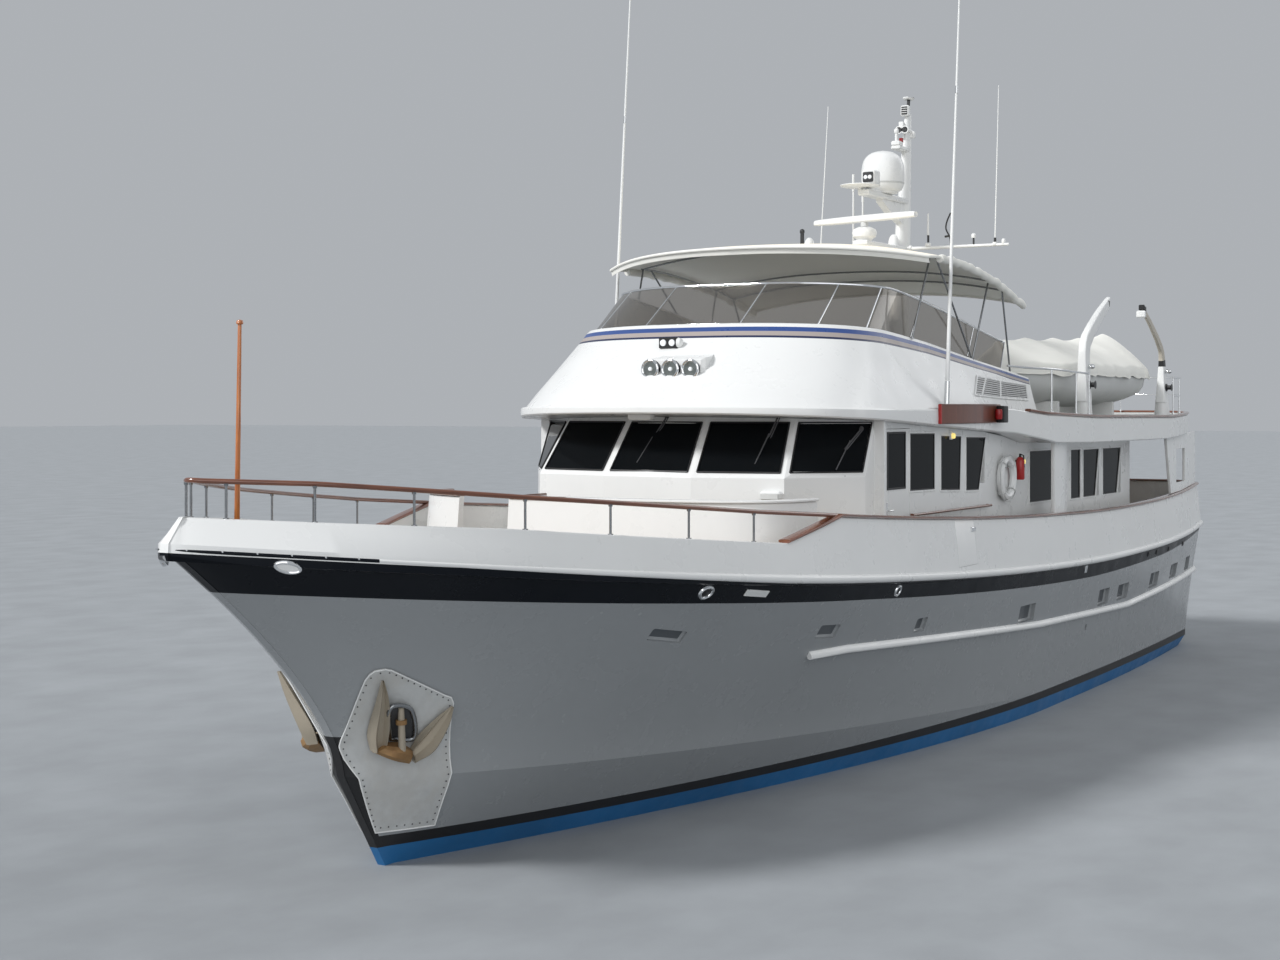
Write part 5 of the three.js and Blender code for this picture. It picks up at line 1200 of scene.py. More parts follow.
class YACHT_OT_deckhouse(bpy.types.Operator):
    """Deckhouse: the frame's walls with eased edges, a raised frame swept round each side window,
    and the fittings on the walls."""
    bl_idname = "yacht.deckhouse"
    bl_label = "Deckhouse"

    def execute(self, context):
        for node in ("pilothouse", "saloon", "aft_wing_port", "aft_wing_starboard"):
            dress(node, "white", 0.012)
        for node in ("pilothouse_glass", "house_glass_port", "house_glass_starboard"):
            dress(node, "glass", 0)
        dress("saloon_door", "stainless", 0.004)
        dress("helm_console", "joinery", 0.01)
        wide = context.scene.yacht_sizes.frame_width
        frames, panes, edges = [], [], []
        for k, corners in enumerate(SIDE_WINDOWS):
            line = np.array(corners, float)
            face = HOUSE_HALF + (0.004 if k < PILOTHOUSE_WINDOWS else -0.016)
            frames.append(window_frame(line, wide, HOUSE_HALF))
            edges.append(window_frame(shrunk(line, 0.018), 0.022, face + 0.002, 0.008))
            panes.append(window_pane(line, face))
        make("window_frames", both(frames), "white")
        make("window_gaskets", both(edges), "black")
        make("window_panes", both(panes), "glass")
        self.front_panes()
        self.inside()
        self.doors()
        self.wall_fittings()
        return {"FINISHED"}

    def front_panes(self):
        """Flat panes in the raked front, a gasket round each and the wipers on three of them."""
        patches = []
        for i, j in ((1, -1), (1, 2), (2, 3)):
            sill, head = ((front_corner(i, f), front_corner(j, f) if j > 0
                           else front_corner(1, f) * (-1, 1, 1)) for f in (0, 1))
            place = [mix(mix(*sill, a), mix(*head, a), b)
                     for a, b in ((0.052, 0.085), (0.948, 0.085), (0.948, 0.915), (0.052, 0.915))]
            out = normed(np.cross(place[1] - place[0], place[3] - place[0]))
            out *= -np.sign(out[1])
            loop = np.array(place + place[:1])
            bolts = [mix(place[0], place[1], f) - (0, 0, 0.055) for f in (0.2, 0.75)]
            group = [panel([p + out * 0.004 for p in place], 0.01, -out)]
            group += [pipe(loop[k:k + 2] + out * 0.012, 0.012, 8, finish=1) for k in range(4)]
            group += [rod(bolt, bolt + out * 0.02, 0.014, 0.011, 8, 1) for bolt in bolts]
            patches += group if j < 0 else both(group)
        make("front_panes", patches, "glass black", sharp=30)
        wipers = []
        for rows, blade in WIPERS:
            arm = at(*np.array(rows).T)
            wipers += [pipe(arm, 0.012, 8), pipe(arm + (0.035, 0, 0), 0.008, 8),
                       rod(arm[0], arm[0] + (0, 0.03, 0.02), 0.03),
                       pipe(at(*np.array(blade).T), 0.014, 8, squeeze=0.5)]
        make("wipers", wipers, "grey_rubber")

    def inside(self):
        """What stands inside the house: the helm chair, the wheel and the saloon's settee."""
        chair = [cushion((0.16, 8.96, 3.43), (0.74, 9.41, 3.56)),
                 upright((0.17, 9.41, 3.58), (0.73, 9.5, 4.245))]
        pads = make("helm_chair_pads", chair, "brown_hide", replaces=["helm_seat"], sharp=60)
        foot = [rod((0.45, aft(9.2), 2.8), (0.45, aft(9.2), 3.43), 0.06, 0.05, 16),
                lathe([(0, 0), (0.2, 0), (0.19, 0.02), (0.06, 0.04), (0, 0.04)],
                      (0.45, aft(9.2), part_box("helm_seat")[0].z)),
                slab((0.3, 9.405, 3.44), (0.6, 9.47, 3.62), 0.01)]
        make("helm_chair_foot", foot, "stainless")
        hub = at(0.45, 8.32, 3.72)
        wheel = [oriented(oval(0.3, 0.3, 0.018, 0, 36), hub, (0, 1, 0.25), (1, 0, 0)),
                 rod(hub - (0, 0.24, 0.03), hub, 0.03)]
        wheel += [rod(hub, hub + 0.29 * np.array([math.cos(a), 0.2 * math.sin(a), math.sin(a)]), 0.012)
                  for a in circle(6)]
        make("helm_wheel", wheel, "joinery")
        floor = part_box("saloon_sofa")[0].z
        make("saloon_settee", [slab((-2.45, 14.61, floor), (-1.72, 17.59, 2.74), 0.02),
                               slab((-2.595, 14.61, floor), (-2.5, 17.59, 3.2), 0.02)], "joinery")
        stations = (14.62, 15.61, 16.6)
        seats = [cushion((-2.39, s, 2.742), (-1.705, s + 0.97, 2.88)) for s in stations]
        seats += [sidelong((-2.5, s, 2.76), (-2.402, s + 0.97, 3.275)) for s in stations]
        sofa = make("saloon_cushions", seats, "upholstery", replaces=["saloon_sofa"], sharp=60)

    def doors(self):
        """Doors: the frame's leaf with a pane and a handle that ride with it."""
        x = HOUSE_HALF
        window = np.array([(8.13, 4.03), (8.79, 4.03), (8.79, 4.84), (8.13, 4.84)])
        gasket = window_frame(shrunk(window, 0.016), 0.03, x + 0.004, 0.008)
        gasket.finish[:] = 1
        fittings = [window_pane(window, x + 0.003), gasket, pipe(at([x + 0.004, x + 0.045, x + 0.045],
                    [8.11, 8.11, 8.24], 3.72), 0.011, 10, finish=2),
                    slab((x - 0.002, 8.088, 3.6), (x + 0.008, 8.132, 3.84), 0.003, 2)]
        for side, patches in each_side(fittings):
            body = "pilothouse_door_" + side
            dress(body, "white", 0.006)
            make(body + "_pane", patches, "glass black chrome", body)

    def wall_fittings(self):
        """Lamps, a life ring in its bracket, an extinguisher, a vent box and the grab rail."""
        x = HOUSE_HALF
        hung, face, wide = at(x + 0.075, 13.0, 4.04), (1, 0, 0), 0.31
        angle = circle(64)
        reach = 0.375 + 0.03 * np.abs(np.sin(2 * angle))
        line = pipe(np.stack([reach * np.cos(angle), reach * np.sin(angle), 0.03 + 0 * angle], 1), 0.009, 6,
                    loop=True, finish=1)
        ring = [oriented(patch, hung, face) for patch in (oval(wide, wide, 0.062, 0, 40), line)]
        for a in circle(4) + math.pi / 4:
            c, d = math.cos(a), math.sin(a)
            band = [(wide * c + 0.075 * math.cos(b) * c, wide * d + 0.075 * math.cos(b) * d,
                     0.067 * math.sin(b)) for b in circle(16)]
            ring.append(oriented(pipe(band, 0.012, 6, loop=True, finish=1), hung, face))
        make("life_ring", both(ring), "white shade_white")
        bottle = [lathe([(0, 0), (0.06, 0), (0.075, 0.02), (0.075, 0.32), (0.05, 0.37), (0.025, 0.385),
                         (0, 0.385)], at(x + 0.09, 13.62, 3.99)),
                  rod(at(x + 0.09, 13.62, 4.36), at(x + 0.09, 13.62, 4.43), 0.022, 0.018, 10, 1),
                  pipe(at([x + 0.09, x + 0.15, x + 0.16], 13.62, [4.42, 4.4, 4.2]), 0.012, 8, finish=1),
                  slab((x - 0.002, 13.57, 4.05), (x + 0.03, 13.67, 4.32), 0.005, 1)]
        make("extinguisher", both(bottle), "red_paint black")
        lamps = []
        for s, z in ((10.6, 4.78), (13.9, 4.3)):
            lamps += [slab((x - 0.002, s - 0.05, z - 0.07), (x + 0.04, s + 0.05, z + 0.07), 0.01),
                      slab((x + 0.035, s - 0.038, z - 0.055), (x + 0.085, s + 0.038, z + 0.03), 0.015, 1)]
        make("wall_lamps", both(lamps), "white warm_lens")
        vent = [slab((1.69, 6.16, 3.93), (2.0, 6.5, 4.055), 0.03),
                slab((1.71, 6.14, 3.94), (1.98, 6.2, 4.03), 0.01, 1)]
        make("vent_box", vent, "white shade_white")
        rail = smooth_through(at([x + 0.004, x + 0.06, x + 0.065, x + 0.065, x + 0.06, x + 0.004],
                                 [9.0, 9.03, 9.2, 12.0, 12.2, 12.23], 3.62), 5)
        feet = [pipe(at([x, x + 0.065], s, 3.62), 0.014, 8, finish=1) for s in (9.7, 10.4, 11.1, 11.7)]
        make("hand_rails", both([pipe(rail, 0.021, 12)] + feet), "varnish stainless")


FRONT_SILL = [(0, 5.96), (0.71, 5.98), (2.01, 6.28), (HOUSE_HALF, 7.35)]
FRONT_HEAD = [(0, 6.6), (0.64, 6.62), (1.88, 6.9), (HOUSE_HALF, 7.75)]
SILL_Z, HEAD_Z = 4.23, 5.06
PILOTHOUSE_WINDOWS = 3
# Wipers: arm from its pivot to the blade's middle, then the blade, all (x, s, z)
WIPERS = [([(-0.021, 6.585, 5.07), (-0.202, 6.35, 4.64)], [(-0.15, 6.41, 4.78), (-0.244, 6.12, 4.42)]),
          ([(1.67, 6.8, 5.1), (1.57, 6.56, 4.66)], [(1.62, 6.6, 4.84), (1.54, 6.32, 4.42)]),
          ([(2.63, 7.47, 4.9), (2.5, 7.2, 4.62)], [(2.55, 7.28, 4.74), (2.47, 6.98, 4.34)])]
SIDE_WINDOWS = [[(8.97, 3.98), (9.93, 3.97), (9.93, 4.81), (8.97, 4.82)],
                [(10.21, 3.945), (11.0, 3.92), (11.05, 4.75), (10.21, 4.77)],
                [(11.29, 3.9), (11.84, 3.89), (12.15, 4.72), (11.29, 4.735)],
                [(14.36, 3.57), (15.64, 3.57), (15.64, 4.45), (14.36, 4.45)],
                [(16.66, 3.54), (17.24, 3.54), (17.24, 4.43), (16.66, 4.43)],
                [(17.41, 3.54), (18.18, 3.54), (18.41, 4.42), (17.41, 4.42)],
                [(18.65, 3.54), (19.6, 3.54), (19.87, 4.42), (18.65, 4.42)]]


def front_corner(i, f):
    """A corner of the raked front, at a fraction f from the sill to the head."""
    return mix(at(*FRONT_SILL[i], SILL_Z), at(*FRONT_HEAD[i], HEAD_Z), f)


def shrunk(line, by):
    """A polygon in (s, z) drawn in towards its middle by a margin."""
    line = np.asarray(line, float)
    return line.mean(0) + (line - line.mean(0)) * (1 - 2 * by / np.ptp(line, axis=0))


def window_frame(line, wide, out, height=0.012):
    """A raised frame: a flat-topped section carried round a polygon in (s, z) on the house side."""
    inner, outer = shrunk(line, -0.001), shrunk(line, -wide)
    rings = []
    for share, rise in ((0, -0.012), (0, 0.5), (0.12, 1), (0.88, 1), (1, 0.5), (1, -0.012)):
        p = mix(inner, outer, share)
        rings.append(at(out + (rise * height if rise > 0 else rise), p[:, 0], p[:, 1]))
    return swept(np.stack(rings, 1), loop=True)


def window_pane(line, out):
    """A pane that fills a polygon in (s, z), a little larger than its opening."""
    line, thick = shrunk(line, -0.004), 0.008
    return swept([at(x, line[:, 0], line[:, 1]) for x in (out - thick, out)])


class YACHT_OT_boat_deck(bpy.types.Operator):
    """Boat deck and brow: the plan outline is a smooth curve through the deck's corners, stacked in
    rows from the soffit over a rounded edge to the deck. The coaming is a sheet between two such
    curves, banded with stripes, and given its thickness inboard."""
    bl_idname = "yacht.boat_deck"
    bl_label = "Boat deck and coaming"

    def execute(self, context):
        line = smooth_through(UPPER_HALF, 8)
        line[:, 0] = np.minimum(line[:, 0], HALF_BEAM)
        low, top = upper_low_z(line[:, 1]), upper_top_z(line[:, 1])
        rows = [(0.12, low + 0.002), (0.02, low), (0.0, low + 0.02), (-0.003, mix(low, top, 0.5)),
                (0.0, top - 0.02), (0.02, top), (0.12, top + 0.001)]
        port = np.stack([offset_line(line, -inset, z) for inset, z in rows])
        body = swept(np.concatenate([port, port[:, ::-1] * (-1, 1, 1)], 1), caps=(0, 1))
        pillars = both([slab((3.18, 14.2, 3.2), (3.26, 14.85, 4.66), 0.02)])
        chocks = [slab((1.05, c - 0.06, 4.95), (2.45, c + 0.06, 5.33), 0.015) for c in (16.9, 20.4)]
        feet = [lathe([(0, 0), (0.2, 0), (0.2, 0.012), (0.155, 0.05), (0.135, 0.33), (0, 0.33)],
                      at(DAVIT_X, c, 4.99)) for c in DAVIT_S]
        make("boat_deck_skin", [body] + pillars + chocks + feet, "white deck_grit",
             replaces=["boat_deck"], sharp=30)
        rail = line[line[:, 1] >= 12.9]
        cap = [offset_line(rail, -0.035 + 0.06 * a, upper_top_z(rail[:, 1]) + 0.026 + 0.024 * b)
               for a, b in zip(*superellipse(12, 0.6))]
        make("boat_deck_edge", both([swept(np.stack(cap, 1))]), "varnish", replaces=["boat_deck_cap"])
        self.coaming()
        self.brow_lights()
        self.side_grilles()
        return {"FINISHED"}

    def coaming(self):
        """The coaming: a sheet ruled from its foot to its head, with a fold at each stripe."""
        rows = smooth_through(COAMING, 6)
        foot, head = rows[:, :2], rows[:, 2:]
        share = np.array([0, 0.15, 0.18, 0.45, 0.6, 0.75, 0.825, 0.85, 0.905, 0.958, 1.0])
        lower = at(foot[:, 0], foot[:, 1], upper_top_z(foot[:, 1]) - 0.02)[:, None]
        upper = at(head[:, 0], head[:, 1], coaming_z(head[:, 1]))[:, None]
        outer = mix(lower, upper, share[None, :, None])
        outward = normed((outer - (0, aft(11.0), 0)) * (1, 1, 0))
        fold = np.interp(share, [0, 0.15, 0.18, 0.45, 0.905, 0.958, 1],
                         [0, 0.012, 0.012, 0.004, 0, 0.012, 0.004])
        outer = outer + outward * fold[None, :, None]
        outer[0, :, 0] = 0
        crest = outer[:, -1] - outward[:, -1] * 0.065 + (0, 0, 0.006)
        lip = outer[:, -1] - outward[:, -1] * 0.13
        wall = np.column_stack([lip[:, :2], upper_top_z(head[:, 1]) - 0.02])
        port = np.concatenate([outer, crest[:, None], lip[:, None], wall[:, None]], 1)
        port[:, :, 0] = np.maximum(port[:, :, 0], 0)
        whole = np.concatenate([port[:0:-1], port * (-1, 1, 1)], 0)
        marks = np.array([0, 0, 0, 0, 0, 0, 3, 2, 1, 0, 0, 0, 0, 0])
        make("coaming_skin", [swept(whole, finish=marks)], "white blue_stripe taupe_stripe navy_stripe",
             replaces=["flybridge_coaming"], sharp=24)

    def brow_lights(self):
        """Three round lamps in a fairing on the brow, a twin lamp above, and one under the soffit."""
        patches = []
        for x, s, z in ((-0.08, 6.21, 5.757), (0.245, 6.215, 5.754), (0.56, 6.235, 5.751)):
            centre = at(x, s, z)
            patches += [lathe([(0, 0.03), (0.1, 0.03), (0.128, 0.02), (0.132, 0.32), (0, 0.32)], centre,
                              axis=1, finish=3), oriented(oval(0.124, 0.124, 0.02, 1, 32), centre,
                                                          (0, -1, 0), (1, 0, 0)),
                        lathe([(0, 0.012), (0.05, 0.008), (0.085, 0.0), (0.106, -0.004), (0.106, 0.04),
                               (0, 0.04)], centre, axis=1, finish=4),
                        lathe([(0, -0.016), (0.024, -0.014), (0.03, 0.0), (0.03, 0.02), (0, 0.02)],
                              centre, axis=1, finish=2)]
        square = np.array([(-1, -1), (1, -1), (1, 1), (-1, 1)]) * 0.5
        fair = [at(cx + square[:, 0] * wide, s + square[:, 1] * 0, cz + square[:, 1] * high)
                for cx, s, cz, wide, high in ((0.3, 6.29, 5.755, 0.8, 0.24), (0.31, 6.34, 5.76, 0.88, 0.3),
                                              (0.33, 6.5, 5.79, 0.86, 0.29), (0.36, 6.85, 5.93, 0.62, 0.16))]
        patches.append(swept(fair))
        patches += [slab((-0.22, 6.7, 6.065), (0.085, 6.8, 6.225), 0.012, 3),
                    slab((-0.03, 6.74, 5.95), (0.09, 6.84, 6.07), 0.01, 1),
                    pipe(at([0.08, 0.13, 0.155], 6.75, 6.145), [0.075, 0.06, 0.02], 16)]
        for x in (-0.145, 0.0):
            patches.append(lathe([(0, 0), (0.045, 0), (0.052, 0.02), (0, 0.02)], at(x, 6.685, 6.145),
                                 axis=1, finish=2))
        patches.append(slab((-0.32, 5.98, 5.03), (0.06, 6.12, 5.125), 0.02))
        make("brow_lights", patches, "white chrome clear_lens black reflector")

    def side_grilles(self):
        """Slatted vents on the coaming's sides: a frame, and slats between its fore and after bars,
        each point at the breadth of the coaming there."""
        top, low = np.array(GRILLE_TOP), np.array(GRILLE_LOW)

        def on_side(a, b, out):
            """A straight line between two points (s, z), laid on the coaming's side."""
            line = mix(a, b, np.linspace(0, 1, 12)[:, None])
            return at(coaming_half(*line.T) + out, *line.T)

        patches = [pipe(on_side(a, b, 0.012), 0.02, 8)
                   for a, b in [*zip(top[:-1], top[1:]), *zip(low[:-1], low[1:]), *zip(low, top)]]
        for i in range(3):
            rows = [on_side(mix(low[i], top[i], f), mix(low[i + 1], top[i + 1], f), 0.004)
                    for f in np.linspace(0, 1, 5)]
            patches.append(plate(np.array(rows), 0.012, 1))
            patches += [pipe(on_side(mix(low[i], top[i], f), mix(low[i + 1], top[i + 1], f), 0.012), 0.009, 6)
                        for f in np.linspace(0.1, 0.9, 8)]
        make("coaming_grilles", both(patches), "white charcoal")


DAVIT_X = 3.08
DAVIT_S = (16.4, 21.7)
GRILLE_TOP = [(12.028, 5.71), (12.471, 5.693), (13.242, 5.653), (14.581, 5.6)]
GRILLE_LOW = [(11.492, 5.407), (11.826, 5.393), (13.001, 5.366), (14.483, 5.339)]
UPPER_HALF = [(0.02, 5.6), (0.9, 5.68), (1.7, 5.93), (2.35, 6.38), (2.76, 6.9), (3.0, 7.5), (3.0, 9.5),
              (3.0, 11.6), (3.0, 12.15), (3.22, 13.0), (3.4, 13.85), (3.4, 16.0), (3.4, 18.5), (3.4, 21.0),
              (3.25, 22.9), (3.0, 24.0), (2.5, 24.52), (1.5, 24.7), (0.02, 24.7)]
COAMING = [(0, 5.62, 0, 7.2), (0.88, 5.7, 0.85, 7.25), (1.65, 5.95, 1.52, 7.43), (2.3, 6.4, 2.03, 7.76),
           (2.7, 6.92, 2.32, 8.2), (2.94, 7.52, 2.44, 8.8), (2.95, 9.6, 2.47, 10.3), (2.93, 11.6, 2.5, 12.4),
           (2.76, 12.9, 2.54, 13.6), (2.74, 14.85, 2.56, 14.85)]


def coaming_half(s, z):
    """The coaming's half breadth at stations s and heights z: its foot and head at every row are
    joined by a straight line, cut at the height asked."""
    fx, fs, hx, hs = smooth_through(COAMING, 6)[30:].T
    half = []
    for station, height in zip(np.atleast_1d(s), np.atleast_1d(z)):
        low = upper_top_z(fs) - 0.02
        share = (height - low) / (coaming_z(hs) - low)
        half.append(np.interp(station, mix(fs, hs, share), mix(fx, hx, share)))
    return np.array(half)


def offset_line(line, out, z):
    """A plan line moved sideways by out, at heights z, kept on the port side."""
    t = normed(np.gradient(line, axis=0))
    return at(np.maximum(line[:, 0] + t[:, 1] * out, 0.002), line[:, 1] - t[:, 0] * out, z)


class YACHT_OT_windscreen(bpy.types.Operator):
    """Windscreen: tinted panes between the coaming's top and a rail, leaning aft, with raked
    mullions. Base and top are two curves through the same rows, and a pane is straight between."""
    bl_idname = "yacht.windscreen"
    bl_label = "Windscreen"

    def execute(self, context):
        base, top = screen_curves()

        def whole(line):
            """A line of the port side, led round the front to the other side."""
            return np.concatenate([line[:0:-1], line * (-1, 1, 1)])

        grid = mix(base[:, None], top[:, None], np.linspace(0, 1, 7)[None, :, None])
        make("windscreen_panes", [plate(whole(grid), 0.01)], "smoked", replaces=["windscreen"])
        bars = [pipe(whole(top) + (0, 0, 0.012), 0.023, 10)]
        for i in (7, 19, 30, 40, 48):
            bars += both([pipe([base[i], top[i]], [0.023, 0.019], 8, squeeze=0.7)])
        bars += both([pipe([base[-1] - (0, 0, 0.03), top[-1]], 0.017, 8)])
        bars.append(pipe(whole(base) + (0, 0, 0.006), 0.016, 8))
        make("windscreen_bars", bars, "chrome", replaces=["windscreen_rail"])
        return {"FINISHED"}


def screen_curves():
    """Base and top of the windscreen on the port side, both smooth through the coaming's rows."""
    base, top = [], []
    for i, (_, _, tx, ts) in enumerate(COAMING[:9]):
        lean = np.interp(i, [0, 3, 5, 9], [1.0, 0.9, 0.65, 0.25])
        draw = np.interp(i, [0, 3, 9], [0, 0.06, 0.04])
        s = ts + (0.06 if i < 5 else 0.02)
        base.append((max(0, tx - 0.06), aft(s), coaming_z(ts) - 0.012))
        z = table([(8.2, 7.05), (9.3, 6.98), (10.0, 6.92), (12.3, 6.58), (15.1, 6.12)], ts + lean)
        top.append((max(0, tx - 0.06 - draw), aft(ts + lean), z))
    base, top = smooth_through(base, 7), smooth_through(top, 7)
    base[0, 0] = top[0, 0] = 0
    return base, top


class YACHT_OT_flybridge(bpy.types.Operator):
    """Flybridge: the frame's console with eased edges, benches with cushions in place of its seats, a wheel,
    and a side-light board on each side, a varnished panel with a rounded edge, its lamp box and the red or
    green forward end."""
    bl_idname = "yacht.flybridge"
    bl_label = "Flybridge"

    def execute(self, context):
        dress("flybridge_console", "white", 0.03)
        lo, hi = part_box("flybridge_seats")
        seat, floor = 5.56, lo.z
        bases = [slab((-2.14, 12.92, floor), (2.14, 13.58, 5.43), 0.02),
                 slab((-2.14, 13.5, 5.4), (2.14, 13.598, 5.97), 0.02)]
        bases += both([slab((1.62, 11.22, floor), (2.14, 12.92, 5.43), 0.02)])
        make("flybridge_bench", bases, "white")
        pads = [cushion((x, 12.91, 5.432), (x + 1.05, 13.39, seat)) for x in (-1.59, -0.525, 0.54)]
        pads += both([cushion((1.61, s, 5.432), (2.145, s + 1.07, seat)) for s in (11.21, 12.3)])
        pads += [upright((x, 13.405, 5.5), (x + 1.05, 13.5, 6.015)) for x in (-2.12, -1.06, 0.01, 1.07)]
        seats = make("flybridge_cushions", pads, "upholstery", replaces=["flybridge_seats"], sharp=60)
        wheel = [oriented(oval(0.22, 0.22, 0.014, 0, 32), (-0.45, aft(9.42), 6.22), (0, 0.8, 0.6), (1, 0, 0)),
                 rod((-0.45, aft(9.24), 6.1), (-0.45, aft(9.43), 6.23), 0.022, 0.03, 12)]
        wheel += [rod((-0.45, aft(9.42), 6.22), np.array([-0.45, aft(9.42), 6.22])
                      + 0.215 * np.array([math.cos(a), 0.6 * math.sin(a), -0.8 * math.sin(a)]), 0.008)
                  for a in (math.pi / 2, math.pi * 7 / 6, -math.pi / 6)]
        make("flybridge_wheel", wheel, "stainless")
        board = [slab((3.002, 9.5, 4.96), (3.042, 12.1, 5.26), 0.012),
                 slab((3.04, 11.89, 4.965), (3.17, 12.095, 5.235), 0.01, 1),
                 lathe([(0, 0), (0.05, 0), (0.058, 0.03), (0.058, 0.13), (0.05, 0.16), (0, 0.165)],
                       at(3.1, 11.84, 5.02), finish=2),
                 slab((2.998, 9.475, 4.962), (3.046, 9.52, 5.258), 0.006, 3),
                 slab((2.997, 9.5, 5.247), (3.052, 11.9, 5.262), 0.006)]
        for (side, patches), colour in zip(each_side(board), ("red", "green")):
            make("side_board_" + side, patches, f"board black {colour}_lens {colour}_paint",
                 replaces=["side_light_board_" + side])
        return {"FINISHED"}


def bimini_z(x, s):
    """The bimini's top: a line along the middle, less 0.29 m times (|x| / 2.8) to the power 2.4."""
    rows = smooth_through([(8.4, 7.64), (9.3, 7.76), (10.8, 7.8), (12.8, 7.6), (14.45, 7.26)], 8)
    return np.interp(s, rows[:, 0], rows[:, 1]) - 0.29 * (np.abs(x) / 2.8) ** 2.4


class YACHT_OT_bimini(bpy.types.Operator):
    """Bimini: one arched sheet over three bows. Its height falls with a power of the breadth, and
    between the bows it sags a little."""
    bl_idname = "yacht.bimini"
    bl_label = "Bimini"

    def execute(self, context):
        edge = smooth_through([(0, 8.42), (1.0, 8.55), (1.65, 8.8), (2.15, 9.08), (2.55, 9.38), (2.8, 9.6)],
                              8)
        edge = np.concatenate([edge[:0:-1], edge * (-1, 1)])[::-1]
        f = np.linspace(0, 1, 61)[:, None]
        s = mix(edge[None, :, 1], 14.45, f)
        x = edge[None, :, 0] * mix(1, 0.93, f)
        sag = 0.018 * np.abs(np.sin((s - 8.42) / 1.55 * math.pi)) * (1 - (np.abs(x) / 2.8) ** 4)
        grid = at(x, s, bimini_z(x, s) - sag)
        # The sheet's under side takes the canvas with emission: painted light, standing in for light that
        # comes through the cloth.
        cover = make("bimini_sheet", [plate(grid, 0.006, 0, 1)], "canvas canvas_under",
                     replaces=["bimini_cover"])
        border = np.concatenate([grid[0], grid[1:, -1], grid[-1, -2::-1], grid[-2:0:-1, 0]])
        f = np.linspace(0, 1, 90)
        edge_line = smooth_through(grid[6:, 0], 2)
        edge_line = np.stack([np.interp(f, np.linspace(0, 1, len(edge_line)), edge_line[:, k])
                              for k in range(3)], 1)
        wave = 0.008 * np.sin(f[:, None] * (37, 53, 61))
        rolls = both([pipe(edge_line + wave - (0, 0, 0.04), 0.058 + 0.012 * np.sin(41 * f) ** 2, 12)])
        rolls.append(plate(np.array([grid[0] - (0, -0.012 * k, 0.035 * k) for k in range(4)]), 0.008))
        hem = make("bimini_hem", [pipe(border - (0, 0, 0.012), 0.024, 8, loop=True)] + rolls, "canvas")
        u = np.linspace(-1, 1, 41) * 2.56
        tubes = [pipe(at(u, station, bimini_z(u, station) - 0.048), 0.016, 10)
                 for station in (10.25, 12.85, 13.5)]
        for top, foot in ((10.25, 9.72), (10.5, 12.3), (12.85, 12.3), (13.5, 14.15)):
            for k in (1, -1):
                head = at(2.56 * k, top, bimini_z(2.56, top) - 0.04)
                base = at(2.48 * k, foot, coaming_z(foot) - 0.015)
                tubes += [rod(base, head, 0.0155), rod(base, base + (0, 0, 0.03), 0.035, 0.028, 12)]
        run = np.linspace(10.2, 13.6, 24)
        tubes += both([pipe(at(2.565, run, bimini_z(2.565, run) - 0.044), 0.014, 8)])
        make("bimini_tubes", tubes, "rail_steel", replaces=["bimini_frame"])
        return {"FINISHED"}


def mast_at(z):
    """The mast's centre line, raked aft."""
    return np.array([0, aft(14.95) + (z - 5) * 0.115, z])


DOME_Y = aft(14.42)
RADAR_Y = aft(13.6)
TRAY = np.array([-0.08, aft(13.6), 9.09])
YARD_Z = 8.13


def knob(centre, radius, height, finish=0):
    """A small round-topped housing: its radius falls with a quarter circle above half height."""
    turn = np.linspace(0, math.pi / 2, 6)
    profile = [(0, 0), (radius * 0.92, 0), (radius, height * 0.1)]
    profile += [(radius * math.cos(a) + 1e-3, height * (0.5 + 0.5 * math.sin(a))) for a in turn]
    return lathe(profile, centre, sides=20, finish=finish)


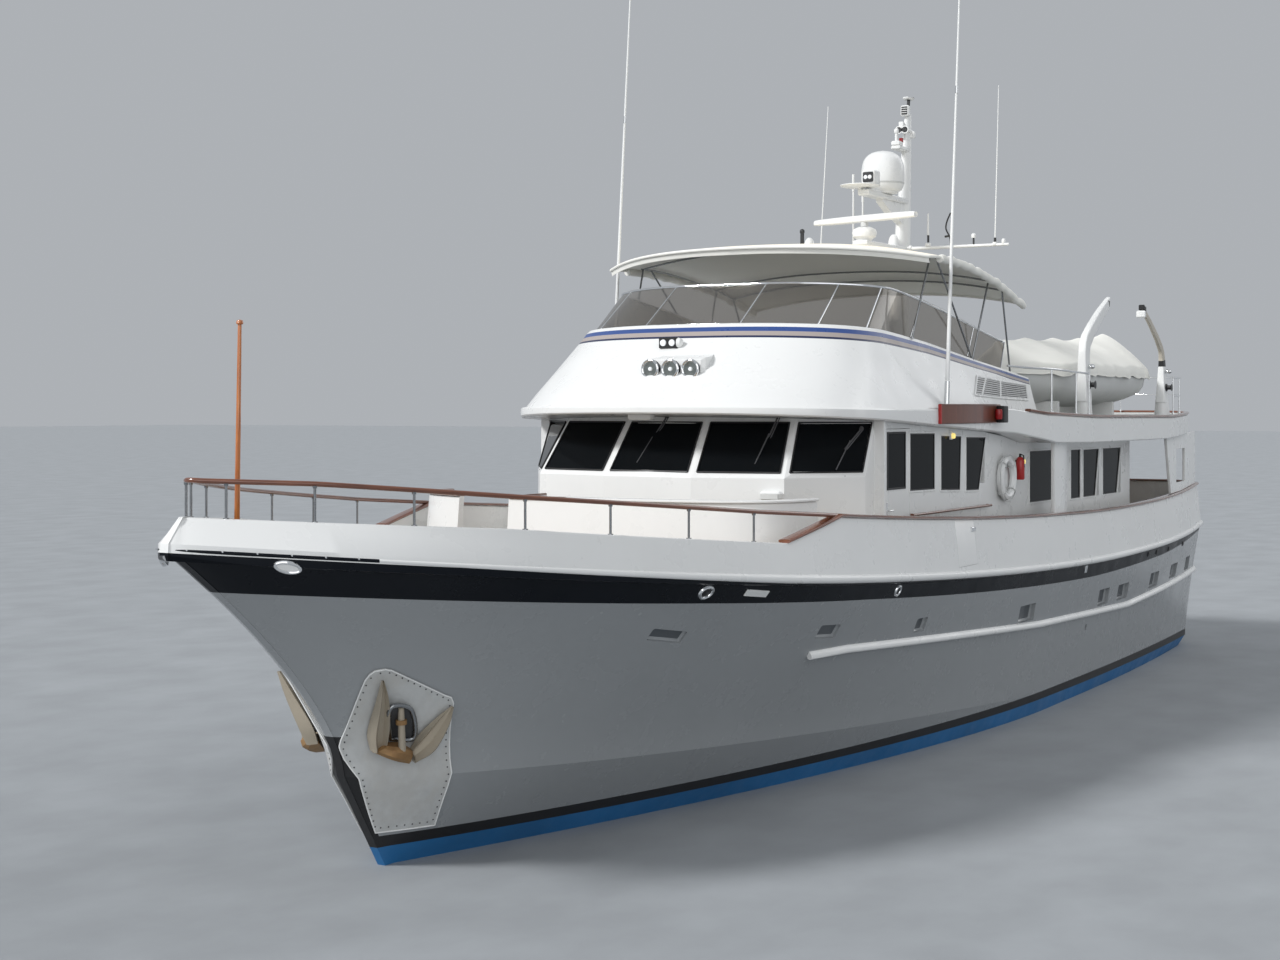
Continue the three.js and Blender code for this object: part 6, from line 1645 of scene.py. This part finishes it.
class YACHT_OT_mast(bpy.types.Operator):
    """Mast: sections that shrink with height, each a teardrop whose radius goes with the sine of
    its angle, with the yard, lamps, dome and radar turned or blocked round their own centres."""
    bl_idname = "yacht.mast"
    bl_label = "Mast, dome and radar"

    def yard(self):
        """The yard with its whips, small aerials and lamps."""
        y = mast_at(YARD_Z)[1]

        def post(x, z0, z1, r0, r1, finish=0):
            """An upright rod on the yard."""
            return rod((x, y, z0), (x, y, z1), r0, r1, 10, finish)

        def bead(x, z, radius, height, finish=0):
            """A knob on the yard."""
            return knob((x, y, z), radius, height, finish)

        bits = [pipe([(-2.05, y, YARD_Z), (0, y, YARD_Z), (2.05, y, YARD_Z)], [0.026, 0.036, 0.026], 12),
                lathe([(0, -0.2), (0.06, -0.19), (0.062, 0.19), (0, 0.2)], (0, y, YARD_Z), axis=0)]
        for x, head, top in ((-1.65, -1.49, 10.88), (1.79, 1.86, 10.99)):
            foot, tip = np.array([x, y, YARD_Z]), np.array([head, y, top])
            bits += [pipe(mix(foot, tip, np.linspace(0, 1, 12)[:, None]), np.linspace(0.014, 0.007, 12), 8),
                     rod(foot, mix(foot, tip, 0.045), 0.026, 0.022, 12, 1),
                     lathe([(0, 0), (0.045, 0), (0.04, 0.05), (0, 0.05)], foot)]
        for x, top in ((-0.974, 9.57), (-0.782, 9.36)):
            bits += [post(x, YARD_Z, top, 0.02, 0.016), post(x, top - 0.32, top, 0.026, 0.024),
                     post(x, YARD_Z, YARD_Z + 0.1, 0.024, 0.02, 1)]
        hook = [(0.95, y, 8.12), (0.935, y, 8.3), (0.86, y, 8.46), (0.88, y, 8.6), (0.95, y, 8.75)]
        bits += [bead(0.516, 8.16, 0.055, 0.07), post(0.516, 8.2, 8.36, 0.02, 0.02, 1),
                 post(0.516, 8.36, 8.76, 0.022, 0.015),
                 pipe(smooth_through(hook, 4), 0.015, 8, finish=1),
                 pipe([(0.84, y, 8.32), (0.92, y, 8.33)], 0.02, 8, finish=1),
                 post(1.388, YARD_Z, 8.28, 0.018, 0.016, 1), bead(1.388, 8.27, 0.042, 0.09),
                 bead(1.95, 8.15, 0.035, 0.09), bead(-1.88, 8.11, 0.1, 0.32),
                 rod((-2.03, y, YARD_Z), (-2.03, y, 8.56), 0.04, 0.036, 12, 1),
                 bead(-2.03, 8.52, 0.046, 0.08, 1), bead(-1.45, 8.14, 0.06, 0.09),
                 bead(-1.2, 8.14, 0.05, 0.07), knob((-0.03, y - 0.32, 8.02), 0.1, 0.36)]
        make("mast_yard", bits, "white charcoal")

    def fittings(self):
        """Arms off the mast for the dome, tray, radar and lamps, and the head."""
        lamp_y, horn_y, head_y = (mast_at(z)[1] for z in (9.9, 10.3, 10.6))
        square = np.array([(-1, -1), (1, -1), (1, 1), (-1, 1)]) * 0.5
        lens = [(0, 0), (0.03, 0), (0.04, 0.02), (0, 0.02)]
        arms = [block((-0.11, TRAY[1] - 0.06, 8.952), (0.11, mast_at(9.0)[1], 9.058), 0.02),
                block((-0.14, RADAR_Y - 0.2, 8.06), (0.14, mast_at(8.2)[1], 8.15), 0.02),
                swept([np.column_stack([square[:, 0] * 0.14, y + 0 * square[:, 0], z
                                        + square[:, 1] * high])
                       for y, z, high in ((DOME_Y - 0.15, 8.93, 0.05), (DOME_Y + 0.25, 8.84, 0.22),
                                          (mast_at(8.8)[1], 8.74, 0.42))]),
                rod(TRAY - (0, 0, 0.09), TRAY, 0.045), lathe([(0, 0), (0.25, 0.002), (0.34, 0.022),
                                                              (0.36, 0.038), (0.352, 0.05), (0.33, 0.045),
                                                              (0, 0.045)], TRAY, sides=40),
                lathe([(0, 0), (0.16, 0), (0.165, 0.02), (0.13, 0.035), (0.145, 0.08), (0.205, 0.12),
                       (0.222, 0.19), (0.2, 0.25), (0.12, 0.29), (0, 0.3)], (0, RADAR_Y, 8.1),
                      sides=36), block(TRAY + (0.1, -0.16, 0.045), TRAY + (0.34, 0.1, 0.285), 0.02),
                block(TRAY + (0.125, -0.185, 0.075), TRAY + (0.315, -0.15, 0.25), 0.01, 1)]
        arms += [lathe(lens, TRAY + (x, -0.2, 0.16), axis=1, finish=2) for x in (0.18, 0.26)]
        lamp = np.array([-0.01, lamp_y - 0.44, 0])
        arms += [block((-0.09, lamp_y - 0.52, 9.932), (0.09, lamp_y, 10.008), 0.02),
                 block((-0.085, lamp_y - 0.53, 10.0), (0.085, lamp_y - 0.35, 10.09), 0.02),
                 rod(lamp + (0, 0, 10.08), lamp + (0, 0, 10.26), 0.03, 0.028, 12),
                 knob(lamp + (0, 0, 10.24), 0.045, 0.09),
                 rod((0, lamp_y - 0.24, 9.99), (0, lamp_y - 0.24, 10.1), 0.025),
                 lathe([(0, 0), (0.038, 0), (0.038, 0.08), (0, 0.08)], (0, lamp_y - 0.24, 10.09), finish=3)]
        for x in (0.06, -0.06):
            foot, mouth = np.array([x, horn_y + 0.06, 10.33]), np.array([x, horn_y - 0.26, 10.33])
            bell = mix(foot, mouth, np.array([0, 0.1, 0.6, 0.85, 1])[:, None])
            arms += [pipe(bell, [0.03, 0.03, 0.035, 0.05, 0.073], 16),
                     rod(mouth + (0, 0.012, 0), mouth - (0, 0.002, 0), 0.055, 0.055, 16, 1)]
        arms += [block((-0.11, horn_y - 0.15, 10.36), (-0.02, horn_y - 0.05, 10.5), 0.012),
                 block((0.07, horn_y - 0.03, 10.2), (0.15, horn_y + 0.06, 10.32), 0.012),
                 block((-0.08, head_y - 0.17, 10.6), (0.08, head_y - 0.06, 10.8), 0.02),
                 block((-0.06, head_y - 0.176, 10.625), (0.06, head_y - 0.15, 10.775), 0.005, 1)]
        arms += [block((-0.055, head_y - 0.182, z), (0.055, head_y - 0.172, z + 0.012), 0.003)
                 for z in (10.655, 10.695, 10.735)]
        disc_top = mast_at(10.945)
        arms += [rod(mast_at(10.5), mast_at(10.93), 0.026, 0.03, 12, 1),
                 rod(mast_at(10.925), disc_top, 0.085, 0.108, 24),
                 block(disc_top - (0.105, 0.03, 0), disc_top + (0.0, 0.03, 0.042), 0.01),
                 pipe([mast_at(10.95) - (0.02, 0, 0), mast_at(10.95) + (0.1, 0, 0)], 0.016, 8, finish=1)]
        make("mast_fittings", arms, "white charcoal clear_lens red_lens")

    def execute(self, context):
        angle = circle(24)
        c, d = np.cos(angle), np.sin(angle)
        levels = [4.95, 8, 9.9, 10.65]
        rings = []
        for z in np.concatenate([np.linspace(4.96, 8, 8), np.linspace(8.2, 10.64, 10), [10.65]]):
            fore = np.interp(z, levels, [0.33, 0.23, 0.13, 0.09])
            half = np.interp(z, levels, [0.19, 0.145, 0.09, 0.06])
            rings.append(mast_at(z) + np.stack([d * half * (1 - 0.25 * (c < 0) * c ** 2), c * fore, 0 * d],
                                               1))
        make("mast_spar", [swept(rings)], "white", replaces=["mast"])
        self.yard()
        self.fittings()
        profile = smooth_through([(0.0, 0.0), (0.24, 0.0), (0.27, 0.03), (0.34, 0.07), (0.383, 0.2),
                                  (0.384, 0.42), (0.34, 0.61), (0.21, 0.73), (0.0, 0.78)], 5)
        seam = lathe([(0.35, 0.12), (0.388, 0.18), (0.388, 0.195), (0.35, 0.21)], (0, DOME_Y, 9.0603),
                     sides=48, finish=1)
        make("dome", [lathe(profile, (0, DOME_Y, 9.0603), sides=48), seam], "white shade_white",
             replaces=["satellite_dome"])
        length = smooth_through([(-1.12, 0.03, 0.05), (-1.1, 0.06, 0.1), (-0.6, 0.075, 0.125),
                                 (0, 0.085, 0.13), (0.6, 0.075, 0.125), (1.1, 0.06, 0.1),
                                 (1.12, 0.03, 0.05)], 4)
        a, b = superellipse(24, 0.6, 0.7, 0)
        rings = np.stack([length[:, :1] * np.ones(24), length[:, 1:2] * a * (1 - 0.18 * d),
                          0.14 + length[:, 2:] * 0.5 * b], -1)
        pivot = np.array([0, RADAR_Y, 8.4004])
        bar = swept(rings + pivot)
        collar = lathe([(0, 0.0005), (0.068, 0.0005), (0.068, 0.05), (0.06, 0.11), (0, 0.11)], pivot,
                       finish=1)
        make("radar_bar", [p.turned(math.radians(-16), pivot) for p in (bar, collar)],
             "white shade_white", "radar_array", ["radar_array"])
        foot, tip = at(2.965, 9.9, 5.14), at(2.965, 10.56, 12.895)
        path = mix(foot, tip, np.linspace(0, 1, 24)[:, None])
        whip = [pipe(path, np.linspace(0.034, 0.01, 24), 12), rod(foot, mix(foot, tip, 0.06), 0.042, 0.04,
                12, 1), rod(mix(foot, tip, 0.63), mix(foot, tip, 0.645), 0.026, 0.022, 12, 1)]
        for side, patches in each_side(whip):
            make("whip_" + side, patches, "white stainless", replaces=["whip_aerial_" + side])
        return {"FINISHED"}


# The tender's stations: (s, half breadth, keel z, gunwale z)
TENDER = [(15.4, 0.06, 5.66, 6.06), (15.9, 0.56, 5.4, 6.07), (17.1, 0.96, 5.235, 6.01),
          (19.2, 1.05, 5.225, 5.99), (21.1, 1.02, 5.25, 5.97), (22.0, 0.9, 5.32, 5.96)]
TENDER_X = 1.75


class YACHT_OT_tender(bpy.types.Operator):
    """Tender: stations of its hull from keel to gunwale, smooth along the length, and a canvas cover
    draped over a ridge, its foot drawn in by a line below the gunwale."""
    bl_idname = "yacht.tender"
    bl_label = "Tender and davits"

    def execute(self, context):
        rows = smooth_through(TENDER, 8)
        s, half, low, top = rows.T
        section = [(0.04, 0.0), (0.35, 0.04), (0.6, 0.11), (0.85, 0.21), (0.95, 0.33), (1.0, 0.55),
                   (0.97, 0.74)]
        port = np.stack([at(TENDER_X + np.maximum(0.03, half * a), s,
                            np.minimum(low + b, top - 0.001 * (9 - i)))
                         for i, (a, b) in enumerate(section)], 1)
        mirror = port[:, ::-1] * (-1, 1, 1) + (2 * TENDER_X, 0, 0)
        make("tender_hull", [swept(np.concatenate([port, mirror], 1))], "shade_white", replaces=["tender"])
        strakes = [pipe(at(TENDER_X + half * 1.0, s, top - 0.135), 0.016, 8, finish=1)]
        make("tender_strakes", strakes + [p.where(lambda v: v * (-1, 1, 1) + (2 * TENDER_X, 0, 0))
                                          for p in strakes], "white black")
        grid = self.cover_grid()
        cover = make("tender_canvas", [plate(grid, 0.004)], "canvas", replaces=["tender_cover"], sharp=60)
        hem = make("tender_hem", [pipe(grid[:, 0], 0.011, 8), pipe(grid[:, -1], 0.011, 8),
                                  pipe(grid[0], 0.009, 8), pipe(grid[-1], 0.009, 8)], "canvas")
        for name, station, side in zip(("davit_forward", "davit_aft"), DAVIT_S, (1, -1)):
            self.davit(name, station, side)
        return {"FINISHED"}

    def cover_grid(self):
        """The cover as a grid: along it the ridge climbs aft, across it the cloth falls from the
        ridge with a power of the breadth, and folds run down it as sines that grow to the edge.
        At the bow and the transom it falls straight down in rows of lower and lower arches."""
        f = np.linspace(0, 1, 97)
        s = mix(15.4, 22.0, f)
        rows = smooth_through(TENDER, 16)
        half = np.interp(s, rows[:, 0], rows[:, 1]) + 0.045
        ridge = table([(15.4, 6.385), (15.9, 6.49), (17.5, 6.53), (20.4, 6.62), (22.0, 6.76)], s)
        ridge = ridge - 0.055 * np.abs(np.sin((s - 15.4) * 1.9))
        u = np.linspace(-1, 1, 61)
        a = np.abs(u)
        fall = np.where(a < 0.86, 1 - (a / 0.86) ** 1.35, 0)
        skirt = unit((a - 0.86) / 0.14)
        wide = np.interp(a, [0, 0.86, 0.93, 1], [0, 0.985, 1.012, 1.0])
        fold = ((0.01 + 0.024 * np.sin(7.3 * s + 2.2 * np.sin(1.7 * s)))[:, None] * unit(a * 1.3)[None] ** 2
                + 0.01 * np.sin(17.0 * s[:, None] + 5 * u[None]) * unit(a - 0.3)[None])
        x = TENDER_X + np.sign(u) * wide * half[:, None] + np.sign(u) * fold * (a > 0.5)
        z = mix(6.025, ridge[:, None], fall[None]) - 0.2 * skirt[None] - fold * 0.8
        z += 0.02 * np.sin(9 * s)[:, None] * skirt[None]
        grid = at(x, s[:, None], z)
        ends = []
        for row, step in ((grid[0], -1), (grid[-1], 1)):
            lower = [np.stack([row[:, 0], row[:, 1] + step * 0.012 * k + 0.01 * np.sin(9 * row[:, 0] + k),
                               np.minimum(row[:, 2], mix(row[:, 2], 5.85, k / 6))], 1) for k in range(1, 7)]
            ends.append(np.array(lower[::-1] if step < 0 else lower))
        return np.concatenate([ends[0], grid, ends[1]])

    def davit(self, name, station, side):
        """A davit: a rounded blade whose section turns with the line of its arm, its sheaves, and
        its own fittings."""
        line = np.array([(0, 5.3205, 0.32, 0.22), (0, 5.65, 0.29, 0.19), (0, 6.05, 0.27, 0.16),
                         (0.01, 6.18, 0.275, 0.155), (0.05, 6.33, 0.285, 0.15), (0.12, 6.42, 0.285, 0.14),
                         (0.42, 6.63, 0.26, 0.125), (0.9, 6.9, 0.23, 0.11), (1.42, 7.15, 0.2, 0.09),
                         (1.5, 7.19, 0.19, 0.08)])
        if side < 0:
            line[:, 2:] *= np.interp(line[:, 1:2], [5.3, 6.0, 6.4], [1, 0.75, 0.55])
        reach, z, deep, wide = line.T
        t = normed(np.stack([np.gradient(reach), np.gradient(z)], 1))
        t[0], t[-1] = (0, 1), (1, 0.02)
        a, b = superellipse(20, 0.28)
        x = DAVIT_X + wide[:, None] * a / 2
        y = aft(station) + side * (reach[:, None] + b * t[:, 1:] * deep[:, None] / 2)
        rings = np.stack([x, y, z[:, None] - b * t[:, :1] * deep[:, None] / 2], -1)
        above = 0.5 * (z[1:] + z[:-1])
        arm = swept(rings, finish=np.tile(((above > 6.1) * 2 - (above > 6.19) * 1)[:, None] * (side < 0), 20))
        tip = rings[-1].mean(0)
        foot = np.array([DAVIT_X, aft(station), 0])
        gear = [lathe([(0, -0.035), (0.055, -0.035), (0.04, 0), (0.055, 0.035), (0, 0.035)], tip
                      + (0, -side * 0.1, -0.07), axis=0, finish=1),
                block(tip + (-0.012, -side * 0.17, -0.1), tip + (-0.045, -side * 0.03, 0.03), 0.01, 2),
                block(tip + (0.012, -side * 0.17, -0.1), tip + (0.045, -side * 0.03, 0.03), 0.01, 2),
                lathe([(0, 0), (0.03, 0.0), (0.045, 0.03), (0.045, 0.09), (0.03, 0.12), (0, 0.12)], foot
                      + (0.075, 0, 5.95), axis=0, finish=1),
                lathe([(0, 0), (0.075, 0), (0.08, 0.02), (0.045, 0.04), (0.045, 0.1), (0.075, 0.12),
                       (0, 0.125)], foot + (0.085, side * 0.02, 5.62), axis=0, finish=2)]
        if side < 0:
            gear += [block(tip + (-0.06, -side * 0.02, -0.05), tip + (0.06, side * 0.03, 0.06), 0.015, 2),
                     block(tip + (-0.09, side * 0.1, -0.2), tip + (0.09, side * 0.0, -0.06), 0.02, 0)]
        make(name + "_arm", [arm], "white beige black", name, [name])
        make(name + "_gear", gear, "white stainless black", name)


class YACHT_OT_deck_rails(bpy.types.Operator):
    """Boat deck rails: a smooth path at hand height and one half way, on posts with flanges."""
    bl_idname = "yacht.deck_rails"
    bl_label = "Boat deck rails"

    def execute(self, context):
        run = [(-3.28, 13.9), (-3.28, 16.5), (-3.28, 19.0), (-3.28, 21.0), (-3.13, 22.9), (-2.85, 23.95),
               (-2.4, 24.38), (-1.4, 24.56), (0, 24.58), (1.4, 24.56), (2.4, 24.38), (2.85, 23.95),
               (3.12, 22.9), (3.15, 22.3)]
        ahead = [(2.78, 13.15), (3.28, 13.95), (3.28, 15.3), (3.28, 16.05)]
        for name, rows, first, heights in (("boat_deck_rail", run, 0, (0.78, 0.405)),
                                           ("boat_deck_rail_forward", ahead, 1, (0.78,))):
            path = smooth_through(rows, 6)
            tubes = [pipe(at(path[:, 0], path[:, 1], upper_top_z(path[:, 1]) + h), 0.019 if h > 0.5
                          else 0.012, 10) for h in heights]
            for x, s in rows[first:]:
                z = upper_top_z(s)
                tubes += [rod(at(x, s, z), at(x, s, z + 0.78), 0.015),
                          rod(at(x, s, z + 0.048), at(x, s, z + 0.068), 0.036, 0.03, 12)]
            make(name + "_tube", tubes, "stainless", replaces=[name])
        return {"FINISHED"}


PLATE_FORE = [(-0.225, 0.43), (-0.825, 1.46), (-0.855, 1.57), (-0.985, 2.27), (-0.98, 2.34), (-0.955, 2.38)]
PLATE_AFT = [(0.44, 0.43), (0.02, 1.93), (-0.035, 2.0), (-0.12, 2.035), (-0.8, 2.375), (-0.87, 2.395)]
BOW_OUT = np.array([0.84, -0.5, -0.2])
# Flukes from the tip down: outer edge and inner edge (x, s, z), and how proud their ridge stands
FLUKES = [[((0.69, -0.893, 2.27), (0.716, -0.878, 2.27), 0.06),
           ((0.545, -0.82, 2.0), (0.651, -0.71, 2.03), 0.13),
           ((0.361, -0.728, 1.665), (0.56, -0.59, 1.73), 0.18),
           ((0.339, -0.649, 1.454), (0.48, -0.54, 1.5), 0.16)],
          [((0.985, 0.012, 1.89), (0.97, -0.015, 1.9), 0.06),
           ((0.89, 0.03, 1.69), (0.85, -0.13, 1.775), 0.13),
           ((0.745, -0.06, 1.42), (0.697, -0.236, 1.599), 0.18),
           ((0.6, -0.23, 1.29), (0.61, -0.286, 1.444), 0.16)]]
CROWN = [((0.339, -0.649, 1.454), (0.47, -0.55, 1.53), 0.15),
         ((0.44, -0.47, 1.37), (0.56, -0.42, 1.52), 0.235),
         ((0.56, -0.29, 1.29), (0.61, -0.286, 1.444), 0.15)]
HAWSE = [(0.5, -0.5, 1.57), (0.65, -0.69, 1.94), (0.735, -0.43, 1.9), (0.65, -0.27, 1.56)]


def proud(point, out):
    """A point (x, s, z) moved out from the port bow."""
    return at(*point) + out * BOW_OUT


class YACHT_OT_ground_tackle(bpy.types.Operator):
    """Ground tackle: each bow's plate is a sheet ruled between its fore and after edges on the
    flare, with rivets round it. An anchor's flukes are sections of eight points, smooth from row
    to row, that stand out to a ridge."""
    bl_idname = "yacht.ground_tackle"
    bl_label = "Ground tackle"

    def execute(self, context):
        for side in ("port", "starboard"):
            dress("propeller_" + side, "bronze", 0.004)
            dress("rudder_" + side, "bottom", 0.006)
        share = np.linspace(0, 1, 46)
        fore, after = (np.stack([np.interp(share * (len(line) - 1), range(len(line)), column)
                                 for column in zip(*line)], 1) for line in (PLATE_FORE, PLATE_AFT))
        across = np.linspace(0, 1, 25)
        flat = mix(fore[:, None], after[:, None], across[None, :, None])
        place, out = side_at(flat[..., 0], flat[..., 1])
        place[..., 0] = np.maximum(place[..., 0], 0.075)
        grid = place + out * 0.021
        sheet = plate(grid[::-1], 0.03)
        edge = np.concatenate([flat[0], flat[1:, -1], flat[-1, ::-1], flat[::-1, 0]])
        middle = edge.mean(0)
        edge = middle + (edge - middle) * (1 - 0.09 / np.ptp(edge, axis=0))
        gone = run_of(edge)
        spots = np.stack([np.interp(np.arange(0.05, gone[-1], 0.085), gone, edge[:, k]) for k in (0, 1)], 1)
        centre, normal = side_at(spots[:, 0], spots[:, 1])
        rivets = [oriented(disc(0.009, 0.009, 0.008, 0.018, 1, 8), c + n * 0.008, n)
                  for c, n in zip(centre, normal)]
        rim_line = np.concatenate([grid[0], grid[1:, -1], grid[-1, -2::-1], grid[-2:0:-1, 0]])
        bars = [pipe(rim_line, 0.009, 8, loop=True, finish=3)]
        frame_line = np.array([proud(p, 0.03) for p in HAWSE])
        # The hawse's opening is filled by a flat charcoal panel: painted shade, a dark sheet standing for the
        # shaded hollow of the hawse.
        hawse = [pipe(smooth_through(np.concatenate([frame_line, frame_line[:1]]), 6)[:-1], 0.028, 10,
                      loop=True, finish=2), panel([proud(p, -0.01) for p in HAWSE], 0.03, BOW_OUT, 1)]
        plates = [sheet] + rivets + bars + hawse
        for side, patches in each_side(plates):
            make("bow_plate_" + side, patches, "plate_steel charcoal rail_steel white",
                 replaces=["anchor_plate_" + side])
        iron = []
        for rows in FLUKES:
            rings = []
            for outer, inner, ridge in rows:
                a, b = np.array(outer), np.array(inner)
                spots = [(0, 0.035), (0.07, ridge * 0.8), (0.2, ridge), (0.42, ridge * 0.5),
                         (0.7, ridge * 0.34), (0.9, ridge * 0.62), (1, 0.035), (0.5, 0.012)]
                rings.append([proud(mix(a, b, f), d) for f, d in spots])
            iron.append(swept(smooth_through(np.array(rings), 5)))
        rings = []
        for foot, head, ridge in CROWN:
            a, b = np.array(foot), np.array(head)
            rings.append([proud(mix(a, b, f), d) for f, d in ((0, 0.02), (0.05, ridge * 0.8), (0.3, ridge),
                                                              (0.7, ridge), (0.95, ridge * 0.8), (1, 0.02))])
        iron.append(swept(smooth_through(np.array(rings), 6), finish=1))
        shank = proud((0.56, -0.43, 1.47), 0.15), proud((0.69, -0.545, 1.93), 0.02)
        iron += [rod(*shank, 0.042, 0.036, 12), rod(mix(*shank, 0.62), mix(*shank, 0.72), 0.062, 0.062, 12,
                                                    1)]
        for side, patches in each_side(iron):
            make("bower_" + side, patches, "galvanised rusted", replaces=["anchor_" + side], sharp=32)
        return {"FINISHED"}


FLOOR_REACH = 400.0
CAMERA_AT = (13.32, -29.42, 5.2)
CAMERA_ASIDE = (0.5075, 0.8616)
CAMERA_LENS = 52.54
CAMERA_SHIFT = -0.05625
# Lamps: name, the direction that the light comes from, its breadth in degrees and its strength
LAMPS = [("key", (-0.45, -0.66, 0.6), 12, 2.8), ("fill", (0.6, -0.77, 0.22), 60, 0.95),
         ("back", (0.35, 0.8, 0.5), 40, 0.5)]
SKY, SKY_STRENGTH = (0.84, 0.88, 0.93, 1), 0.5


class YACHT_OT_studio(bpy.types.Operator):
    """Studio: a pale floor at the waterline, a camera at the photograph's angle with its horizon
    shifted, and three wide distant lamps."""
    bl_idname = "yacht.studio"
    bl_label = "Studio"

    def execute(self, context):
        scene = context.scene
        mesh = bpy.data.meshes.new("floor")
        mesh.from_pydata([(x * FLOOR_REACH, y * FLOOR_REACH, 0) for x, y in ((-1, -1), (1, -1), (1, 1),
                          (-1, 1))], [], [(0, 1, 2, 3)])
        mesh.materials.append(paint("floor"))
        camera = bpy.data.cameras.new("camera")
        camera.sensor_width = 36
        camera.lens = CAMERA_LENS
        camera.shift_y = CAMERA_SHIFT
        camera.clip_end = 2000
        stage = [bpy.data.objects.new("floor", mesh), bpy.data.objects.new("camera", camera)]
        eye = stage[1]
        eye.location = CAMERA_AT
        eye.rotation_euler = (math.pi / 2, 0, math.atan2(*CAMERA_ASIDE))
        scene.camera = eye
        for name, (x, y, z), angle, power in LAMPS:
            lamp = bpy.data.lights.new(name, "SUN")
            lamp.angle = math.radians(angle)
            lamp.energy = power
            stage.append(bpy.data.objects.new(name, lamp))
            stage[-1].rotation_euler = (math.atan2(math.hypot(x, y), z), 0, math.atan2(x, -y))
        for obj in stage:
            scene.collection.objects.link(obj)
        scene.world = scene.world or bpy.data.worlds.new("sky")
        scene.world.use_nodes = True
        sky = scene.world.node_tree.nodes["Background"].inputs
        sky["Color"].default_value = SKY
        sky["Strength"].default_value = SKY_STRENGTH
        scene.view_settings.view_transform = "Standard"
        return {"FINISHED"}


PIECES = (YACHT_OT_hull, YACHT_OT_bulwark, YACHT_OT_cap_rails, YACHT_OT_foredeck, YACHT_OT_deckhouse,
          YACHT_OT_boat_deck, YACHT_OT_windscreen, YACHT_OT_flybridge, YACHT_OT_bimini, YACHT_OT_mast,
          YACHT_OT_tender, YACHT_OT_deck_rails, YACHT_OT_ground_tackle, YACHT_OT_studio)


class YACHT_PT_panel(bpy.types.Panel):
    """Sizes, colours and the pieces, in the order that they are built."""
    bl_idname = "YACHT_PT_panel"
    bl_label = "Motor yacht"
    bl_space_type = "VIEW_3D"
    bl_region_type = "UI"
    bl_category = "Yacht"

    def draw(self, context):
        layout = self.layout
        for group in (context.scene.yacht_sizes, context.scene.yacht_colours):
            box = layout.box()
            for name in group.__annotations__:
                box.prop(group, name)
        for piece in PIECES:
            layout.operator(piece.bl_idname)


CLASSES = (YachtSizes, YachtColours) + PIECES + (YACHT_PT_panel,)


def register():
    """The classes, and the two groups of settings on the scene."""
    for cls in CLASSES:
        bpy.utils.register_class(cls)
    bpy.types.Scene.yacht_sizes = bpy.props.PointerProperty(type=YachtSizes)
    bpy.types.Scene.yacht_colours = bpy.props.PointerProperty(type=YachtColours)


def unregister():
    """Takes away what register added."""
    del bpy.types.Scene.yacht_sizes
    del bpy.types.Scene.yacht_colours
    for cls in reversed(CLASSES):
        bpy.utils.unregister_class(cls)


def main():
    """Registers the classes and builds the pieces in order."""
    register()
    for piece in PIECES:
        group, name = piece.bl_idname.split(".")
        getattr(getattr(bpy.ops, group), name)()


if __name__ == "__main__":
    main()
